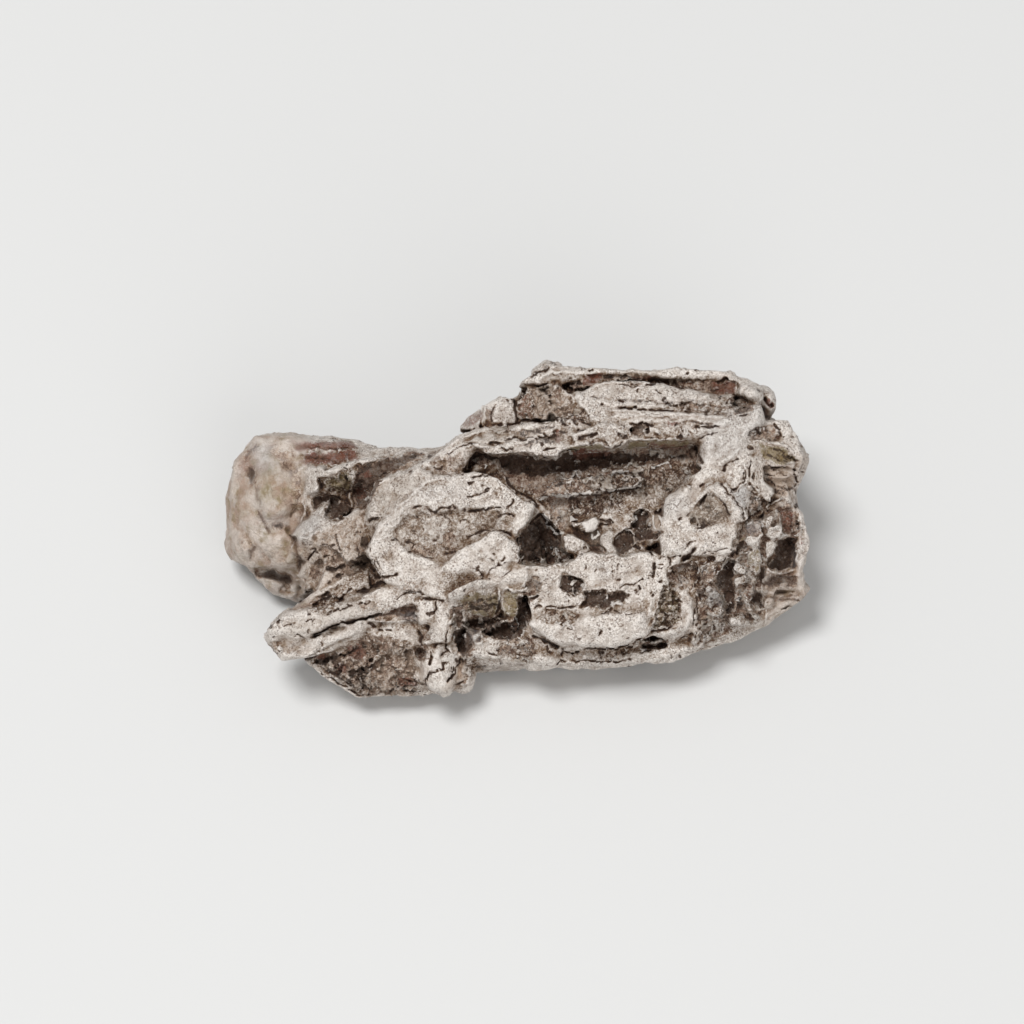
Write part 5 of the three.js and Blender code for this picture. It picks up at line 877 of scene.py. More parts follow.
rightEnd = {
    "streaks": [
        (0.12, -22, 0.2, (14.4, 5.2, 16.4, 5, 17.3, 4.1, 16.6, 3.6, 15, 3.9)),
        (0.1, -14, 0.18, (15, 3.9, 17.1, 3.6, 17, 2.4, 15.8, 1.9, 15.2, 3)),
        (0.08, 2, 0.16, (14.9, -2.7, 17.2, -2.6, 17.3, -3.6, 15.2, -3.6)),
        (0.08, 12, 0.25, (15, -4.1, 17.9, -3.9, 17, -4.9, 15, -6)),
    ],
    "facet": [
        (-0.45, 0.1, (14.15, 5.85, 14.5, 6.25, 15.5, 6.4, 15.8, 6, 16.2, 5.5, 15.8, 5.42, 15, 5.45, 14.35, 5.45)),
        (0.08, 0.15, (15.7, 6.6, 16.5, 6.5, 17.1, 5.9, 17.3, 5.2, 16.4, 5.2, 16.3, 5.5, 15.9, 6.1)),
        (-1, 0.15, (15.8, -0.6, 16.8, -0.5, 17, -1.5, 17, -2.3, 16, -2.5, 15.5, -2.4, 15.3, -2.1, 15.6, -1.4)),
        (-0.35, 0.15, (16, 1.2, 16.8, 1.3, 17.2, 0.6, 17.1, -0.3, 16.3, -0.3, 16, 0.2)),
        (-0.3, 0.12, (15.4, -2.95, 16.4, -3, 17.1, -2.9, 17, -3.4, 15.6, -3.5)),
    ],
    "ridge": [
        (0.25, 0.15, (17.5, -2.2, 17.7, -0.6, 17.5, 0.6, 17, 1.6)),
        (0.14, 0.3, (15.2, -2.2, 15.4, -2.6, 15.9, -2.75, 16.5, -2.7, 17.1, -2.45)),
        (0.1, 0.2, (15.7, -3, 16.4, -2.95, 16.9, -3.05)),
        (0.25, 0.15, (15, -3.8, 16, -3.95, 16.8, -3.95, 17.2, -3.85)),
        (0.14, 0.2, (17, -1.1, 17.1, -1.6, 17.1, -2.1)), (0.15, 0.15, (15, -5.7, 16, -5.1, 17.3, -4.5)),
        (0.12, 0.15, (15.1, 5.3, 16, 5.2, 16.9, 4.6)),
    ],
    "crack": [
        (0.1, 0.3, (16.8, 3.75, 16.85, 3.4, 17, 3, 17.15, 2.75)),
        (0.07, 0.15, (15, 4.9, 15.9, 4.8, 16.6, 4.4, 17.1, 3.9)), (0.07, 0.15, (15, 4.6, 15.8, 4.3, 16.8, 4.05)),
        (0.08, 0.15, (15, 4, 15.8, 3.75, 16.7, 3.75)), (0.07, 0.15, (15.1, 3.4, 16, 3.4, 16.7, 3.35)),
        (0.08, 0.2, (15.1, 3.1, 15.5, 2.95, 15.7, 2.6, 15.75, 2.1)), (0.06, 0.12, (16.4, 2.5, 16.6, 2.5)),
        (0.06, 0.12, (17, 3.5, 17.5, 3.5)), (0.1, 0.25, (15.6, 6.4, 15.9, 6, 16.3, 5.5)),
        (0.1, 0.3, (14.4, 6.2, 14.7, 6, 14.9, 5.7)), (0.07, 0.15, (17.2, 6, 17.3, 5.6)),
        (0.1, 0.25, (17.1, 0.6, 17.2, 0.2, 17.1, -0.1)), (0.1, 0.2, (15.9, -4.2, 16.6, -4.35, 17.3, -4.3)),
        (0.08, 0.2, (16.1, -4.9, 16.8, -4.7)),
    ],
    "bowl": [(0.12, 16.5, 0.5, 0.3, 0.3), (-0.12, 15.3, 5.9, 0.3, 0.15), (-0.15, 16.6, 0, 0.3, 0.15)],
    "calm": [(0.5, 0.8, (15, -2.6, 18.5, -1, 18.5, -6, 14.4, -6.6))],
    "brown": [
        (0.7, 0.12, (14.15, 5.85, 14.5, 6.25, 15.5, 6.4, 16.2, 5.5, 15, 5.45, 14.35, 5.45)),
        (0.5, 0.2, (15, 3.7, 15.7, 3.4, 15.7, 2.6, 15, 3.1)),
        (0.35, 0.2, (14.8, 4.9, 15.8, 4.6, 16.6, 4.1, 15.2, 4.2)),
        (0.8, 0.2, (15.8, 1.4, 16.7, 1.6, 17.2, 0.9, 17.3, -0.3, 16.8, -0.5, 16.2, -0.3, 16.2, 0.3, 15.7, 0.9)),
        (0.5, 0.2, (15.4, 1.2, 16.4, 1.9, 16.9, 1.5, 16.6, 1.1, 15.7, 0.9)),
        (1, 0.12, (15.7, -0.5, 17, -0.5, 17, -1.1, 16.85, -2.4, 15.6, -2.55, 15.35, -2.2, 15.7, -1.6)),
        (0.9, 0.12, (14.8, -2.5, 15.2, -2.7, 17.1, -2.85, 17.1, -3.4, 15.4, -3.6, 14.9, -3.4)),
    ],
    "olive": [(0.85, 0.25, (14.6, 5.1, 16.2, 4.9, 17.1, 4.1, 16.4, 3.9, 15.2, 4.2))],
    "tan": [
        (0.8, 0.25, (15, 4, 16.8, 3.8, 16.9, 3.2, 16.6, 2.2, 15.8, 2, 15.6, 2.8, 15, 3.2)),
        (0.5, 0.3, (16.9, 4.4, 17.9, 4.8, 17.9, 3.2, 17.2, 2.8)), (0.7, 0.15, (15.8, -4.2, 17.3, -4.25, 16.4, -4.6)),
        (0.35, 0.3, (15, -3.6, 18.2, -3, 17.8, -4.6, 15, -6)),
    ],
    "rust": [
        (0.55, 0.3, (16, 1.2, 16.9, 1.2, 17, 0, 16.2, -0.2)),
        (0.5, 0.25, (17.05, -0.3, 17.5, -0.4, 17.5, -1.6, 17.2, -1.4)),
    ],
    "blue": [(0.35, 0.15, (16.85, -1.1, 17.2, -1.1, 17.2, -2.3, 16.85, -2.4))],
}

crumblingCorner = {
    "facet": [
        (-0.45, 0.12, (11, -2.3, 12.4, -2, 13.1, -1.4, 13.2, -0.8, 13.9, -0.5, 14, 0.5, 14.9, 0.6, 15.5, 1, 16, 0.9,
         16.2, -0.4, 15.5, -0.9, 15.2, -2.2, 15, -3.6, 15, -4.6, 14.6, -5.6, 13, -5.3, 12.6, -5.6, 11.1, -5.5,
         10.9, -4, 11.4, -3.3)),
        (-0.78, 0.12, (12.5, -2.6, 12.9, -1.8, 13.2, -1.9, 13.2, -3.6, 13.3, -5, 12.8, -5.1, 12.7, -4.2, 12.3, -3.6,
         12.1, -3.2)), (-0.4, 0.15, (14.5, -3.7, 15, -3.9, 15, -4.7, 14.7, -4.9, 14.4, -4.5)),
        (-0.39, 0.1, (14.7, -2.5, 15.1, -2.6, 15.3, -3.6, 14.9, -3.5)),
        (-0.33, 0.08, (13.2, -0.9, 13.9, -0.9, 13.8, -1.4, 13.2, -1.5)),
        (-0.45, 0.1, (9.35, -2.5, 9.9, -2.15, 10.5, -2, 10.9, -2.1, 10.9, -2.45, 10.4, -2.65, 9.9, -2.6)),
        (-0.16, 0.1, (9.15, -2.7, 9.8, -2.65, 10.1, -3, 10.7, -3.5, 10.2, -3.5, 9.3, -3.2)),
        (0.5, 0.07, (15.05, 0.25, 15.2, 0.65, 15.45, 0.8, 15.62, 0.7, 15.6, 0.45, 15.35, 0.15, 15.1, 0.05)),
        (0.64, 0.08, (15.1, -0.1, 15.45, 0.1, 15.9, 0.2, 16.15, 0.15, 16.15, -0.15, 15.9, -0.45, 15.5, -0.58,
         15.15, -0.4)),
        (0.64, 0.08, (13.9, -0.5, 14.1, -0.35, 14.5, -0.4, 14.9, -0.2, 14.96, -0.55, 14.8, -0.95, 14.4, -1.25,
         14.1, -1.1, 13.85, -0.75)), (0.22, 0.08, (14, 0.4, 14.8, 0.5, 15, 0.2, 14.8, -0.15, 14.4, -0.35, 14, -0.2)),
        (0.57, 0.08, (14.05, -1.5, 14.4, -1.1, 14.7, -1.15, 14.93, -1.7, 14.93, -2.2, 14.75, -2.7, 14.6, -2.9,
         14.2, -2.6, 14, -2.1)),
        (0.71, 0.07, (13.1, -2.1, 13.5, -2.1, 13.9, -2.2, 14.05, -2.45, 13.9, -2.7, 13.5, -2.65, 13.2, -2.55)),
        (0.64, 0.07, (13.2, -3.3, 13.4, -2.95, 13.75, -2.8, 14.05, -2.9, 14, -3.2, 13.6, -3.4, 13.35, -3.6)),
        (0.5, 0.08, (13.85, -3.7, 14, -3.35, 14.35, -3.3, 14.55, -3.6, 14.5, -4.1, 14.2, -4.4, 13.9, -4.2)),
        (0.57, 0.08, (13.9, -4.3, 14.2, -4.6, 14.6, -5.1, 14.7, -5.5, 14.5, -5.6, 14.2, -5.3, 13.9, -4.8)),
        (0.57, 0.08, (15.05, -4.4, 15.3, -4.1, 15.6, -4.2, 15.6, -4.6, 15.3, -4.85, 15.05, -4.8)),
        (0.64, 0.06, (11.5, -3.5, 11.7, -3.35, 11.85, -3.5, 11.75, -3.95, 11.55, -3.95)),
        (0.29, 0.08, (11.6, -3.8, 11.8, -3.5, 12.3, -3.9, 12.65, -4.3, 12.6, -4.8, 12.3, -4.7, 12, -4.9, 11.6, -4.7)),
        (0.57, 0.06, (11, -4.4, 11.3, -4.3, 11.55, -4.5, 11.4, -4.85, 11.05, -4.8)),
        (0.64, 0.06, (11.5, -4.95, 11.75, -4.85, 11.9, -5.1, 12.2, -4.9, 12.5, -4.6, 12.6, -4.75, 12.4, -5.3,
         11.9, -5.35, 11.6, -5.3)),
        (0.64, 0.08, (12.85, -5.45, 13.2, -5.25, 13.8, -5.2, 14.15, -5.5, 14.1, -5.85, 13.5, -5.9, 13, -5.8)),
        (0.25, 0.08, (10.6, -6.9, 10.7, -6.3, 10.95, -6.05, 11.3, -6.3, 11.5, -6.7, 11.4, -7.1, 11.1, -7.2,
         10.8, -7.1)), (0.5, 0.08, (15.15, -0.75, 15.5, -0.65, 15.75, -0.9, 15.6, -1.5, 15.3, -1.75, 15.1, -1.3)),
    ],
    "bowl": [
        (0.12, 15.6, -0.2, 0.35, 0.2), (-0.15, 14.2, -3.75, 0.3, 0.4), (-0.12, 13.5, -5.55, 0.5, 0.25),
        (-0.12, 14.4, -0.75, 0.4, 0.3), (-0.15, 14.5, -2, 0.35, 0.6), (-0.12, 12.1, -6, 0.25, 0.15),
        (-0.12, 11.9, -5.7, 0.15, 0.2), (-0.12, 12.6, -6.2, 0.15, 0.15), (-0.12, 10.3, -3.2, 0.2, 0.3, 20),
        (-0.12, 11.5, -2.7, 0.2, 0.2), (-0.12, 11.9, -2.9, 0.15, 0.2), (-0.15, 11.7, -3.1, 0.15, 0.15),
    ],
    "ridge": [
        (0.09, 0.3, (13.9, -2.5, 14.3, -3, 14.6, -3.2, 14.85, -3.45)),
        (0.08, 0.3, (13.75, -3.7, 13.55, -4.1, 13.5, -4.7)),
        (0.08, 0.2, (13.95, -4.3, 14.2, -4.7, 14.3, -5, 14.6, -5.4)), (0.1, 0.2, (15.2, -4.9, 15.15, -5.4, 15, -5.8)),
        (0.1, 0.3, (10.85, -3.3, 10.95, -2.8, 11.2, -2.3, 11.6, -2.05, 12, -2.1)),
        (0.1, 0.3, (12, -3.1, 12.5, -2.5, 12.9, -1.9, 13.1, -1.6)),
        (0.08, 0.3, (13.35, -1.75, 13.7, -1.5, 14.1, -1.3)),
        (0.08, 0.12, (10.65, -6.8, 10.75, -6.3, 10.95, -6.1, 11.3, -6.4, 11.5, -6.8)),
        (0.07, 0.1, (10.95, -6.15, 11, -6.6, 11.1, -7.1)), (0.08, 0.15, (10, -2.65, 10.4, -3.1, 10.8, -3.7)),
        (0.08, 0.15, (10.9, -2.7, 10.8, -3.4, 10.7, -3.9)), (0.1, 0.15, (14.85, -3.2, 15, -3.7, 15, -4.1)),
        (0.1, 0.15, (12.9, -4.4, 13.2, -4.9, 13, -5.2)), (0.08, 0.2, (13.1, -2, 13.3, -1.8, 13.4, -2.05)),
    ],
    "flake": [
        (0.06, 0.1, (13.25, -3.3, 13.45, -3, 13.75, -2.85, 14, -2.95)),
        (0.06, 0.1, (15.15, -0.15, 15.5, 0.05, 15.95, 0.15)), (0.06, 0.1, (12.1, -3, 12.5, -2.45, 12.9, -1.85)),
        (0.06, 0.1, (10.95, -2.9, 11.15, -2.4, 11.5, -2.1)), (0.06, 0.1, (11.2, -2.7, 11.5, -2.5, 11.7, -2.7)),
        (0.06, 0.1, (11.9, -2.35, 12.1, -2.6, 12, -2.9)), (0.06, 0.1, (11.4, -3.1, 11.7, -3.2)),
        (0.06, 0.1, (13.5, -4, 13.55, -4.6)), (0.06, 0.1, (14.85, -3.3, 14.95, -3.9)),
    ],
    "crack": [
        (0.06, 0.2, (10.9, -3.9, 10.88, -4.8, 10.85, -5.9)), (0.06, 0.12, (11.2, -2.9, 11.4, -2.5, 11.7, -2.2)),
        (0.05, 0.1, (9.4, -2.8, 9.7, -3.1, 9.6, -3.3)), (0.05, 0.1, (9.7, -2.75, 10, -3.1, 10.1, -3.4)),
        (0.05, 0.1, (10.9, -6.3, 10.9, -6.8)), (0.05, 0.1, (11.15, -6.4, 11.25, -6.9)),
        (0.05, 0.1, (14.2, -4.8, 14.45, -5.3)), (0.06, 0.15, (9.9, -6.7, 10.4, -6.5, 10.7, -6.3)),
        (0.05, 0.1, (11.9, -5.5, 12, -6, 11.8, -6.4)), (0.05, 0.1, (12.3, -5.5, 12.5, -6, 12.4, -6.4)),
    ],
    "grainy": [
        (0.5, 0.3, (9.2, -2.6, 11, -2.4, 13, -1.6, 15, -1, 15, -5.6, 13, -6.6, 11.2, -6.9, 10.9, -4, 9.8, -3.5)),
    ],
    "brown": [
        (0.75, 0.15, (11.3, -3.3, 12.4, -2.1, 13.1, -1.4, 13.2, -0.8, 14, 0.5, 14.9, 0.6, 15.5, 1, 16, 0.9,
         16.2, -0.4, 15.5, -0.9, 15.2, -2.2, 15.2, -3.6, 15, -4.6, 14.6, -5.3, 13, -5.2, 12.6, -5.5, 11.1, -5.5,
         10.9, -4)),
        (1, 0.12, (12.2, -3, 12.5, -2.5, 12.9, -1.8, 13.2, -1.9, 13.2, -3.6, 13.3, -5.2, 12.8, -5.2, 12.7, -4.2,
         12.3, -3.6)), (0.9, 0.15, (14.5, -3.6, 15, -3.9, 15, -4.7, 14.7, -4.9, 14.3, -4.4)),
        (0.7, 0.15, (11.6, -5.3, 12.7, -5.4, 13, -5.9, 12.9, -6.4, 11.9, -6.7, 11.4, -6.2)),
        (0.95, 0.1, (9.35, -2.5, 9.9, -2.15, 10.5, -2, 10.9, -2.1, 10.9, -2.45, 9.9, -2.6)),
        (0.6, 0.15, (9.15, -2.7, 9.8, -2.65, 10.7, -3, 10.7, -3.7, 10, -3.5, 9.3, -3.2)),
        (0.7, 0.15, (11, -2.8, 11.3, -2.3, 12.3, -2.3, 12.1, -3, 11.4, -3.5)),
        (0.35, 0.1, (10.65, -6.9, 10.7, -6.3, 10.95, -6.05, 11.5, -6.7, 11.1, -7.2)),
        (1, 0.12, (13.2, -0.8, 13.9, -0.7, 13.9, -1.2, 13.4, -1.6, 13.1, -1.4)),
        (1, 0.1, (14.9, -2.2, 15.2, -2.4, 15.2, -3.6, 14.8, -3.3, 14.75, -2.8)),
        (1, 0.12, (14.3, -3.5, 15, -3.8, 15, -4.6, 14.6, -4.6, 14.2, -4.4)),
        (1, 0.1, (10.95, -3.6, 11.5, -3.5, 11.6, -4.2, 11, -4.3)),
        (1, 0.08, (14.8, 0.1, 15.05, 0.3, 15.1, -0.5, 14.9, -0.4)),
        (1, 0.1, (13.3, -4.3, 13.8, -3.9, 13.8, -5, 13.3, -5.1)),
        (0.55, 0.1, (11.6, -3.8, 11.8, -3.5, 12.3, -3.9, 12.65, -4.3, 12.6, -4.8, 11.6, -4.7)),
        (0.5, 0.1, (14, 0.4, 14.8, 0.5, 15, 0.2, 14.8, -0.15, 14.4, -0.35, 14, -0.2)),
    ],
    "clean": [
        (1, 0.06, (15.05, 0.25, 15.2, 0.65, 15.45, 0.8, 15.62, 0.7, 15.6, 0.45, 15.1, 0.05)),
        (1, 0.06, (15.1, -0.1, 15.9, 0.2, 16.15, 0.15, 16.15, -0.15, 15.9, -0.45, 15.5, -0.58, 15.15, -0.4)),
        (1, 0.06, (13.9, -0.5, 14.5, -0.4, 14.9, -0.2, 14.96, -0.55, 14.8, -0.95, 14.4, -1.25, 13.85, -0.75)),
        (1, 0.06, (14.05, -1.5, 14.4, -1.1, 14.7, -1.15, 14.93, -1.7, 14.93, -2.2, 14.6, -2.9, 14.2, -2.6, 14, -2.1)),
        (1, 0.06, (13.1, -2.1, 13.5, -2.1, 13.9, -2.2, 14.6, -3, 14.8, -3.4, 13.9, -2.7, 13.2, -2.55)),
        (1, 0.06, (13.2, -3.3, 13.4, -2.95, 14.05, -2.9, 14, -3.2, 13.35, -3.6)),
        (0.8, 0.06, (13.9, -4.3, 14.2, -4.6, 14.7, -5.5, 14.5, -5.6, 13.9, -4.8)),
        (0.9, 0.06, (15.05, -4.4, 15.3, -4.1, 15.6, -4.2, 15.6, -4.6, 15.3, -4.85, 15.05, -4.8)),
        (1, 0.05, (11.5, -3.5, 11.7, -3.35, 11.85, -3.5, 11.75, -3.95, 11.55, -3.95)),
        (1, 0.05, (11, -4.4, 11.3, -4.3, 11.55, -4.5, 11.4, -4.85, 11.05, -4.8)),
        (1, 0.05, (11.5, -4.95, 11.9, -5.1, 12.5, -4.6, 12.6, -4.75, 12.4, -5.3, 11.6, -5.3)),
        (1, 0.06, (12.85, -5.45, 13.8, -5.2, 14.15, -5.5, 14.1, -5.85, 13.5, -5.9, 13, -5.8)),
        (0.9, 0.06, (15.15, -0.75, 15.5, -0.65, 15.75, -0.9, 15.6, -1.5, 15.3, -1.75)),
        (1, 0.05, (13.3, -1.8, 13.7, -1.55, 14.1, -1.4, 14.1, -1.2, 13.6, -1.4)),
    ],
    "blue": [
        (0.7, 0.1, (11.6, -3.8, 11.8, -3.5, 12.3, -3.9, 12.65, -4.3, 12.6, -4.8, 11.6, -4.7)),
        (0.7, 0.1, (14, 0.4, 14.8, 0.5, 15, 0.2, 14.8, -0.15, 14.4, -0.35, 14, -0.2)),
    ],
    "olive": [
        (0.45, 0.1, (14.05, -1.5, 14.7, -1.15, 14.93, -2.2, 14.6, -2.9, 14, -2.1)),
        (0.6, 0.1, (13.1, -0.9, 13.5, -0.4, 13.9, -0.5, 13.8, -1)),
    ],
    "rust": [(0.4, 0.1, (13.85, -3.7, 14, -3.35, 14.35, -3.3, 14.55, -3.6, 14.5, -4.1, 13.9, -4.2))],
}

shelf = {
    "facet": [
        (-0.4, 0.1, (2.75, -2.75, 2.65, -3.3, 2.6, -3.6, 3, -3.8, 3.2, -4, 3.6, -4, 3.95, -3.7, 4.1, -3.3, 4.1, -3.1,
         3.7, -3.1, 3.3, -3.2, 3.1, -3, 3.2, -2.8)),
        (-0.55, 0.12, (4.05, -3.75, 4.6, -3.95, 5.2, -3.7, 5.9, -3.95, 6.3, -3.85, 6.9, -4.1, 6.5, -4.3, 6.5, -4.7,
         6.1, -4.35, 5.7, -4.5, 5.4, -4.9, 4.7, -4.6, 3.8, -4.85, 4.1, -4.3)),
        (-0.2, 0.12, (0.75, -3.05, 1.3, -3.05, 1.55, -3.4, 1.4, -3.65, 0.9, -3.75, 0.65, -3.6)),
        (-0.25, 0.12, (8.95, -3.55, 9.6, -3.65, 9.95, -4.2, 9.95, -5.6, 9.6, -5.9, 9.1, -6, 8.2, -6.05, 8.55, -5.2,
         8.85, -4.2)), (-0.4, 0.08, (7.7, -6.72, 9.15, -6.78, 9.25, -6.92, 8.8, -7, 8.1, -7, 7.4, -7.05)),
        (-0.25, 0.1, (1.9, -7.05, 2.6, -7.1, 2.3, -7.4)),
    ],
    "slab": [
        (-0.12, 0.15, (1.3, -4.9, 2.4, -4.9, 3.6, -5.1, 3.3, -5.8, 1.8, -5.9, 1.4, -5.4)),
        (-0.15, 0.08, (5.35, -7.6, 5.8, -7.55, 6.2, -7.85, 5.9, -8, 5.4, -7.9)),
    ],
    "ridge": [
        (0.15, 0.12, (0.2, -2.2, 0.8, -2.35, 1.2, -2.25, 2, -2.15, 2.4, -2.15, 3, -2.05, 3.4, -1.8, 3.8, -1.55,
         4.4, -1.55, 5.2, -1.65, 5.9, -1.55, 6.5, -1.75, 7.2, -1.65, 7.9, -1.35)),
        (0.12, 0.1, (8.95, -3, 8.75, -4.1, 8.4, -5.2, 8.1, -6)),
        (0.3, 0.12, (0.95, -5.2, 0.85, -5.8, 1.1, -6.3, 1.6, -6.55)),
        (0.25, 0.12, (10.2, -3.6, 10.5, -4.2, 10.5, -5.2, 10.3, -5.9, 9.7, -6.25, 8.7, -6.4)),
        (0.2, 0.15, (2.4, -8.2, 5, -8.2, 7.6, -8.1, 9.4, -7.9)), (0.1, 0.15, (5.5, -4.25, 5.25, -4.45, 5.3, -4.75)),
    ],
    "flake": [
        (0.08, 0.12, (3, -3.5, 3.15, -3.35, 3.35, -3.25)),
        (0.12, 0.2, (5.55, -4.6, 5.8, -4.45, 6.1, -4.6, 6.35, -4.75)), (0.1, 0.15, (0.7, -3.9, 1, -3.95, 1.2, -3.85)),
        (0.06, 0.12, (1, -3.4, 1.2, -3.5)), (0.08, 0.15, (7.5, -7.3, 7.7, -7.45, 7.9, -7.35)),
    ],
    "crack": [
        (0.1, 0.25, (8.5, -2, 8.4, -2.4, 8.2, -2.8, 8.05, -2.95)),
        (0.06, 0.18, (8.05, -2.95, 7.6, -3.15, 7.2, -3.35, 6.6, -3.42, 6.3, -3.6, 6.3, -3.85)),
        (0.08, 0.15, (7.45, -3.4, 7.45, -3.75)), (0.08, 0.15, (7.2, -3.85, 7.4, -4)),
        (0.09, 0.2, (0.9, -4.9, 1.3, -4.8, 2, -4.7, 2.7, -4.85, 3.3, -4.85, 3.9, -4.7)),
        (0.06, 0.12, (5.8, -4.95, 6.3, -5.1, 7.1, -5.15)), (0.07, 0.15, (3.05, -4.35, 3.15, -4.2)),
        (0.13, 0.3, (0.95, -6.45, 1.4, -6.75, 1.9, -6.95, 2.6, -7.15)),
        (0.08, 0.2, (2.8, -7.45, 3.4, -7.5, 3.9, -7.48)),
        (0.08, 0.2, (3.9, -7.33, 5, -7.32, 6.3, -7.22, 7, -7.15, 7.6, -6.75)),
        (0.07, 0.15, (5.02, -7.35, 5.02, -7.9)), (0.06, 0.12, (6, -7.35, 6.05, -7.7)),
        (0.1, 0.2, (2.4, -8.2, 2.65, -8.05, 3.1, -8.1)), (0.06, 0.12, (3.1, -8, 4.5, -8.02, 6, -8.02, 7, -8)),
        (0.06, 0.1, (3.5, -6.6, 3.7, -6.75, 3.95, -6.75)), (0.07, 0.15, (1.8, -7.1, 1.85, -7.5, 2.2, -7.6)),
        (0.09, 0.2, (2.8, -7.1, 2.75, -7.5, 2.7, -7.9)), (0.07, 0.2, (8.75, -4.25, 9, -4.28, 9.3, -4.25)),
        (0.08, 0.2, (8.1, -6.15, 8.6, -6.15, 9.2, -6.05, 9.6, -5.95)), (0.06, 0.12, (7.5, -7.6, 8, -7.4, 8.3, -7.4)),
        (0.06, 0.12, (6.15, -2.1, 6.2, -2.4, 6.1, -2.6)), (0.07, 0.15, (0, -3.75, 0.3, -3.7, 0.5, -3.85)),
        (0.06, 0.12, (8.9, -2.3, 8.75, -2.6)),
    ],
    "bowl": [
        (0.25, 5, -4.6, 0.35, 0.25), (0.12, 2.2, -5.2, 0.3, 0.15), (0.12, 3.3, -5.5, 0.2, 0.25),
        (-0.25, 1.4, -7.9, 0.9, 0.5), (0.2, 0.5, -7, 0.3, 0.2), (-0.15, 9.3, -4.9, 0.4, 0.5),
        (-0.12, 9.3, -3.8, 0.25, 0.15), (-0.12, 0.8, -7.6, 0.3, 0.3), (0.15, 0.3, -6.5, 0.4, 0.15),
        (-0.1, 3.4, -3.6, 0.3, 0.2), (-0.12, 6.4, -3.65, 0.3, 0.15), (0.08, 5.2, -2.5, 0.4, 0.2),
        (-0.06, 2.3, -3.9, 0.5, 0.4), (-0.06, 6.8, -2.4, 0.7, 0.4), (0.05, 5.5, -5.6, 0.8, 0.3),
    ],
    "grainy": [
        (0.5, 0.2, (1.3, -4.9, 2.4, -4.9, 3.8, -5.1, 3.5, -5.9, 1.8, -5.9, 1.4, -5.4)),
        (0.9, 0.15, (8.95, -3.55, 9.6, -3.65, 9.95, -4.2, 9.95, -5.6, 9.6, -5.9, 8.2, -6.05, 8.85, -4.2)),
        (0.9, 0.2, (0, -6.5, 1, -6.6, 1.2, -7.5, 0.7, -8.2, 0, -8)),
    ],
    "brown": [
        (0.35, 0.2, (1.3, -4.8, 2.6, -4.8, 3.4, -5.2, 3.2, -5.8, 1.8, -5.7, 1.4, -5.3)),
        (0.85, 0.12, (0.75, -3.05, 1.3, -3.05, 1.6, -3.4, 1.4, -3.75, 0.9, -3.8, 0.6, -3.6)),
        (1, 0.12, (2.75, -2.75, 2.6, -3.6, 3, -3.85, 3.6, -4, 4.1, -3.4, 4.1, -3.1, 3.5, -3.1)),
        (1, 0.12, (4.05, -3.8, 5.8, -3.8, 6.8, -4, 6.4, -4.6, 5.9, -4.4, 5.4, -4.85, 4, -4.7)),
        (0.35, 0.15, (8.9, -3.5, 9.5, -3.6, 9.4, -4.2, 8.8, -4.2)),
        (0.35, 0.15, (8.4, -5.3, 9.9, -5.3, 9.7, -5.9, 8.2, -6.05)),
        (0.9, 0.08, (7.7, -6.7, 9.2, -6.75, 9.25, -6.95, 8.1, -7.05, 7.4, -7.1)),
        (0.6, 0.2, (0, -6.5, 1, -6.6, 1.2, -7.5, 0.7, -7.8, 0, -7.6)),
        (0.6, 0.12, (1, -6.5, 2.6, -7.1, 2.3, -7.4, 1.9, -7.1, 1.1, -6.7)),
        (0.6, 0.1, (5.35, -7.6, 5.8, -7.55, 6.2, -7.85, 5.9, -8, 5.4, -7.9)),
        (0.38, 0.15, (2.8, -7.45, 4.9, -7.4, 7, -7.25, 7, -7.9, 3, -8)),
        (0.4, 0.15, (7.4, -7.1, 8.6, -7.1, 8.4, -7.5, 7.5, -7.6)),
    ],
    "olive": [(0.42, 0.15, (8.95, -3.55, 9.6, -3.65, 9.95, -4.2, 9.95, -5.6, 9.6, -5.9, 8.2, -6.05, 8.85, -4.2))],
    "blue": [(0.3, 0.3, (4.8, -2.2, 5.6, -2.2, 5.6, -2.9, 4.8, -2.9))],
}

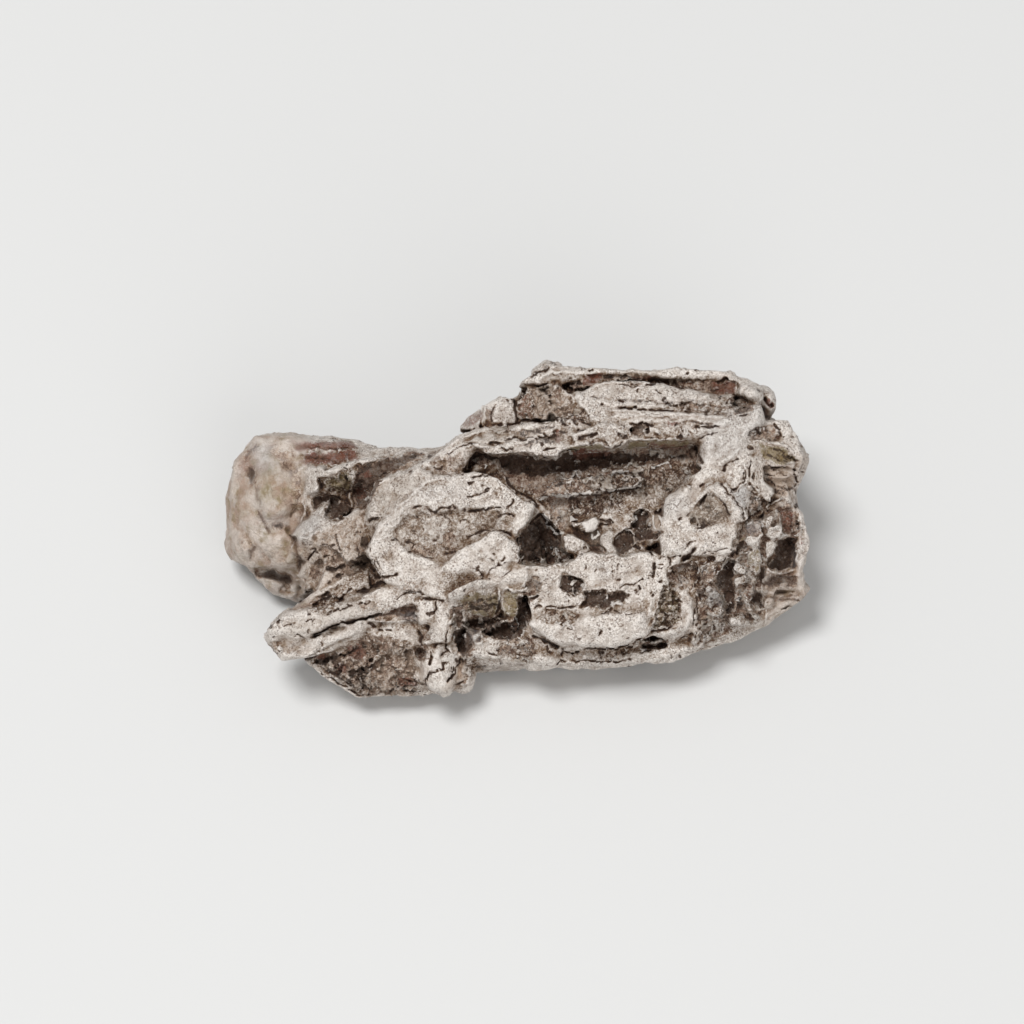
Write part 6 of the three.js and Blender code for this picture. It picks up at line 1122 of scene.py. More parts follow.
topLeaves = {
    "slab": [
        (0.35, 0.12, (13.4, 8.3, 13.6, 8.7, 14, 8.8, 14.6, 8.65, 15, 8.3, 15.1, 8, 15, 7.5, 14.5, 7.6, 13.8, 8)),
    ],
    "streaks": [
        (0.05, -5, 0.28, (4.2, 8.3, 5.3, 8.95, 8.6, 8.7, 12.8, 8.1, 13.2, 7.7, 9.8, 7.6, 5, 7.6)),
        (0.06, -3, 0.22, (5, 7.3, 9.8, 7.4, 13.2, 7, 12.4, 5.9, 8.2, 5.6, 6.9, 6.5)),
    ],
    "facet": [
        (0.1, 0.15, (3.5, 8.1, 4.2, 8.45, 5, 8.85, 5.3, 9, 7.8, 8.95, 8.6, 8.75, 11, 8.45, 12, 8.15, 13.3, 7.9,
         13.2, 7.6, 11, 7.75, 9.9, 7.65, 9, 7.4, 8, 7.38, 6, 7.45, 5, 7.55, 4.2, 7.2, 3.8, 7.6)),
        (0.1, 0.12, (4.3, 7.05, 5, 7.35, 6, 7.27, 8, 7.15, 10, 7.05, 13, 6.9, 13.2, 6.5, 12.4, 6.4, 10.5, 6.5, 8, 6.5,
         6.8, 6.5, 5.2, 6.6, 4.6, 6.6)), (-0.3, 0.1, (10, 7.6, 11, 7.65, 12.8, 7.5, 12.9, 7.15, 11, 7.1, 10, 7.15)),
        (0.2, 0.1, (3.4, 5.8, 3.35, 5.15, 3.9, 5.1, 4.6, 5.2, 5, 5.2, 5.5, 4.9, 5.9, 4.8, 6.3, 4.9, 6.7, 5.4,
         6.7, 6.3, 5, 6.5, 4.4, 6.2)), (-0.35, 0.08, (6.9, 6.3, 7.95, 6.3, 7.9, 5.75, 7, 5.75)),
        (0.08, 0.12, (8.1, 6.2, 9, 6.1, 11, 6.1, 12, 6.05, 11, 5.6, 8.1, 5.45)),
        (-0.3, 0.1, (4.1, 9.25, 4.5, 9.45, 5.2, 9.4, 8.1, 9.3, 7.9, 9.1, 5.4, 9.05, 4.5, 8.75, 3.5, 8.4, 3.2, 8.7,
         4, 9)),
        (0.15, 0.15, (8.5, 9.4, 9.4, 9.65, 11, 9.8, 12.3, 9.8, 13.2, 9.4, 12.9, 9.2, 11, 9.25, 9.8, 9.15, 8.8, 9.1)),
        (-0.4, 0.15, (9.1, 8.95, 9.9, 9, 11, 9.05, 13.3, 8.95, 13.5, 8.2, 12.4, 8.2, 12, 8.4, 11, 8.6, 10, 8.75)),
        (-0.35, 0.1, (13.4, 7.9, 13.9, 7.75, 14.4, 7.6, 14.2, 7.2, 13.4, 7.1)),
    ],
    "ridge": [
        (0.15, 0.12, (5.2, 6.85, 7, 6.95, 9, 6.95, 11, 6.9, 12.9, 6.8)),
        (0.12, 0.12, (5, 7.3, 6.5, 7.2, 8.5, 7.1, 10, 7, 12, 6.95)),
        (0.12, 0.12, (3.4, 8.15, 4.2, 8.5, 5.1, 8.95, 7.8, 8.97)),
        (0.12, 0.12, (6.8, 5.45, 8, 5.42, 9.4, 5.4, 10.6, 5.45)),
        (0.25, 0.12, (10.8, 5.6, 12, 6.2, 13, 6.8, 14.3, 7.3)), (0.1, 0.12, (3, 8.6, 3.3, 8.2, 3.5, 7.7)),
        (0.12, 0.15, (13.45, 8.2, 13.7, 8.75, 14.4, 8.8, 15, 8.5, 15.1, 8.1)),
    ],
    "crack": [
        (0.1, 0.2, (5, 7.57, 5.4, 7.5)), (0.08, 0.25, (5.9, 7.42, 6.6, 7.35, 7.2, 7.28, 8, 7.24, 9, 7.18, 10, 7.12)),
        (0.08, 0.15, (6.2, 7.85, 6.6, 7.7)), (0.07, 0.15, (8.1, 7.85, 8.4, 7.7, 8.6, 7.7)),
        (0.09, 0.2, (9, 7.72, 9.3, 7.6, 9.8, 7.45)), (0.09, 0.2, (7.8, 8.73, 8.2, 8.78, 8.5, 8.87)),
        (0.06, 0.1, (5.9, 8.8, 6.8, 8.7, 7.5, 8.7)), (0.07, 0.12, (8.4, 8.5, 8.8, 8.3)),
        (0.1, 0.25, (6.7, 6.33, 7.4, 6.33, 8, 6.32, 8.5, 6.3)),
        (0.1, 0.25, (10.8, 6.28, 11.2, 6.2, 11.8, 6.18, 12.4, 6.25)), (0.07, 0.15, (9.9, 6.42, 10.3, 6.42)),
        (0.12, 0.25, (3.6, 5.55, 4, 5.55, 4.5, 5.7, 5, 5.95)), (0.06, 0.15, (13, 6.85, 13.5, 6.82, 14.2, 7.05)),
        (0.14, 0.4, (15.15, 8.1, 15.3, 7.8, 15.5, 7.4)), (0.07, 0.15, (14.6, 8.6, 15, 8.4, 15.1, 8.1)),
        (0.1, 0.25, (5.2, 9.3, 6, 9.25, 7, 9.25, 8.1, 9.2)), (0.06, 0.12, (5, 6.6, 5.05, 6.5)),
    ],
    "bowl": [
        (-0.3, 14.2, 8.25, 0.8, 0.5, -10), (-0.25, 3.3, 5.85, 0.4, 0.35), (-0.12, 13.2, 7.6, 0.2, 0.2),
        (-0.1, 11.6, 7.4, 0.2, 0.12), (-0.1, 10.8, 7.4, 0.2, 0.12), (-0.15, 15.5, 8.2, 0.25, 0.5),
        (0.06, 12.6, 6.85, 0.15, 0.06),
    ],
    "rust": [
        (0.85, 0.15, (4.1, 9.3, 4.5, 9.5, 5.3, 9.5, 5.2, 9.1, 4.5, 8.8, 3.9, 8.9)),
        (0.8, 0.1, (6.9, 9.35, 8.2, 9.4, 8.2, 9.1, 7, 9.1)), (0.9, 0.2, (11.8, 9, 13.3, 8.9, 13.3, 8.2, 12, 8.3)),
        (0.6, 0.2, (8.9, 6.65, 10, 6.6, 10, 6.3, 9.2, 6.15)), (0.8, 0.12, (15.2, 8, 15.5, 8, 15.6, 7.3, 15.3, 7.4)),
    ],
    "brown": [
        (0.7, 0.12, (3, 8.85, 4, 9, 4.6, 8.8, 3.5, 8.3)), (0.8, 0.1, (5.1, 9.4, 7, 9.35, 7, 9.1, 5.3, 9.1)),
        (0.8, 0.15, (9.1, 8.95, 13.4, 9, 13.5, 8.2, 12.4, 8.2, 11, 8.6, 10, 8.75)),
        (0.9, 0.1, (6.9, 6.3, 7.95, 6.3, 7.9, 5.75, 7, 5.75)),
        (0.6, 0.1, (9.8, 7.6, 11, 7.65, 12.8, 7.5, 13.2, 7.1, 11, 7.1, 9.8, 7.2)),
        (0.9, 0.12, (12.9, 7.9, 13.4, 8.1, 13.8, 7.85, 14.5, 7.5, 14.2, 7.1, 13.2, 6.95)),
    ],
    "tan": [(0.6, 0.15, (6.8, 9.5, 8.6, 9.5, 8.4, 9.3, 7, 9.3))],
    "grainy": [
        (0.8, 0.15, (9.8, 7.7, 13.8, 8, 14.2, 7.2, 10, 7.1)),
        (0.4, 0.3, (4.6, 6.6, 8, 6.5, 10.5, 6.5, 12, 6.1, 11, 5.6, 7, 5.5, 6, 5, 4, 5.3)),
    ],
    "clean": [(0.9, 0.1, (13.5, 8.3, 13.7, 8.7, 14.5, 8.6, 15, 8.2, 14.9, 7.6, 14.5, 7.7, 13.8, 8.1))],
}

crest = {
    "streaks": [(0.07, 12, 0.25, (-3.9, 5.2, -1.8, 6.3, 2.6, 6.5, 3.3, 5.5, 1.2, 4.9, -2.6, 4.9))],
    "facet": [
        (0, 0.1, (-3.4, 6.1, -3.3, 6.6, -2.9, 7.1, -2.05, 7.35, -2.05, 6.3, -2.7, 6)),
        (0.1, 0.08, (-1.5, 6.45, -1.5, 7.3, -1.2, 7.9, -0.3, 7.95, -0.2, 7.4, -0.05, 6.9, -0.1, 6.45)),
        (-0.25, 0.1, (-1.9, 6.2, -1.4, 6.3, -0.6, 6.35, 0, 6.4, -0.1, 6.2, -0.7, 6, -1.4, 6)),
        (-0.12, 0.08, (0.1, 6.6, 0.05, 8.2, 0.75, 8.35, 0.95, 7.8, 0.85, 6.65)),
        (0.05, 0.08, (0.95, 6.65, 1, 7.7, 0.8, 8.4, 1.2, 8.6, 1.6, 8.2, 1.9, 7.8, 1.95, 6.65)),
        (0, 0.1, (2.1, 7, 2.05, 7.9, 2.1, 8.7, 2.4, 8.8, 2.9, 8.4, 3.3, 7.9, 3.6, 7.4, 3, 6.95)),
        (-0.1, 0.1, (3.1, 6.85, 3.9, 7.1, 4.2, 7, 4.5, 6.4, 3.8, 6.3, 3.2, 6.6)),
        (0.05, 0.1, (-0.4, 6.1, 0, 6.35, 0.6, 6.4, 1.9, 6.35, 2.5, 6.6, 2.7, 6.3, 2.4, 6.05, 1.8, 5.8, 1.3, 5.7,
         0.8, 5.65, -0.2, 5.65)),
        (0.1, 0.1, (-0.8, 5.2, -0.1, 5.45, 0.6, 5.45, 1.6, 5.35, 1.95, 5.2, 1.7, 4.85, 1.4, 4.7, 0, 4.75,
         -0.3, 4.95)), (0.1, 0.1, (1.2, 4.4, 2, 4.4, 2.9, 4.8, 2.9, 5, 2.6, 5.3, 2.2, 4.95, 1.6, 4.7)),
        (0, 0.1, (-3, 5.25, -1.8, 5.9, -0.6, 5.95, -0.4, 5.6, -1, 5.25, -2.4, 5.2)),
    ],
    "ridge": [
        (0.15, 0.15, (-4.4, 5.1, -3.4, 5.5, -2.8, 5.75, -2, 6.05, -1.5, 6.1)),
        (0.1, 0.15, (-2, 6.2, -1.95, 6.9, -1.85, 7.5)), (0.12, 0.12, (-3.4, 5, -3, 5.1, -2.6, 5.12)),
        (0.14, 0.15, (-2.9, 4.7, -2.5, 5, -1.5, 5.08, -1, 5, -0.4, 4.98)),
        (0.1, 0.12, (1.6, 8.2, 1.95, 7.85, 2, 7.2, 2, 6.7)), (0.2, 0.15, (1.2, 9.2, 2.2, 9.6, 3.4, 9.5, 5, 9.55)),
        (0.2, 0.15, (1.1, 9.8, 1.7, 10.1, 2.5, 10.1)),
    ],
    "crack": [
        (0.14, 0.35, (-0.35, 8.1, -0.15, 7.6, -0.02, 6.9, 0.02, 6.5)), (0.07, 0.15, (-1.5, 6.4, -1.55, 7, -1.3, 7.6)),
        (0.1, 0.25, (-0.6, 6.38, 0.2, 6.5, 1.1, 6.55, 1.9, 6.5, 2.2, 6.65)),
        (0.07, 0.18, (-0.9, 5.4, -0.5, 5.52, 0.2, 5.52, 1.2, 5.56)),
        (0.1, 0.25, (1.2, 5.65, 1.45, 5.55, 1.7, 5.65, 2.1, 5.75, 2.6, 6)),
        (0.1, 0.25, (1.6, 8.6, 1.8, 8.3, 2.02, 7.95, 2.05, 7.5)), (0.09, 0.2, (2.9, 6.65, 3.3, 6.85, 3.6, 7)),
        (0.07, 0.15, (3.2, 6.5, 3.7, 6.6, 4.2, 6.4, 4.6, 6.4)),
        (0.1, 0.25, (0.9, 9.45, 1.4, 9.62, 1.9, 9.8, 2.2, 9.9)), (0.1, 0.25, (1, 8.8, 1.6, 8.75, 1.9, 8.9)),
        (0.1, 0.25, (2.85, 8.85, 3.3, 8.8, 3.9, 8.98)), (0.1, 0.25, (1.65, 4.75, 1.8, 4.95, 2.3, 4.97)),
        (0.08, 0.2, (-3.9, 4.9, -3.3, 5.05, -2.9, 5.25, -2.4, 5.1)), (0.07, 0.15, (-1, 4.95, -0.6, 4.88, -0.2, 4.88)),
        (0.08, 0.2, (3.7, 6.1, 3.9, 5.95, 4.3, 6.1)), (0.07, 0.15, (2.6, 6.9, 2.75, 6.5, 3.2, 6.2)),
    ],
    "bowl": [
        (0.12, 2.1, 9.1, 0.15, 0.12), (-0.12, 1.4, 7.3, 0.3, 0.3), (0.1, 1.1, 7.6, 0.15, 0.3),
        (-0.12, 2.5, 7.5, 0.3, 0.2), (0.1, 2.7, 8.2, 0.2, 0.2), (0.1, -2.1, 5.6, 0.4, 0.12),
        (-0.15, 2.5, 5.6, 0.2, 0.25), (0.12, 2.1, 5.2, 0.2, 0.15),
    ],
    "rust": [
        (0.5, 0.25, (-3.4, 6.1, -3.2, 6.9, -2.05, 7.4, -2.05, 6.6, -2.8, 6.2)),
        (0.42, 0.25, (0.1, 6.6, 0.05, 8.2, 0.75, 8.35, 0.95, 7.8, 0.85, 6.65)),
        (0.35, 0.15, (2.1, 7.6, 2.1, 8.7, 2.6, 8.7, 2.8, 7.6)),
        (0.7, 0.12, (2.25, 5.9, 2.6, 5.95, 2.75, 5.5, 2.5, 5.2, 2.15, 5.35)),
    ],
    "brown": [
        (0.5, 0.15, (-1.9, 7.4, -1.5, 7.3, -1.5, 6.4, -1.9, 6.3)),
        (0.7, 0.1, (-1.9, 6.2, -1.4, 6.3, 0, 6.4, -0.1, 6.2, -0.7, 5.9, -1.4, 6)),
        (0.55, 0.2, (0.1, 6.6, 0.05, 8.2, 0.75, 8.35, 0.95, 7.8, 0.85, 6.65)),
        (0.4, 0.15, (2.1, 7, 2.05, 7.9, 2.1, 8.7, 2.4, 8.9, 3.3, 7.9, 3.6, 7.4, 3, 6.95)),
        (0.45, 0.1, (3.1, 6.85, 4.1, 7.05, 4.5, 6.4, 3.8, 6.2, 3.2, 6.5)),
        (0.35, 0.2, (0.8, 9.1, 1.1, 9.8, 1.9, 10.3, 1.9, 9.8, 1.2, 9.4)),
    ],
    "tan": [(0.7, 0.1, (0.95, 6.65, 1, 7.7, 0.8, 8.6, 1.9, 8.7, 2.9, 8.4, 3.6, 7.4, 3, 6.9, 2, 6.65))],
    "olive": [(0.3, 0.2, (-0.4, 6.1, 0.6, 6.4, 2.4, 6.4, 1.8, 5.8, -0.2, 5.65))],
    "dust": [(0.5, 0.2, (-3, 5.25, -1.8, 5.9, -0.4, 6.2, -0.4, 5.6, -1, 5.25, -2.4, 5.2))],
    "grainy": [(0.6, 0.2, (0.1, 6.6, 0.1, 8.4, 2, 8.9, 3, 8.4, 3.8, 7.2, 4.4, 6.5, 2, 6.5))],
}
regions = (
    leftLobe, neck, finger, foot, pockets, rimmedPlate, centrePits, groove, plateau,
    rightEnd, crumblingCorner, shelf, topLeaves, crest,
)


def workFace(clay, tools):
    for region in regions:
        for tool in tools:
            for stroke in region.get(tool, []):
                getattr(clay, tool)(*stroke)


def paintFace(clay):
    for region in regions:
        for name in markNames:
            if name != "crack":  # cracks are cut, and mark themselves
                for stroke in region.get(name, []):
                    clay.paint(name, *stroke)


pepper = {
    "pocks": 700,
    "pockSize": (0.05, 0.18),
    "crumbs": 2400,
    "crumbSize": (0.06, 0.28),
    "clumps": 1.3,  # mm between the places where there are more of them
    "pile": (-0.25, 0.24),  # no deeper and no higher than this, however many fall on one place
}


def scatter(clay):  # crumbs lie in the dirt, and the bare plates are pocked
    rand = np.random.RandomState(11)
    marks = clay.marks
    dirty = np.maximum.reduce([marks[name] for name in ("brown", "grainy", "olive", "rust")])
    dirty = smoothStep(0.3, 0.7, dirty) * (1 - 0.85 * smoothStep(0.85, 1, marks["brown"])) * (1 - marks["clean"])
    bare = np.maximum.reduce([marks[name] for name in ("brown", "pale", "crack", "rust")])
    flat = np.column_stack([clay.at, np.zeros(len(clay.at))])
    clump = np.clip(0.5 + 1.6 * wobble(flat, pepper["clumps"], 9, 2), 0.04, 1) ** 2 * (1 - marks["calm"])
    before = clay.rise.copy()
    for kind, size, where, way in (("crumbs", "crumbSize", dirty, 0.7), ("pocks", "pockSize", 1 - bare, -0.7)):
        finish = [("clean", 1.0), ("dust", 1.0), ("clean", 0.6)] if kind == "crumbs" else [("crack", 0.7)]
        chance = clump * where
        picks = rand.choice(len(chance), pepper[kind], p=chance / chance.sum())
        low, high = pepper[size]
        for pick in picks:
            wide = low + (high - low) * rand.rand() ** 2.5
            name, strength = finish[rand.randint(3)] if kind == "crumbs" else finish[0]
            turn = rand.uniform(0, 180)
            clay.crumb(*clay.at[pick], wide, wide * rand.uniform(0.45, 0.9), turn, way * wide, name, strength)
    clay.rise = before + np.clip(clay.rise - before, *pepper["pile"])


# Gaps of the solid that are closed to this height against their rim, before the relief: height, depth, outline.
closedGaps = [
    (0, 1.5, (-16.4, -2, -13.5, -2, -13.3, -3.2, -13.4, -4, -14.6, -3.9, -15.9, -3)),
    (0, 1.5, (-13.4, -0.4, -12.5, -0.5, -12.1, -1.6, -12.6, -2.2, -13.3, -1.8)),
    (0, 1.5, (-11.9, -1.9, -10.8, -1.8, -9.4, -1.3, -8.95, -1.9, -9, -2.5, -9.6, -2.9, -11, -3, -11.9, -2.7)),
    (0, 1, (-12.4, 3.1, -11.7, 3.1, -11.5, 2.3, -12.3, 2.2)),
    (0, 1.5, (-9.2, -5, -8.4, -4.5, -7.4, -4.2, -6.2, -4.1, -5.9, -4.8, -6.1, -5.6, -7.5, -5.7, -9, -5.6)),
    (0, 1.2, (-11.2, -5.4, -9, -5, -8.3, -5.4, -8.5, -6.1, -9.6, -6, -11, -6)),
    (0, 1.5, (-12.4, -7.75, -11, -7.35, -10, -7, -9, -6.75, -8.8, -6.2, -9.6, -6, -10.5, -6.3, -11.6, -6.9)),
    (0, 1, (-10.8, -4.1, -9.6, -3.5, -8.9, -3.3, -8.8, -3.7, -10.4, -4.4)),
    (-0.05, 2, (-4.2, -3.9, -3.1, -3.35, -2.2, -3.1, -1, -3.2, -1, -5.3, -2.2, -5.6, -3.4, -5.4, -4.1, -5)),
    (-0.1, 1.5, (0.65, -3.1, 1.8, -3.3, 1.9, -5, 0.9, -5.4, 0.7, -4.4)),
    (-0.05, 2, (-1.1, -3.2, 0.8, -3, 0.15, -4.6, 0.1, -5.6, -0.4, -5.4, -0.9, -4.8)),
    (0, 1.2, (3.8, -3.3, 6.9, -3.3, 6.9, -4.9, 3.8, -4.9)),
    (0, 1.2, (8.3, -3.4, 9.3, -3.4, 9.2, -5, 8.8, -6.1, 7.8, -6.2, 8, -5)),
    (0, 1, (8.9, -1.6, 10, -1.6, 10, -2.4, 8.9, -2.4)),
    (-0.1, 1.5, (11.2, -2.6, 12.6, -1.2, 13.5, -1.6, 13.6, -4.1, 12.4, -4.4, 11.2, -3.6)),
    (-0.1, 1.2, (11.1, -4.4, 13.3, -4.3, 13.4, -5.3, 12, -5.6, 11.1, -5.5)),
    (-0.1, 1.2, (13.6, -3.8, 15.7, -3.6, 15.7, -4.9, 14.6, -5.7, 13.6, -5.6)),
    (-0.2, 1.5, (14.7, -0.4, 14.9, 1.5, 16, 1.4, 16.5, 0.3, 16.4, -1.5, 15.8, -2.6, 15, -2.3)),
    (-0.1, 1, (14.9, -3, 15.9, -3, 15.9, -3.7, 14.9, -3.7)),
    (-0.1, 1, (15.4, -2.9, 17.2, -2.8, 17.3, -3.7, 15.4, -3.7)), (0, 1.2, (12.9, 7.2, 13.2, 6.2, 14, 6.1, 14.8, 7.2)),
    (0, 1.2, (13.6, 5.7, 13.6, 4.4, 15.3, 4.3, 15.4, 5.7)),
    (0, 1.2, (14.9, 4.9, 14.9, 3.8, 16.9, 3.8, 17, 4.2, 16.2, 4.7)), (0, 1.2, (9.5, 8, 9.5, 7, 13, 7, 13.1, 7.8)),
    (-0.25, 1, (11.2, 8.7, 11.2, 8.25, 13.2, 7.95, 13.5, 8.6)),
    (-0.05, 1.2, (2.2, 6.9, 2.1, 8.6, 2.9, 8.5, 3.5, 7.9, 4.2, 7.2, 3.9, 6.9)),
    (0, 1.2, (2.3, 6.8, 4.6, 6.6, 4.6, 5.9, 2.3, 5.8)), (0, 1, (-1.4, 6, -0.2, 6, -0.2, 5.3, -1.4, 5.2)),
    (0, 1, (1, 5.9, 2.7, 5.9, 2.7, 5.2, 1.2, 5.2)), (0, 1, (4.8, 8.6, 8.3, 8.6, 8.3, 7.6, 4.8, 7.6)),
    (-0.1, 1.2, (6.4, 1.4, 8.4, 1.4, 8.4, 0, 7.2, -0.2, 6.6, 0.2)),
    (-0.1, 1.2, (5.7, 0.1, 7.2, 0.1, 7.4, -1.4, 6.4, -1.7, 5.6, -1.2)),
    (0, 1, (-0.3, -1.6, 0.3, -1.7, 0.3, -2.3, -0.3, -2.2)),
    (0, 1, (-9.3, 1.3, -8.2, 1.3, -7.7, 0.7, -8.6, 0.1, -9.3, 0.2)),
    (0.1, 1.2, (13.4, 8.3, 13.6, 8.7, 14, 8.8, 14.6, 8.65, 15, 8.3, 15.1, 7.9, 14.5, 7.6, 13.8, 7.9)),
    (0, 1, (3.3, 8.4, 5, 8.5, 5, 7.4, 3.6, 7.3)), (0, 1, (5, 7.8, 9.6, 7.8, 9.6, 7, 5, 7)),
    (0, 1, (-15.4, -6.1, -12.6, -6.2, -12.4, -6.9, -14.8, -7.1)), (0, 1, (2.4, 5.9, 3.8, 5.9, 3.8, 5, 2.5, 4.7)),
    (0, 1, (8.7, 7.8, 9.8, 7.8, 9.8, 7, 8.7, 7)),
    (-0.1, 1, (7.2, 0.1, 9.1, -0.1, 8.7, -0.6, 8.2, -1, 7.4, -1.3, 7, -0.8)),
    (0, 1, (12.9, 9.75, 13.5, 9.3, 14.4, 9, 15.1, 8.6, 14.6, 8.5, 13.5, 8.9, 12.9, 9.1)),
]


def closeGaps(nugget):
    eye = Vector((*viewpoint["aim"][:2], viewpoint["away"]))
    tree = treeOf(nugget.data, readPoints(nugget.data))
    corners, faces = [], []
    for height, depth, outline in closedGaps:
        outline = inPairs(outline)
        ahead = np.roll(outline, -1, axis=0)
        if (outline[:, 0] * ahead[:, 1] - ahead[:, 0] * outline[:, 1]).sum() < 0:
            outline = outline[::-1]
            ahead = np.roll(outline, -1, axis=0)
        rim = []  # where the solid is met, on the way round
        for share in (0.0, 0.25, 0.5, 0.75):
            for u, v in outline + share * (ahead - outline):
                hit = tree.ray_cast(eye, (Vector((u, v, 0)) - eye).normalized())[0]
                if hit is not None:
                    rim.append((u, v, 1, hit.z))
        rim = np.array(rim)
        kept = np.ones(len(rim), bool)
        for _ in range(5):
            plane = np.linalg.lstsq(rim[kept, :3], rim[kept, 3], rcond=None)[0]
            off = rim[:, 3] - rim[:, :3] @ plane
            kept &= off > -max(0.15, 0.7 * off[kept].std())
            if kept.sum() < 6:
                break
        first, many = len(corners), len(outline)
        for drop in (0, depth):
            for u, v in outline:
                w = plane @ (u, v, 1) + height - drop
                nearer = 1 - w / viewpoint["away"]
                corners.append((eye.x + (u - eye.x) * nearer, eye.y + (v - eye.y) * nearer, w))
        faces.append([first + i for i in range(many)])
        faces.append([first + many + i for i in reversed(range(many))])
        for i in range(many):
            j = (i + 1) % many
            faces.append([first + many + i, first + many + j, first + j, first + i])
    mesh = bpy.data.meshes.new("closedGaps")
    mesh.from_pydata(corners, [], faces)
    plugs = bpy.data.objects.new("closedGaps", mesh)
    bpy.context.scene.collection.objects.link(plugs)
    pickOnly(nugget)
    plugs.select_set(True)
    bpy.ops.object.join()


nuggetShape = {
    "grain": 0.1,  # mm between the points of the first even mesh, and of the second
    "fineGrain": 0.075,
    "rounding": 3,  # times that the broken edges are relaxed
    "wornCorners": [(18.0, -3.5, 1.2), (18.0, 3.9, 1.2), (-15.9, -6.4, 1.6), (15.9, 6.3, 0.8)],  # u, v, reach
    "cornerRounding": 40,
    "tearing": [(1.4, 0.12, 1), (0.55, 0.07, 2), (0.27, 0.035, 3)],  # size and strength in mm, seed
    "triangles": 196000,
    "backShare": 0.2,  # how much of the unseen side's mesh is kept
}


def pickOnly(nugget):
    bpy.ops.object.select_all(action="DESELECT")
    nugget.select_set(True)
    bpy.context.view_layer.objects.active = nugget


def copyOfSolid():
    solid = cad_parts["meteorite"]
    nugget = bpy.data.objects.new("ironNugget", solid.data.copy())
    bpy.context.scene.collection.objects.link(nugget)
    nugget.data.materials.clear()
    pickOnly(nugget)
    writePoints(nugget.data, toFace(readPoints(nugget.data)))
    bpy.ops.object.mode_set(mode="EDIT")
    bpy.ops.mesh.select_all(action="SELECT")
    bpy.ops.mesh.remove_doubles(threshold=1e-4)
    bpy.ops.object.mode_set(mode="OBJECT")
    return nugget


def evenMesh(nugget, grain):
    bpy.ops.object.modifier_add(type="REMESH")
    remesh = nugget.modifiers[-1]
    remesh.mode = "VOXEL"
    remesh.voxel_size = grain
    bpy.ops.object.modifier_apply(modifier=remesh.name)


def faceClay(mesh, points):
    return Clay(points, seenFromFront(mesh, points, readNormals(mesh)))


def makeNugget():
    nugget = copyOfSolid()
    closeGaps(nugget)
    evenMesh(nugget, nuggetShape["grain"])
    mesh = nugget.data
    points = relax(readPoints(mesh), readEdges(mesh), nuggetShape["rounding"])
    rounder = relax(points, readEdges(mesh), nuggetShape["cornerRounding"])
    for u, v, wide in nuggetShape["wornCorners"]:
        share = smoothStep(wide, 0.4 * wide, np.hypot(points[:, 0] - u, points[:, 1] - v))
        points += (rounder - points) * share[:, None]
    for size, strength, seed in nuggetShape["tearing"]:
        points = points + strength * push(points, size, seed)
    writePoints(mesh, points)
    print("stage: even mesh,", len(points), "points")

    clay = faceClay(mesh, points)
    workFace(clay, ("facet", "slab", "bowl"))
    clay.press(mesh, points)
    evenMesh(nugget, nuggetShape["fineGrain"])
    mesh = nugget.data
    points = relax(readPoints(mesh), readEdges(mesh), 1)
    writePoints(mesh, points)
    print("stage: the broad forms are worked,", len(points), "points")

    clay = faceClay(mesh, points)
    workFace(clay, ("streaks", "ridge", "crack", "flake"))
    paintFace(clay)
    scatter(clay)
    clay.press(mesh, points)
    clay.marks["front"] = np.ones(len(clay.who))
    for name in markNames + ("front",):
        values = np.zeros(len(points))
        values[clay.who] = clay.marks[name]
        saveMark(mesh, name, values)
    print("stage: the show face is worked")
    thinUnseen(mesh)
    print("stage: the unseen side is thinned to", len(mesh.polygons), "faces")
    crumble(mesh)
    print("stage: the hollows are crumbled")
    trim(nugget)
    print("stage: trimmed to", len(mesh.polygons), "faces")
    markShelter(mesh)
    writePoints(mesh, toTable(readPoints(mesh)))
    print("stage: the shelter of every point is marked")
    return nugget


def thinUnseen(mesh):
    bpy.ops.object.mode_set(mode="EDIT")
    bpy.ops.mesh.select_all(action="SELECT")
    bpy.ops.mesh.quads_convert_to_tris()
    bpy.ops.mesh.select_all(action="DESELECT")
    bpy.ops.object.mode_set(mode="OBJECT")
    front = readMark(mesh, "front")
    corners = np.empty(len(mesh.polygons) * 3, np.int32)
    mesh.polygons.foreach_get("vertices", corners)
    hidden = front[corners.reshape(-1, 3)].max(1) < 0.5
    mesh.polygons.foreach_set("select", hidden)
    bpy.ops.object.mode_set(mode="EDIT")
    bpy.ops.mesh.decimate(ratio=nuggetShape["backShare"])
    bpy.ops.object.mode_set(mode="OBJECT")


brokenGrains = {
    "tooth": [(0.5, 0.6, 5), (0.23, 0.4, 6)],  # mm, share, seed
    "toothHeight": (0.02, 0.06),  # mm on a bare plate, and how much more where it is grainy
    # mm wide, high and deep, and from how much grain on
    "chips": [(1.1, 0.2, 0.12, 0.75), (0.55, 0.12, 0.1, 0), (0.27, 0.05, 0.05, 0)],
    "chipSeed": 8,
    "gapMark": 0.4,  # how much of a crack's colour the gaps between grains take
}


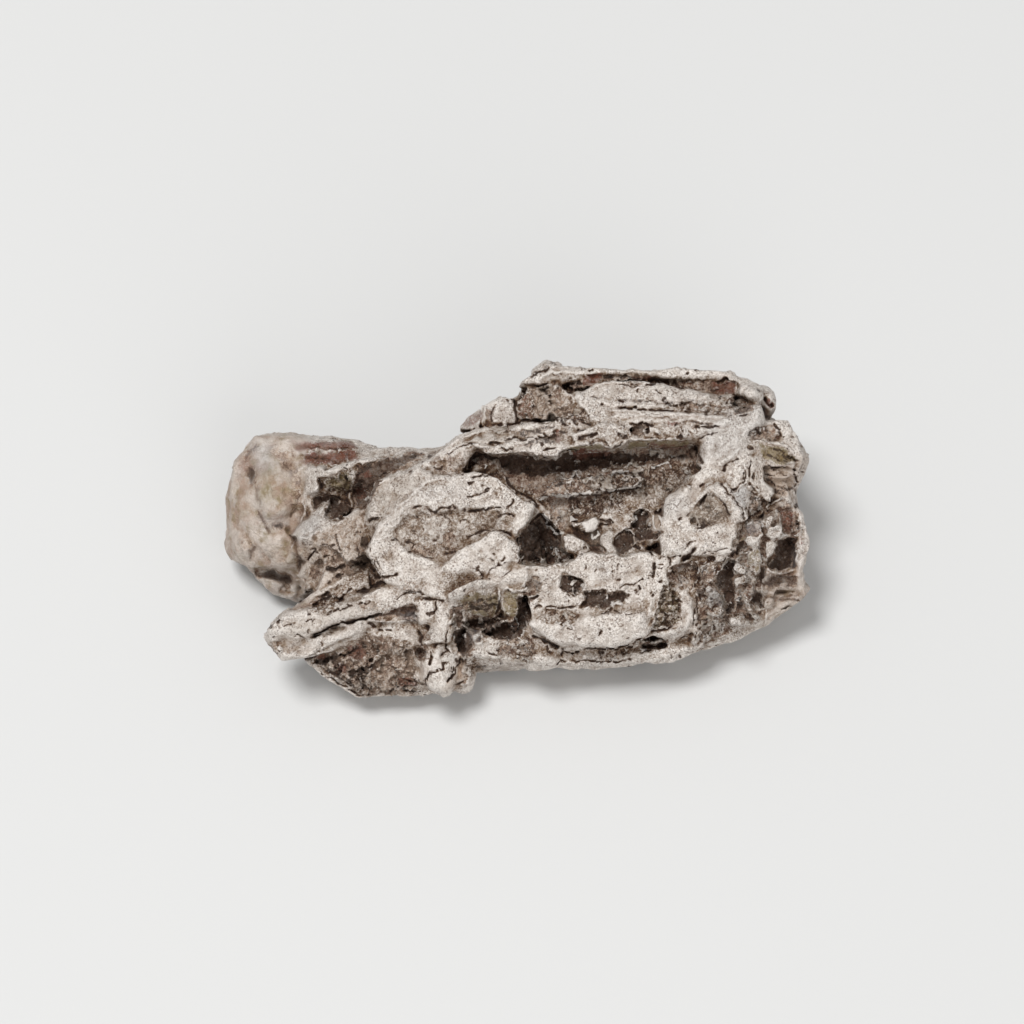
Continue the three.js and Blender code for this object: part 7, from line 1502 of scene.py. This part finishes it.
def crumble(mesh):  # broken grains in the hollows, and a fine tooth all over
    points, normals, edges = readPoints(mesh), readNormals(mesh), readEdges(mesh)
    marks = {name: readMark(mesh, name) for name in ("front", "calm", "grainy", "crack", "brown", "olive", "clean")}
    broad = relax(points, edges, 60)
    standing = ((points - broad) * normals).sum(1)
    hidden = 1 - marks["front"]
    sheltered = smoothStep(0.02, -0.2, standing)
    soiled = np.maximum(0.9 * marks["brown"], 0.5 * marks["olive"]) * (1 - marks["clean"])
    grainy = np.maximum.reduce([marks["grainy"], 0.6 * sheltered, soiled, 0.7 * hidden]) * (1 - marks["calm"])
    grainy *= 1 - 0.7 * marks["clean"]
    tooth = sum(share * wobble(points, size, seed) for size, share, seed in brokenGrains["tooth"])
    bare, more = brokenGrains["toothHeight"]
    shift = (bare + more * grainy) * tooth * (1 - 0.6 * marks["calm"])
    small = np.flatnonzero(grainy > 0.08)
    gaps = np.zeros(len(small))
    for size, high, deep, least in brokenGrains["chips"]:
        stand, gap = chips(points[small], size, brokenGrains["chipSeed"])
        share = grainy[small] * smoothStep(least, least + 0.15, grainy[small])
        shift[small] += share * (high * stand - deep * gap)
        gaps = np.maximum(gaps, gap * share)
    crack = marks["crack"]
    crack[small] = np.maximum(crack[small], brokenGrains["gapMark"] * gaps)
    saveMark(mesh, "crack", crack)
    writePoints(mesh, points + normals * shift[:, None])


def trim(nugget):
    many = len(nugget.data.polygons)
    if many > nuggetShape["triangles"]:
        bpy.ops.object.modifier_add(type="DECIMATE")
        thin = nugget.modifiers[-1]
        thin.ratio = nuggetShape["triangles"] / many
        bpy.ops.object.modifier_apply(modifier=thin.name)


shelter = {
    "rays": 26,
    "reach": 5.0,  # mm, how far off metal still shades a point
    "start": 0.04,  # mm above the surface
    "standing": {"proud": 4, "bold": 24},  # how often the surface is relaxed before the points are held against it
}


def markShelter(mesh):  # how hidden each point is, and how far it stands out from what is round it
    points, normals, edges = readPoints(mesh), readNormals(mesh), readEdges(mesh)
    saveMark(mesh, "hollow", hollowness(mesh, points, normals))
    for name, times in shelter["standing"].items():
        broad = relax(points, edges, times)
        saveMark(mesh, name, ((points - broad) * normals).sum(1))


def hollowness(mesh, points, normals):  # the share of the rays from each point that meet metal
    tree = treeOf(mesh, points)
    rays, reach = shelter["rays"], shelter["reach"]
    blocked = np.zeros(len(points))
    sent = np.zeros(len(points))
    golden = math.pi * (3 - math.sqrt(5))
    starts = points + normals * shelter["start"]
    for k in range(rays):
        z = 1 - 2 * (k + 0.5) / rays
        r = math.sqrt(1 - z * z)
        way = Vector((r * math.cos(golden * k), r * math.sin(golden * k), z))
        lift = normals @ np.array(way)
        for i in np.flatnonzero(lift > 0.1):
            far = tree.ray_cast(Vector(starts[i]), way, reach)[3]
            sent[i] += lift[i]
            if far is not None:
                blocked[i] += lift[i] * (1 - 0.5 * far / reach)
    return blocked / sent.clip(1e-6)


def fromHex(code):  # an sRGB hex colour turned to linear
    parts = [int(code[i : i + 2], 16) / 255 for i in (0, 2, 4)]
    return tuple(p / 12.92 if p <= 0.04045 else ((p + 0.055) / 1.055) ** 2.4 for p in parts) + (1.0,)


def addNode(tree, kind, inputs=(), out=None, ramp=(), **settings):
    # inputs are values or other nodes' outputs, in order or by name; what comes back is the first output, or out
    node = tree.nodes.new("ShaderNode" + kind)
    for name, value in settings.items():
        setattr(node, name, value)
    if ramp:
        elements = node.color_ramp.elements
        while len(elements) < len(ramp):
            elements.new(0.5)
        for element, (place, colour) in zip(elements, ramp):
            element.position = place
            element.color = colour
    sockets = [socket for socket in node.inputs if socket.enabled]
    if isinstance(inputs, dict):
        sockets, inputs = [node.inputs[name] for name in inputs], inputs.values()
    for socket, value in zip(sockets, inputs):
        if isinstance(value, bpy.types.NodeSocket):
            tree.links.new(value, socket)
        else:
            socket.default_value = value
    given = [socket for socket in node.outputs if socket.enabled and out in (None, socket.name)]
    return given[0] if given else None


ironLook = {
    "deep": "2f1a0d",
    "oxide": "5c4029",
    "dull": "83715f",
    "pale": "a89c92",
    "bright": "c0b6ad",
    "worn": "dcd5ce",
    "rust": "7a4430",
    "darkRust": "4a2519",
    "tan": "b09a87",
    "olive": "7a6a45",
    "brown": "634535",
    "earth": "917a6a",
    "blue": "a2a4a6",
    "crack": "2c1a10",
    "dust": "978a7c",
    "flush": "927765",
    # from hidden and low to bare and proud: painted shade over the oxide at the hidden end, painted highlight over
    # the wear at the proud end
    "shadedIronTones": [(0.05, "deep"), (0.25, "oxide"), (0.45, "dull"), (0.66, "pale"), (0.84, "bright"), (1.0, "worn")],
    "soilTones": [(0.05, "deep"), (0.3, "brown"), (0.5, "earth"), (0.72, "tan"), (0.95, "bright")],
}
ironGrain = {  # size in mm, detail, roughness, seed
    "patches": (2.4, 4, 0.55, 2.0),
    "flush": (1.5, 5, 0.62, 8.0),
    "bleach": (1.1, 5, 0.6, 10.0),
    "clusters": (0.9, 4, 0.6, 5.0),
    "mottle": (0.8, 5, 0.6, 1.0),
    "stain": (0.7, 5, 0.65, 9.0),
    "grit": (0.26, 3, 0.6, 3.0),
    "glints": (0.11, 1, 0.5, 7.0),  # oxide grains are some 0.03 mm, so from here on they are drawn coarser, to show
    "grain": (0.09, 2, 0.6, 4.0),
    "pits": (0.09, 1, 0.5, 6.0),
}
ironCells = {"chip": 0.1, "clod": 0.34}  # mm across
ironEdges = {  # from where to where a mark's edge breaks up into grains
    "olive": (0.38, 0.6),
    "clean": (0.38, 0.6),
    "brown": (0.38, 0.6),
    "rust": (0.38, 0.6),
    "pale": (0.3, 0.5),
    "crack": (0.48, 0.62),
}


def weatheredIron():  # torn nickel-iron under a thin oxide skin: pale matt grey plates, brown in every hollow; painted shade darkens the hollows further, and painted highlights and shade follow the edges and creases beside their wear
    material = bpy.data.materials.new("weatheredNickelIron")
    material.use_nodes = True
    tree = material.node_tree
    tree.nodes.clear()
    place = addNode(tree, "TexCoord", out="Object")
    mm = addNode(tree, "Mapping", {"Vector": place, "Scale": (1000, 1000, 1000)})
    marks, clouds, cells, covers = {}, {}, {}, {}
    for name in markNames + ("hollow", "proud", "bold"):
        marks[name] = addNode(tree, "Attribute", out="Fac", attribute_name=name)
    for name, (size, detail, rough, seed) in ironGrain.items():
        clouds[name] = addNode(tree, "TexNoise", (mm, seed, 1 / size, detail, rough), noise_dimensions="4D")
    shake = addNode(tree, "TexNoise", (mm, 7.0, 2.0), out="Color")
    bent = addNode(tree, "VectorMath", (shake, (0.3, 0.3, 0.3), mm), operation="MULTIPLY_ADD")
    for name, size in ironCells.items():
        cell = addNode(tree, "TexVoronoi", (bent, 1 / size), out="Color")
        cells[name] = addNode(tree, "MapRange", (cell, 0.3, 0.7))
    mottle = clouds["mottle"]
    speck = addNode(tree, "MapRange", (clouds["grain"], 0.38, 0.62))
    clot = addNode(tree, "MapRange", (clouds["grit"], 0.35, 0.65))

    # where the surface is calm and where it is loud with grains
    calm = marks["calm"]
    busy = addNode(tree, "Math", (1.0, calm), operation="SUBTRACT")
    quiet = addNode(tree, "MapRange", (calm, 0.0, 1.0, 1.0, 0.25))
    rubbly = addNode(tree, "Math", (marks["brown"], 0.5, marks["grainy"]), operation="MULTIPLY_ADD", use_clamp=True)
    loud = addNode(tree, "MapRange", (clouds["patches"], 0.38, 0.62, 0.15, 0.5))
    loud = addNode(tree, "Math", (rubbly, 0.5, loud), operation="MULTIPLY_ADD")
    loud = addNode(tree, "Math", (quiet, loud), operation="MULTIPLY")

    # the marks' edges break up into grains, but for the calm parts
    speckFray = addNode(tree, "MapRange", (speck, 0.0, 1.0, -0.16, 0.16))
    clotFray = addNode(tree, "MapRange", (clot, 0.0, 1.0, -0.16, 0.16))
    fray = addNode(tree, "Math", (speckFray, clotFray))
    for name, (low, high) in ironEdges.items():
        edge = addNode(tree, "Math", (marks[name], fray))
        edge = addNode(tree, "MapRange", (edge, low, high))
        body = addNode(tree, "MapRange", (marks[name], 0.05, 0.25))
        broken = addNode(tree, "Math", (edge, body), operation="MULTIPLY")
        whole = addNode(tree, "Math", (marks[name], calm), operation="MULTIPLY")
        covers[name] = addNode(tree, "Math", (broken, busy, whole), operation="MULTIPLY_ADD")

    # the level runs from hidden and low to bare and proud: how hidden a point is paints shade into the colour, over
    # the oxide of the hollows, and how far it stands out paints highlights on edges and shade in creases, over their
    # wear
    unshadedShare = addNode(tree, "Math", (1.0, marks["hollow"]), operation="SUBTRACT")
    patchy = addNode(tree, "MapRange", (clouds["patches"], 0.3, 0.7, -0.07, 0.05))
    mottled = addNode(tree, "MapRange", (mottle, 0.3, 0.7, -0.14, 0.1))
    level = addNode(tree, "Math", (patchy, mottled))
    for part, strength in (
        (unshadedShare, 0.85),
        (marks["bold"], 0.5),
        (marks["proud"], 2.6),
        (marks["clean"], 0.12),
        (marks["grainy"], -0.08),
    ):
        level = addNode(tree, "Math", (part, strength, level), operation="MULTIPLY_ADD")
    level = addNode(tree, "Math", (level, 0.9), operation="MINIMUM")
    rubbed = addNode(tree, "MapRange", (mottle, 0.35, 0.65, 0.62, 0.86))
    rubbed = addNode(tree, "Math", (marks["clean"], rubbed), operation="MULTIPLY")
    level = addNode(tree, "Math", (level, rubbed), operation="MAXIMUM")
    # proud once more: painted highlight on edges and painted shade in creases, then the grain
    for part, strength in (
        (marks["proud"], 1.4),
        (loud, addNode(tree, "MapRange", (clot, 0.0, 1.0, -0.1, 0.08))),
        (loud, addNode(tree, "MapRange", (speck, 0.0, 1.0, -0.3, 0.22))),
        (loud, addNode(tree, "MapRange", (cells["chip"], 0.0, 1.0, -0.4, 0.3))),
        (rubbly, addNode(tree, "MapRange", (cells["clod"], 0.0, 1.0, -0.2, 0.24))),
    ):
        level = addNode(tree, "Math", (part, strength, level), operation="MULTIPLY_ADD")

    colour = {name: fromHex(code) for name, code in ironLook.items() if isinstance(code, str)}
    shadedIronTones = [(at, colour[name]) for at, name in ironLook["shadedIronTones"]]
    soilTones = [(at, colour[name]) for at, name in ironLook["soilTones"]]
    crumbly = addNode(tree, "MapRange", (mottle, 0.35, 0.65, -0.06, 0.5))
    for cell in cells.values():
        crumbly = addNode(tree, "Math", (cell, 0.36, crumbly), operation="MULTIPLY_ADD")
    soilAndShadow = addNode(tree, "ValToRGB", (crumbly,), ramp=soilTones)
    # brown near full strength goes to the deep colour: painted shadow where the strokes under the lobe's lip and in
    # the groove stand for shade, dark brown elsewhere
    deepest = addNode(tree, "MapRange", (marks["brown"], 0.75, 1.0, 0.0, 0.9))
    soilAndShadow = addNode(tree, "Mix", (deepest, soilAndShadow, colour["deep"]), data_type="RGBA")
    uncleaned = addNode(tree, "Math", (1.0, covers["clean"]), operation="SUBTRACT")
    soiled = addNode(tree, "Math", (covers["brown"], uncleaned), operation="MULTIPLY")
    mixed = addNode(tree, "Math", (speck, clot))
    mixed = addNode(tree, "Math", (mixed, 0.5), operation="MULTIPLY")
    rusty = addNode(tree, "Mix", (mixed, colour["darkRust"], colour["rust"]), data_type="RGBA")
    clusters = addNode(tree, "MapRange", (clouds["clusters"], 0.4, 0.6, 0.15, 1.0))
    pit = addNode(tree, "MapRange", (clouds["pits"], 0.56, 0.62))
    pit = addNode(tree, "Math", (pit, clusters), operation="MULTIPLY")
    pit = addNode(tree, "Math", (pit, quiet), operation="MULTIPLY")
    glint = addNode(tree, "MapRange", (clouds["glints"], 0.61, 0.64))
    glinting = addNode(tree, "MapRange", (mottle, 0.48, 0.6))
    glint = addNode(tree, "Math", (glint, glinting), operation="MULTIPLY")
    glint = addNode(tree, "Math", (glint, quiet), operation="MULTIPLY")

    # each layer lies over those before it, as far as its mark and its strength say
    tone = addNode(tree, "ValToRGB", (level,), ramp=shadedIronTones)
    for mark, strength, over in (
        (marks["dust"], addNode(tree, "MapRange", (clouds["grit"], 0.3, 0.65, 0.2, 0.9)), colour["dust"]),
        (marks["tan"], addNode(tree, "MapRange", (mottle, 0.35, 0.65, 0.4, 0.85)), colour["tan"]),
        (covers["olive"], 0.75, colour["olive"]),
        (calm, addNode(tree, "MapRange", (clouds["flush"], 0.44, 0.6, 0.0, 0.7)), colour["flush"]),
        (calm, addNode(tree, "MapRange", (clouds["stain"], 0.5, 0.64, 0.0, 0.65)), colour["olive"]),
        (calm, addNode(tree, "MapRange", (clouds["bleach"], 0.5, 0.62, 0.0, 0.7)), colour["bright"]),
        (soiled, 0.9, soilAndShadow),
        (covers["rust"], addNode(tree, "MapRange", (mottle, 0.38, 0.6, 0.5, 0.95)), rusty),
        (marks["blue"], 0.45, colour["blue"]),
        (pit, 0.7, colour["oxide"]),
        (glint, 0.7, colour["pale"]),
        (covers["pale"], 1.0, colour["worn"]),
        (marks["crack"], 0.4, colour["oxide"]),
        (covers["crack"], addNode(tree, "MapRange", (calm, 0.0, 1.0, 0.8, 0.25)), colour["crack"]),
    ):
        share = addNode(tree, "Math", (mark, strength), operation="MULTIPLY")
        tone = addNode(tree, "Mix", (share, tone, over), data_type="RGBA")

    rough = addNode(tree, "MapRange", (unshadedShare, 0.2, 0.9, 0.9, 0.62))
    shine = addNode(tree, "MapRange", (level, 0.7, 1.1, 0.0, 0.25))
    chipped = addNode(tree, "Math", (cells["chip"], rubbly), operation="MULTIPLY")
    relief = 0.0
    for part, strength in ((clouds["grit"], 0.9), (clouds["grain"], 0.7), (pit, -0.5), (chipped, 0.35)):
        relief = addNode(tree, "Math", (part, strength, relief), operation="MULTIPLY_ADD")
    bump = addNode(tree, "Bump", {"Strength": 0.9, "Distance": 0.00015, "Height": relief})
    surface = {"Base Color": tone, "Roughness": rough, "Metallic": shine, "Normal": bump}
    addNode(tree, "OutputMaterial", {"Surface": addNode(tree, "BsdfPrincipled", surface)})
    return material


tableLook = {"colour": "cacac9", "rough": 0.9, "size": 3.0}


def makeTable():  # smooth matt card: no shine and no texture, so the object alone has detail
    bpy.ops.object.select_all(action="DESELECT")
    bpy.ops.mesh.primitive_plane_add(size=tableLook["size"])
    table = bpy.context.object
    table.name = "paleTable"
    material = bpy.data.materials.new("smoothPaleCard")
    material.use_nodes = True
    shader = material.node_tree.nodes["Principled BSDF"]
    shader.inputs["Base Color"].default_value = fromHex(tableLook["colour"])
    shader.inputs["Roughness"].default_value = tableLook["rough"]
    table.data.materials.append(material)


studio = {
    "key": {"at": (-0.16, -0.04, 0.62), "size": 0.22, "power": 3.4},
    "fill": {"at": (0.2, -0.55, 0.3), "size": 0.6, "power": 1.7},
    "sky": 0.44,
}


def makeLights():
    for name in ("key", "fill"):
        lamp = studio[name]
        bpy.ops.object.light_add(type="AREA", location=lamp["at"])
        light = bpy.context.object
        light.name = name + "Light"
        light.data.shape = "DISK"
        light.data.size = lamp["size"]
        light.data.energy = lamp["power"]
        light.rotation_euler = Vector(lamp["at"]).to_track_quat("Z", "Y").to_euler()
    world = bpy.data.worlds.new("studioSky")
    bpy.context.scene.world = world
    world.use_nodes = True
    world.node_tree.nodes["Background"].inputs["Color"].default_value = (1, 1, 1, 1)
    world.node_tree.nodes["Background"].inputs["Strength"].default_value = studio["sky"]


placeCamera()
nugget = makeNugget()
nugget.data.materials.append(weatheredIron())
pickOnly(nugget)
bpy.ops.object.shade_smooth()
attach(nugget, "root")
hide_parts("meteorite")
makeTable()
makeLights()
print("stage: lit and ready")
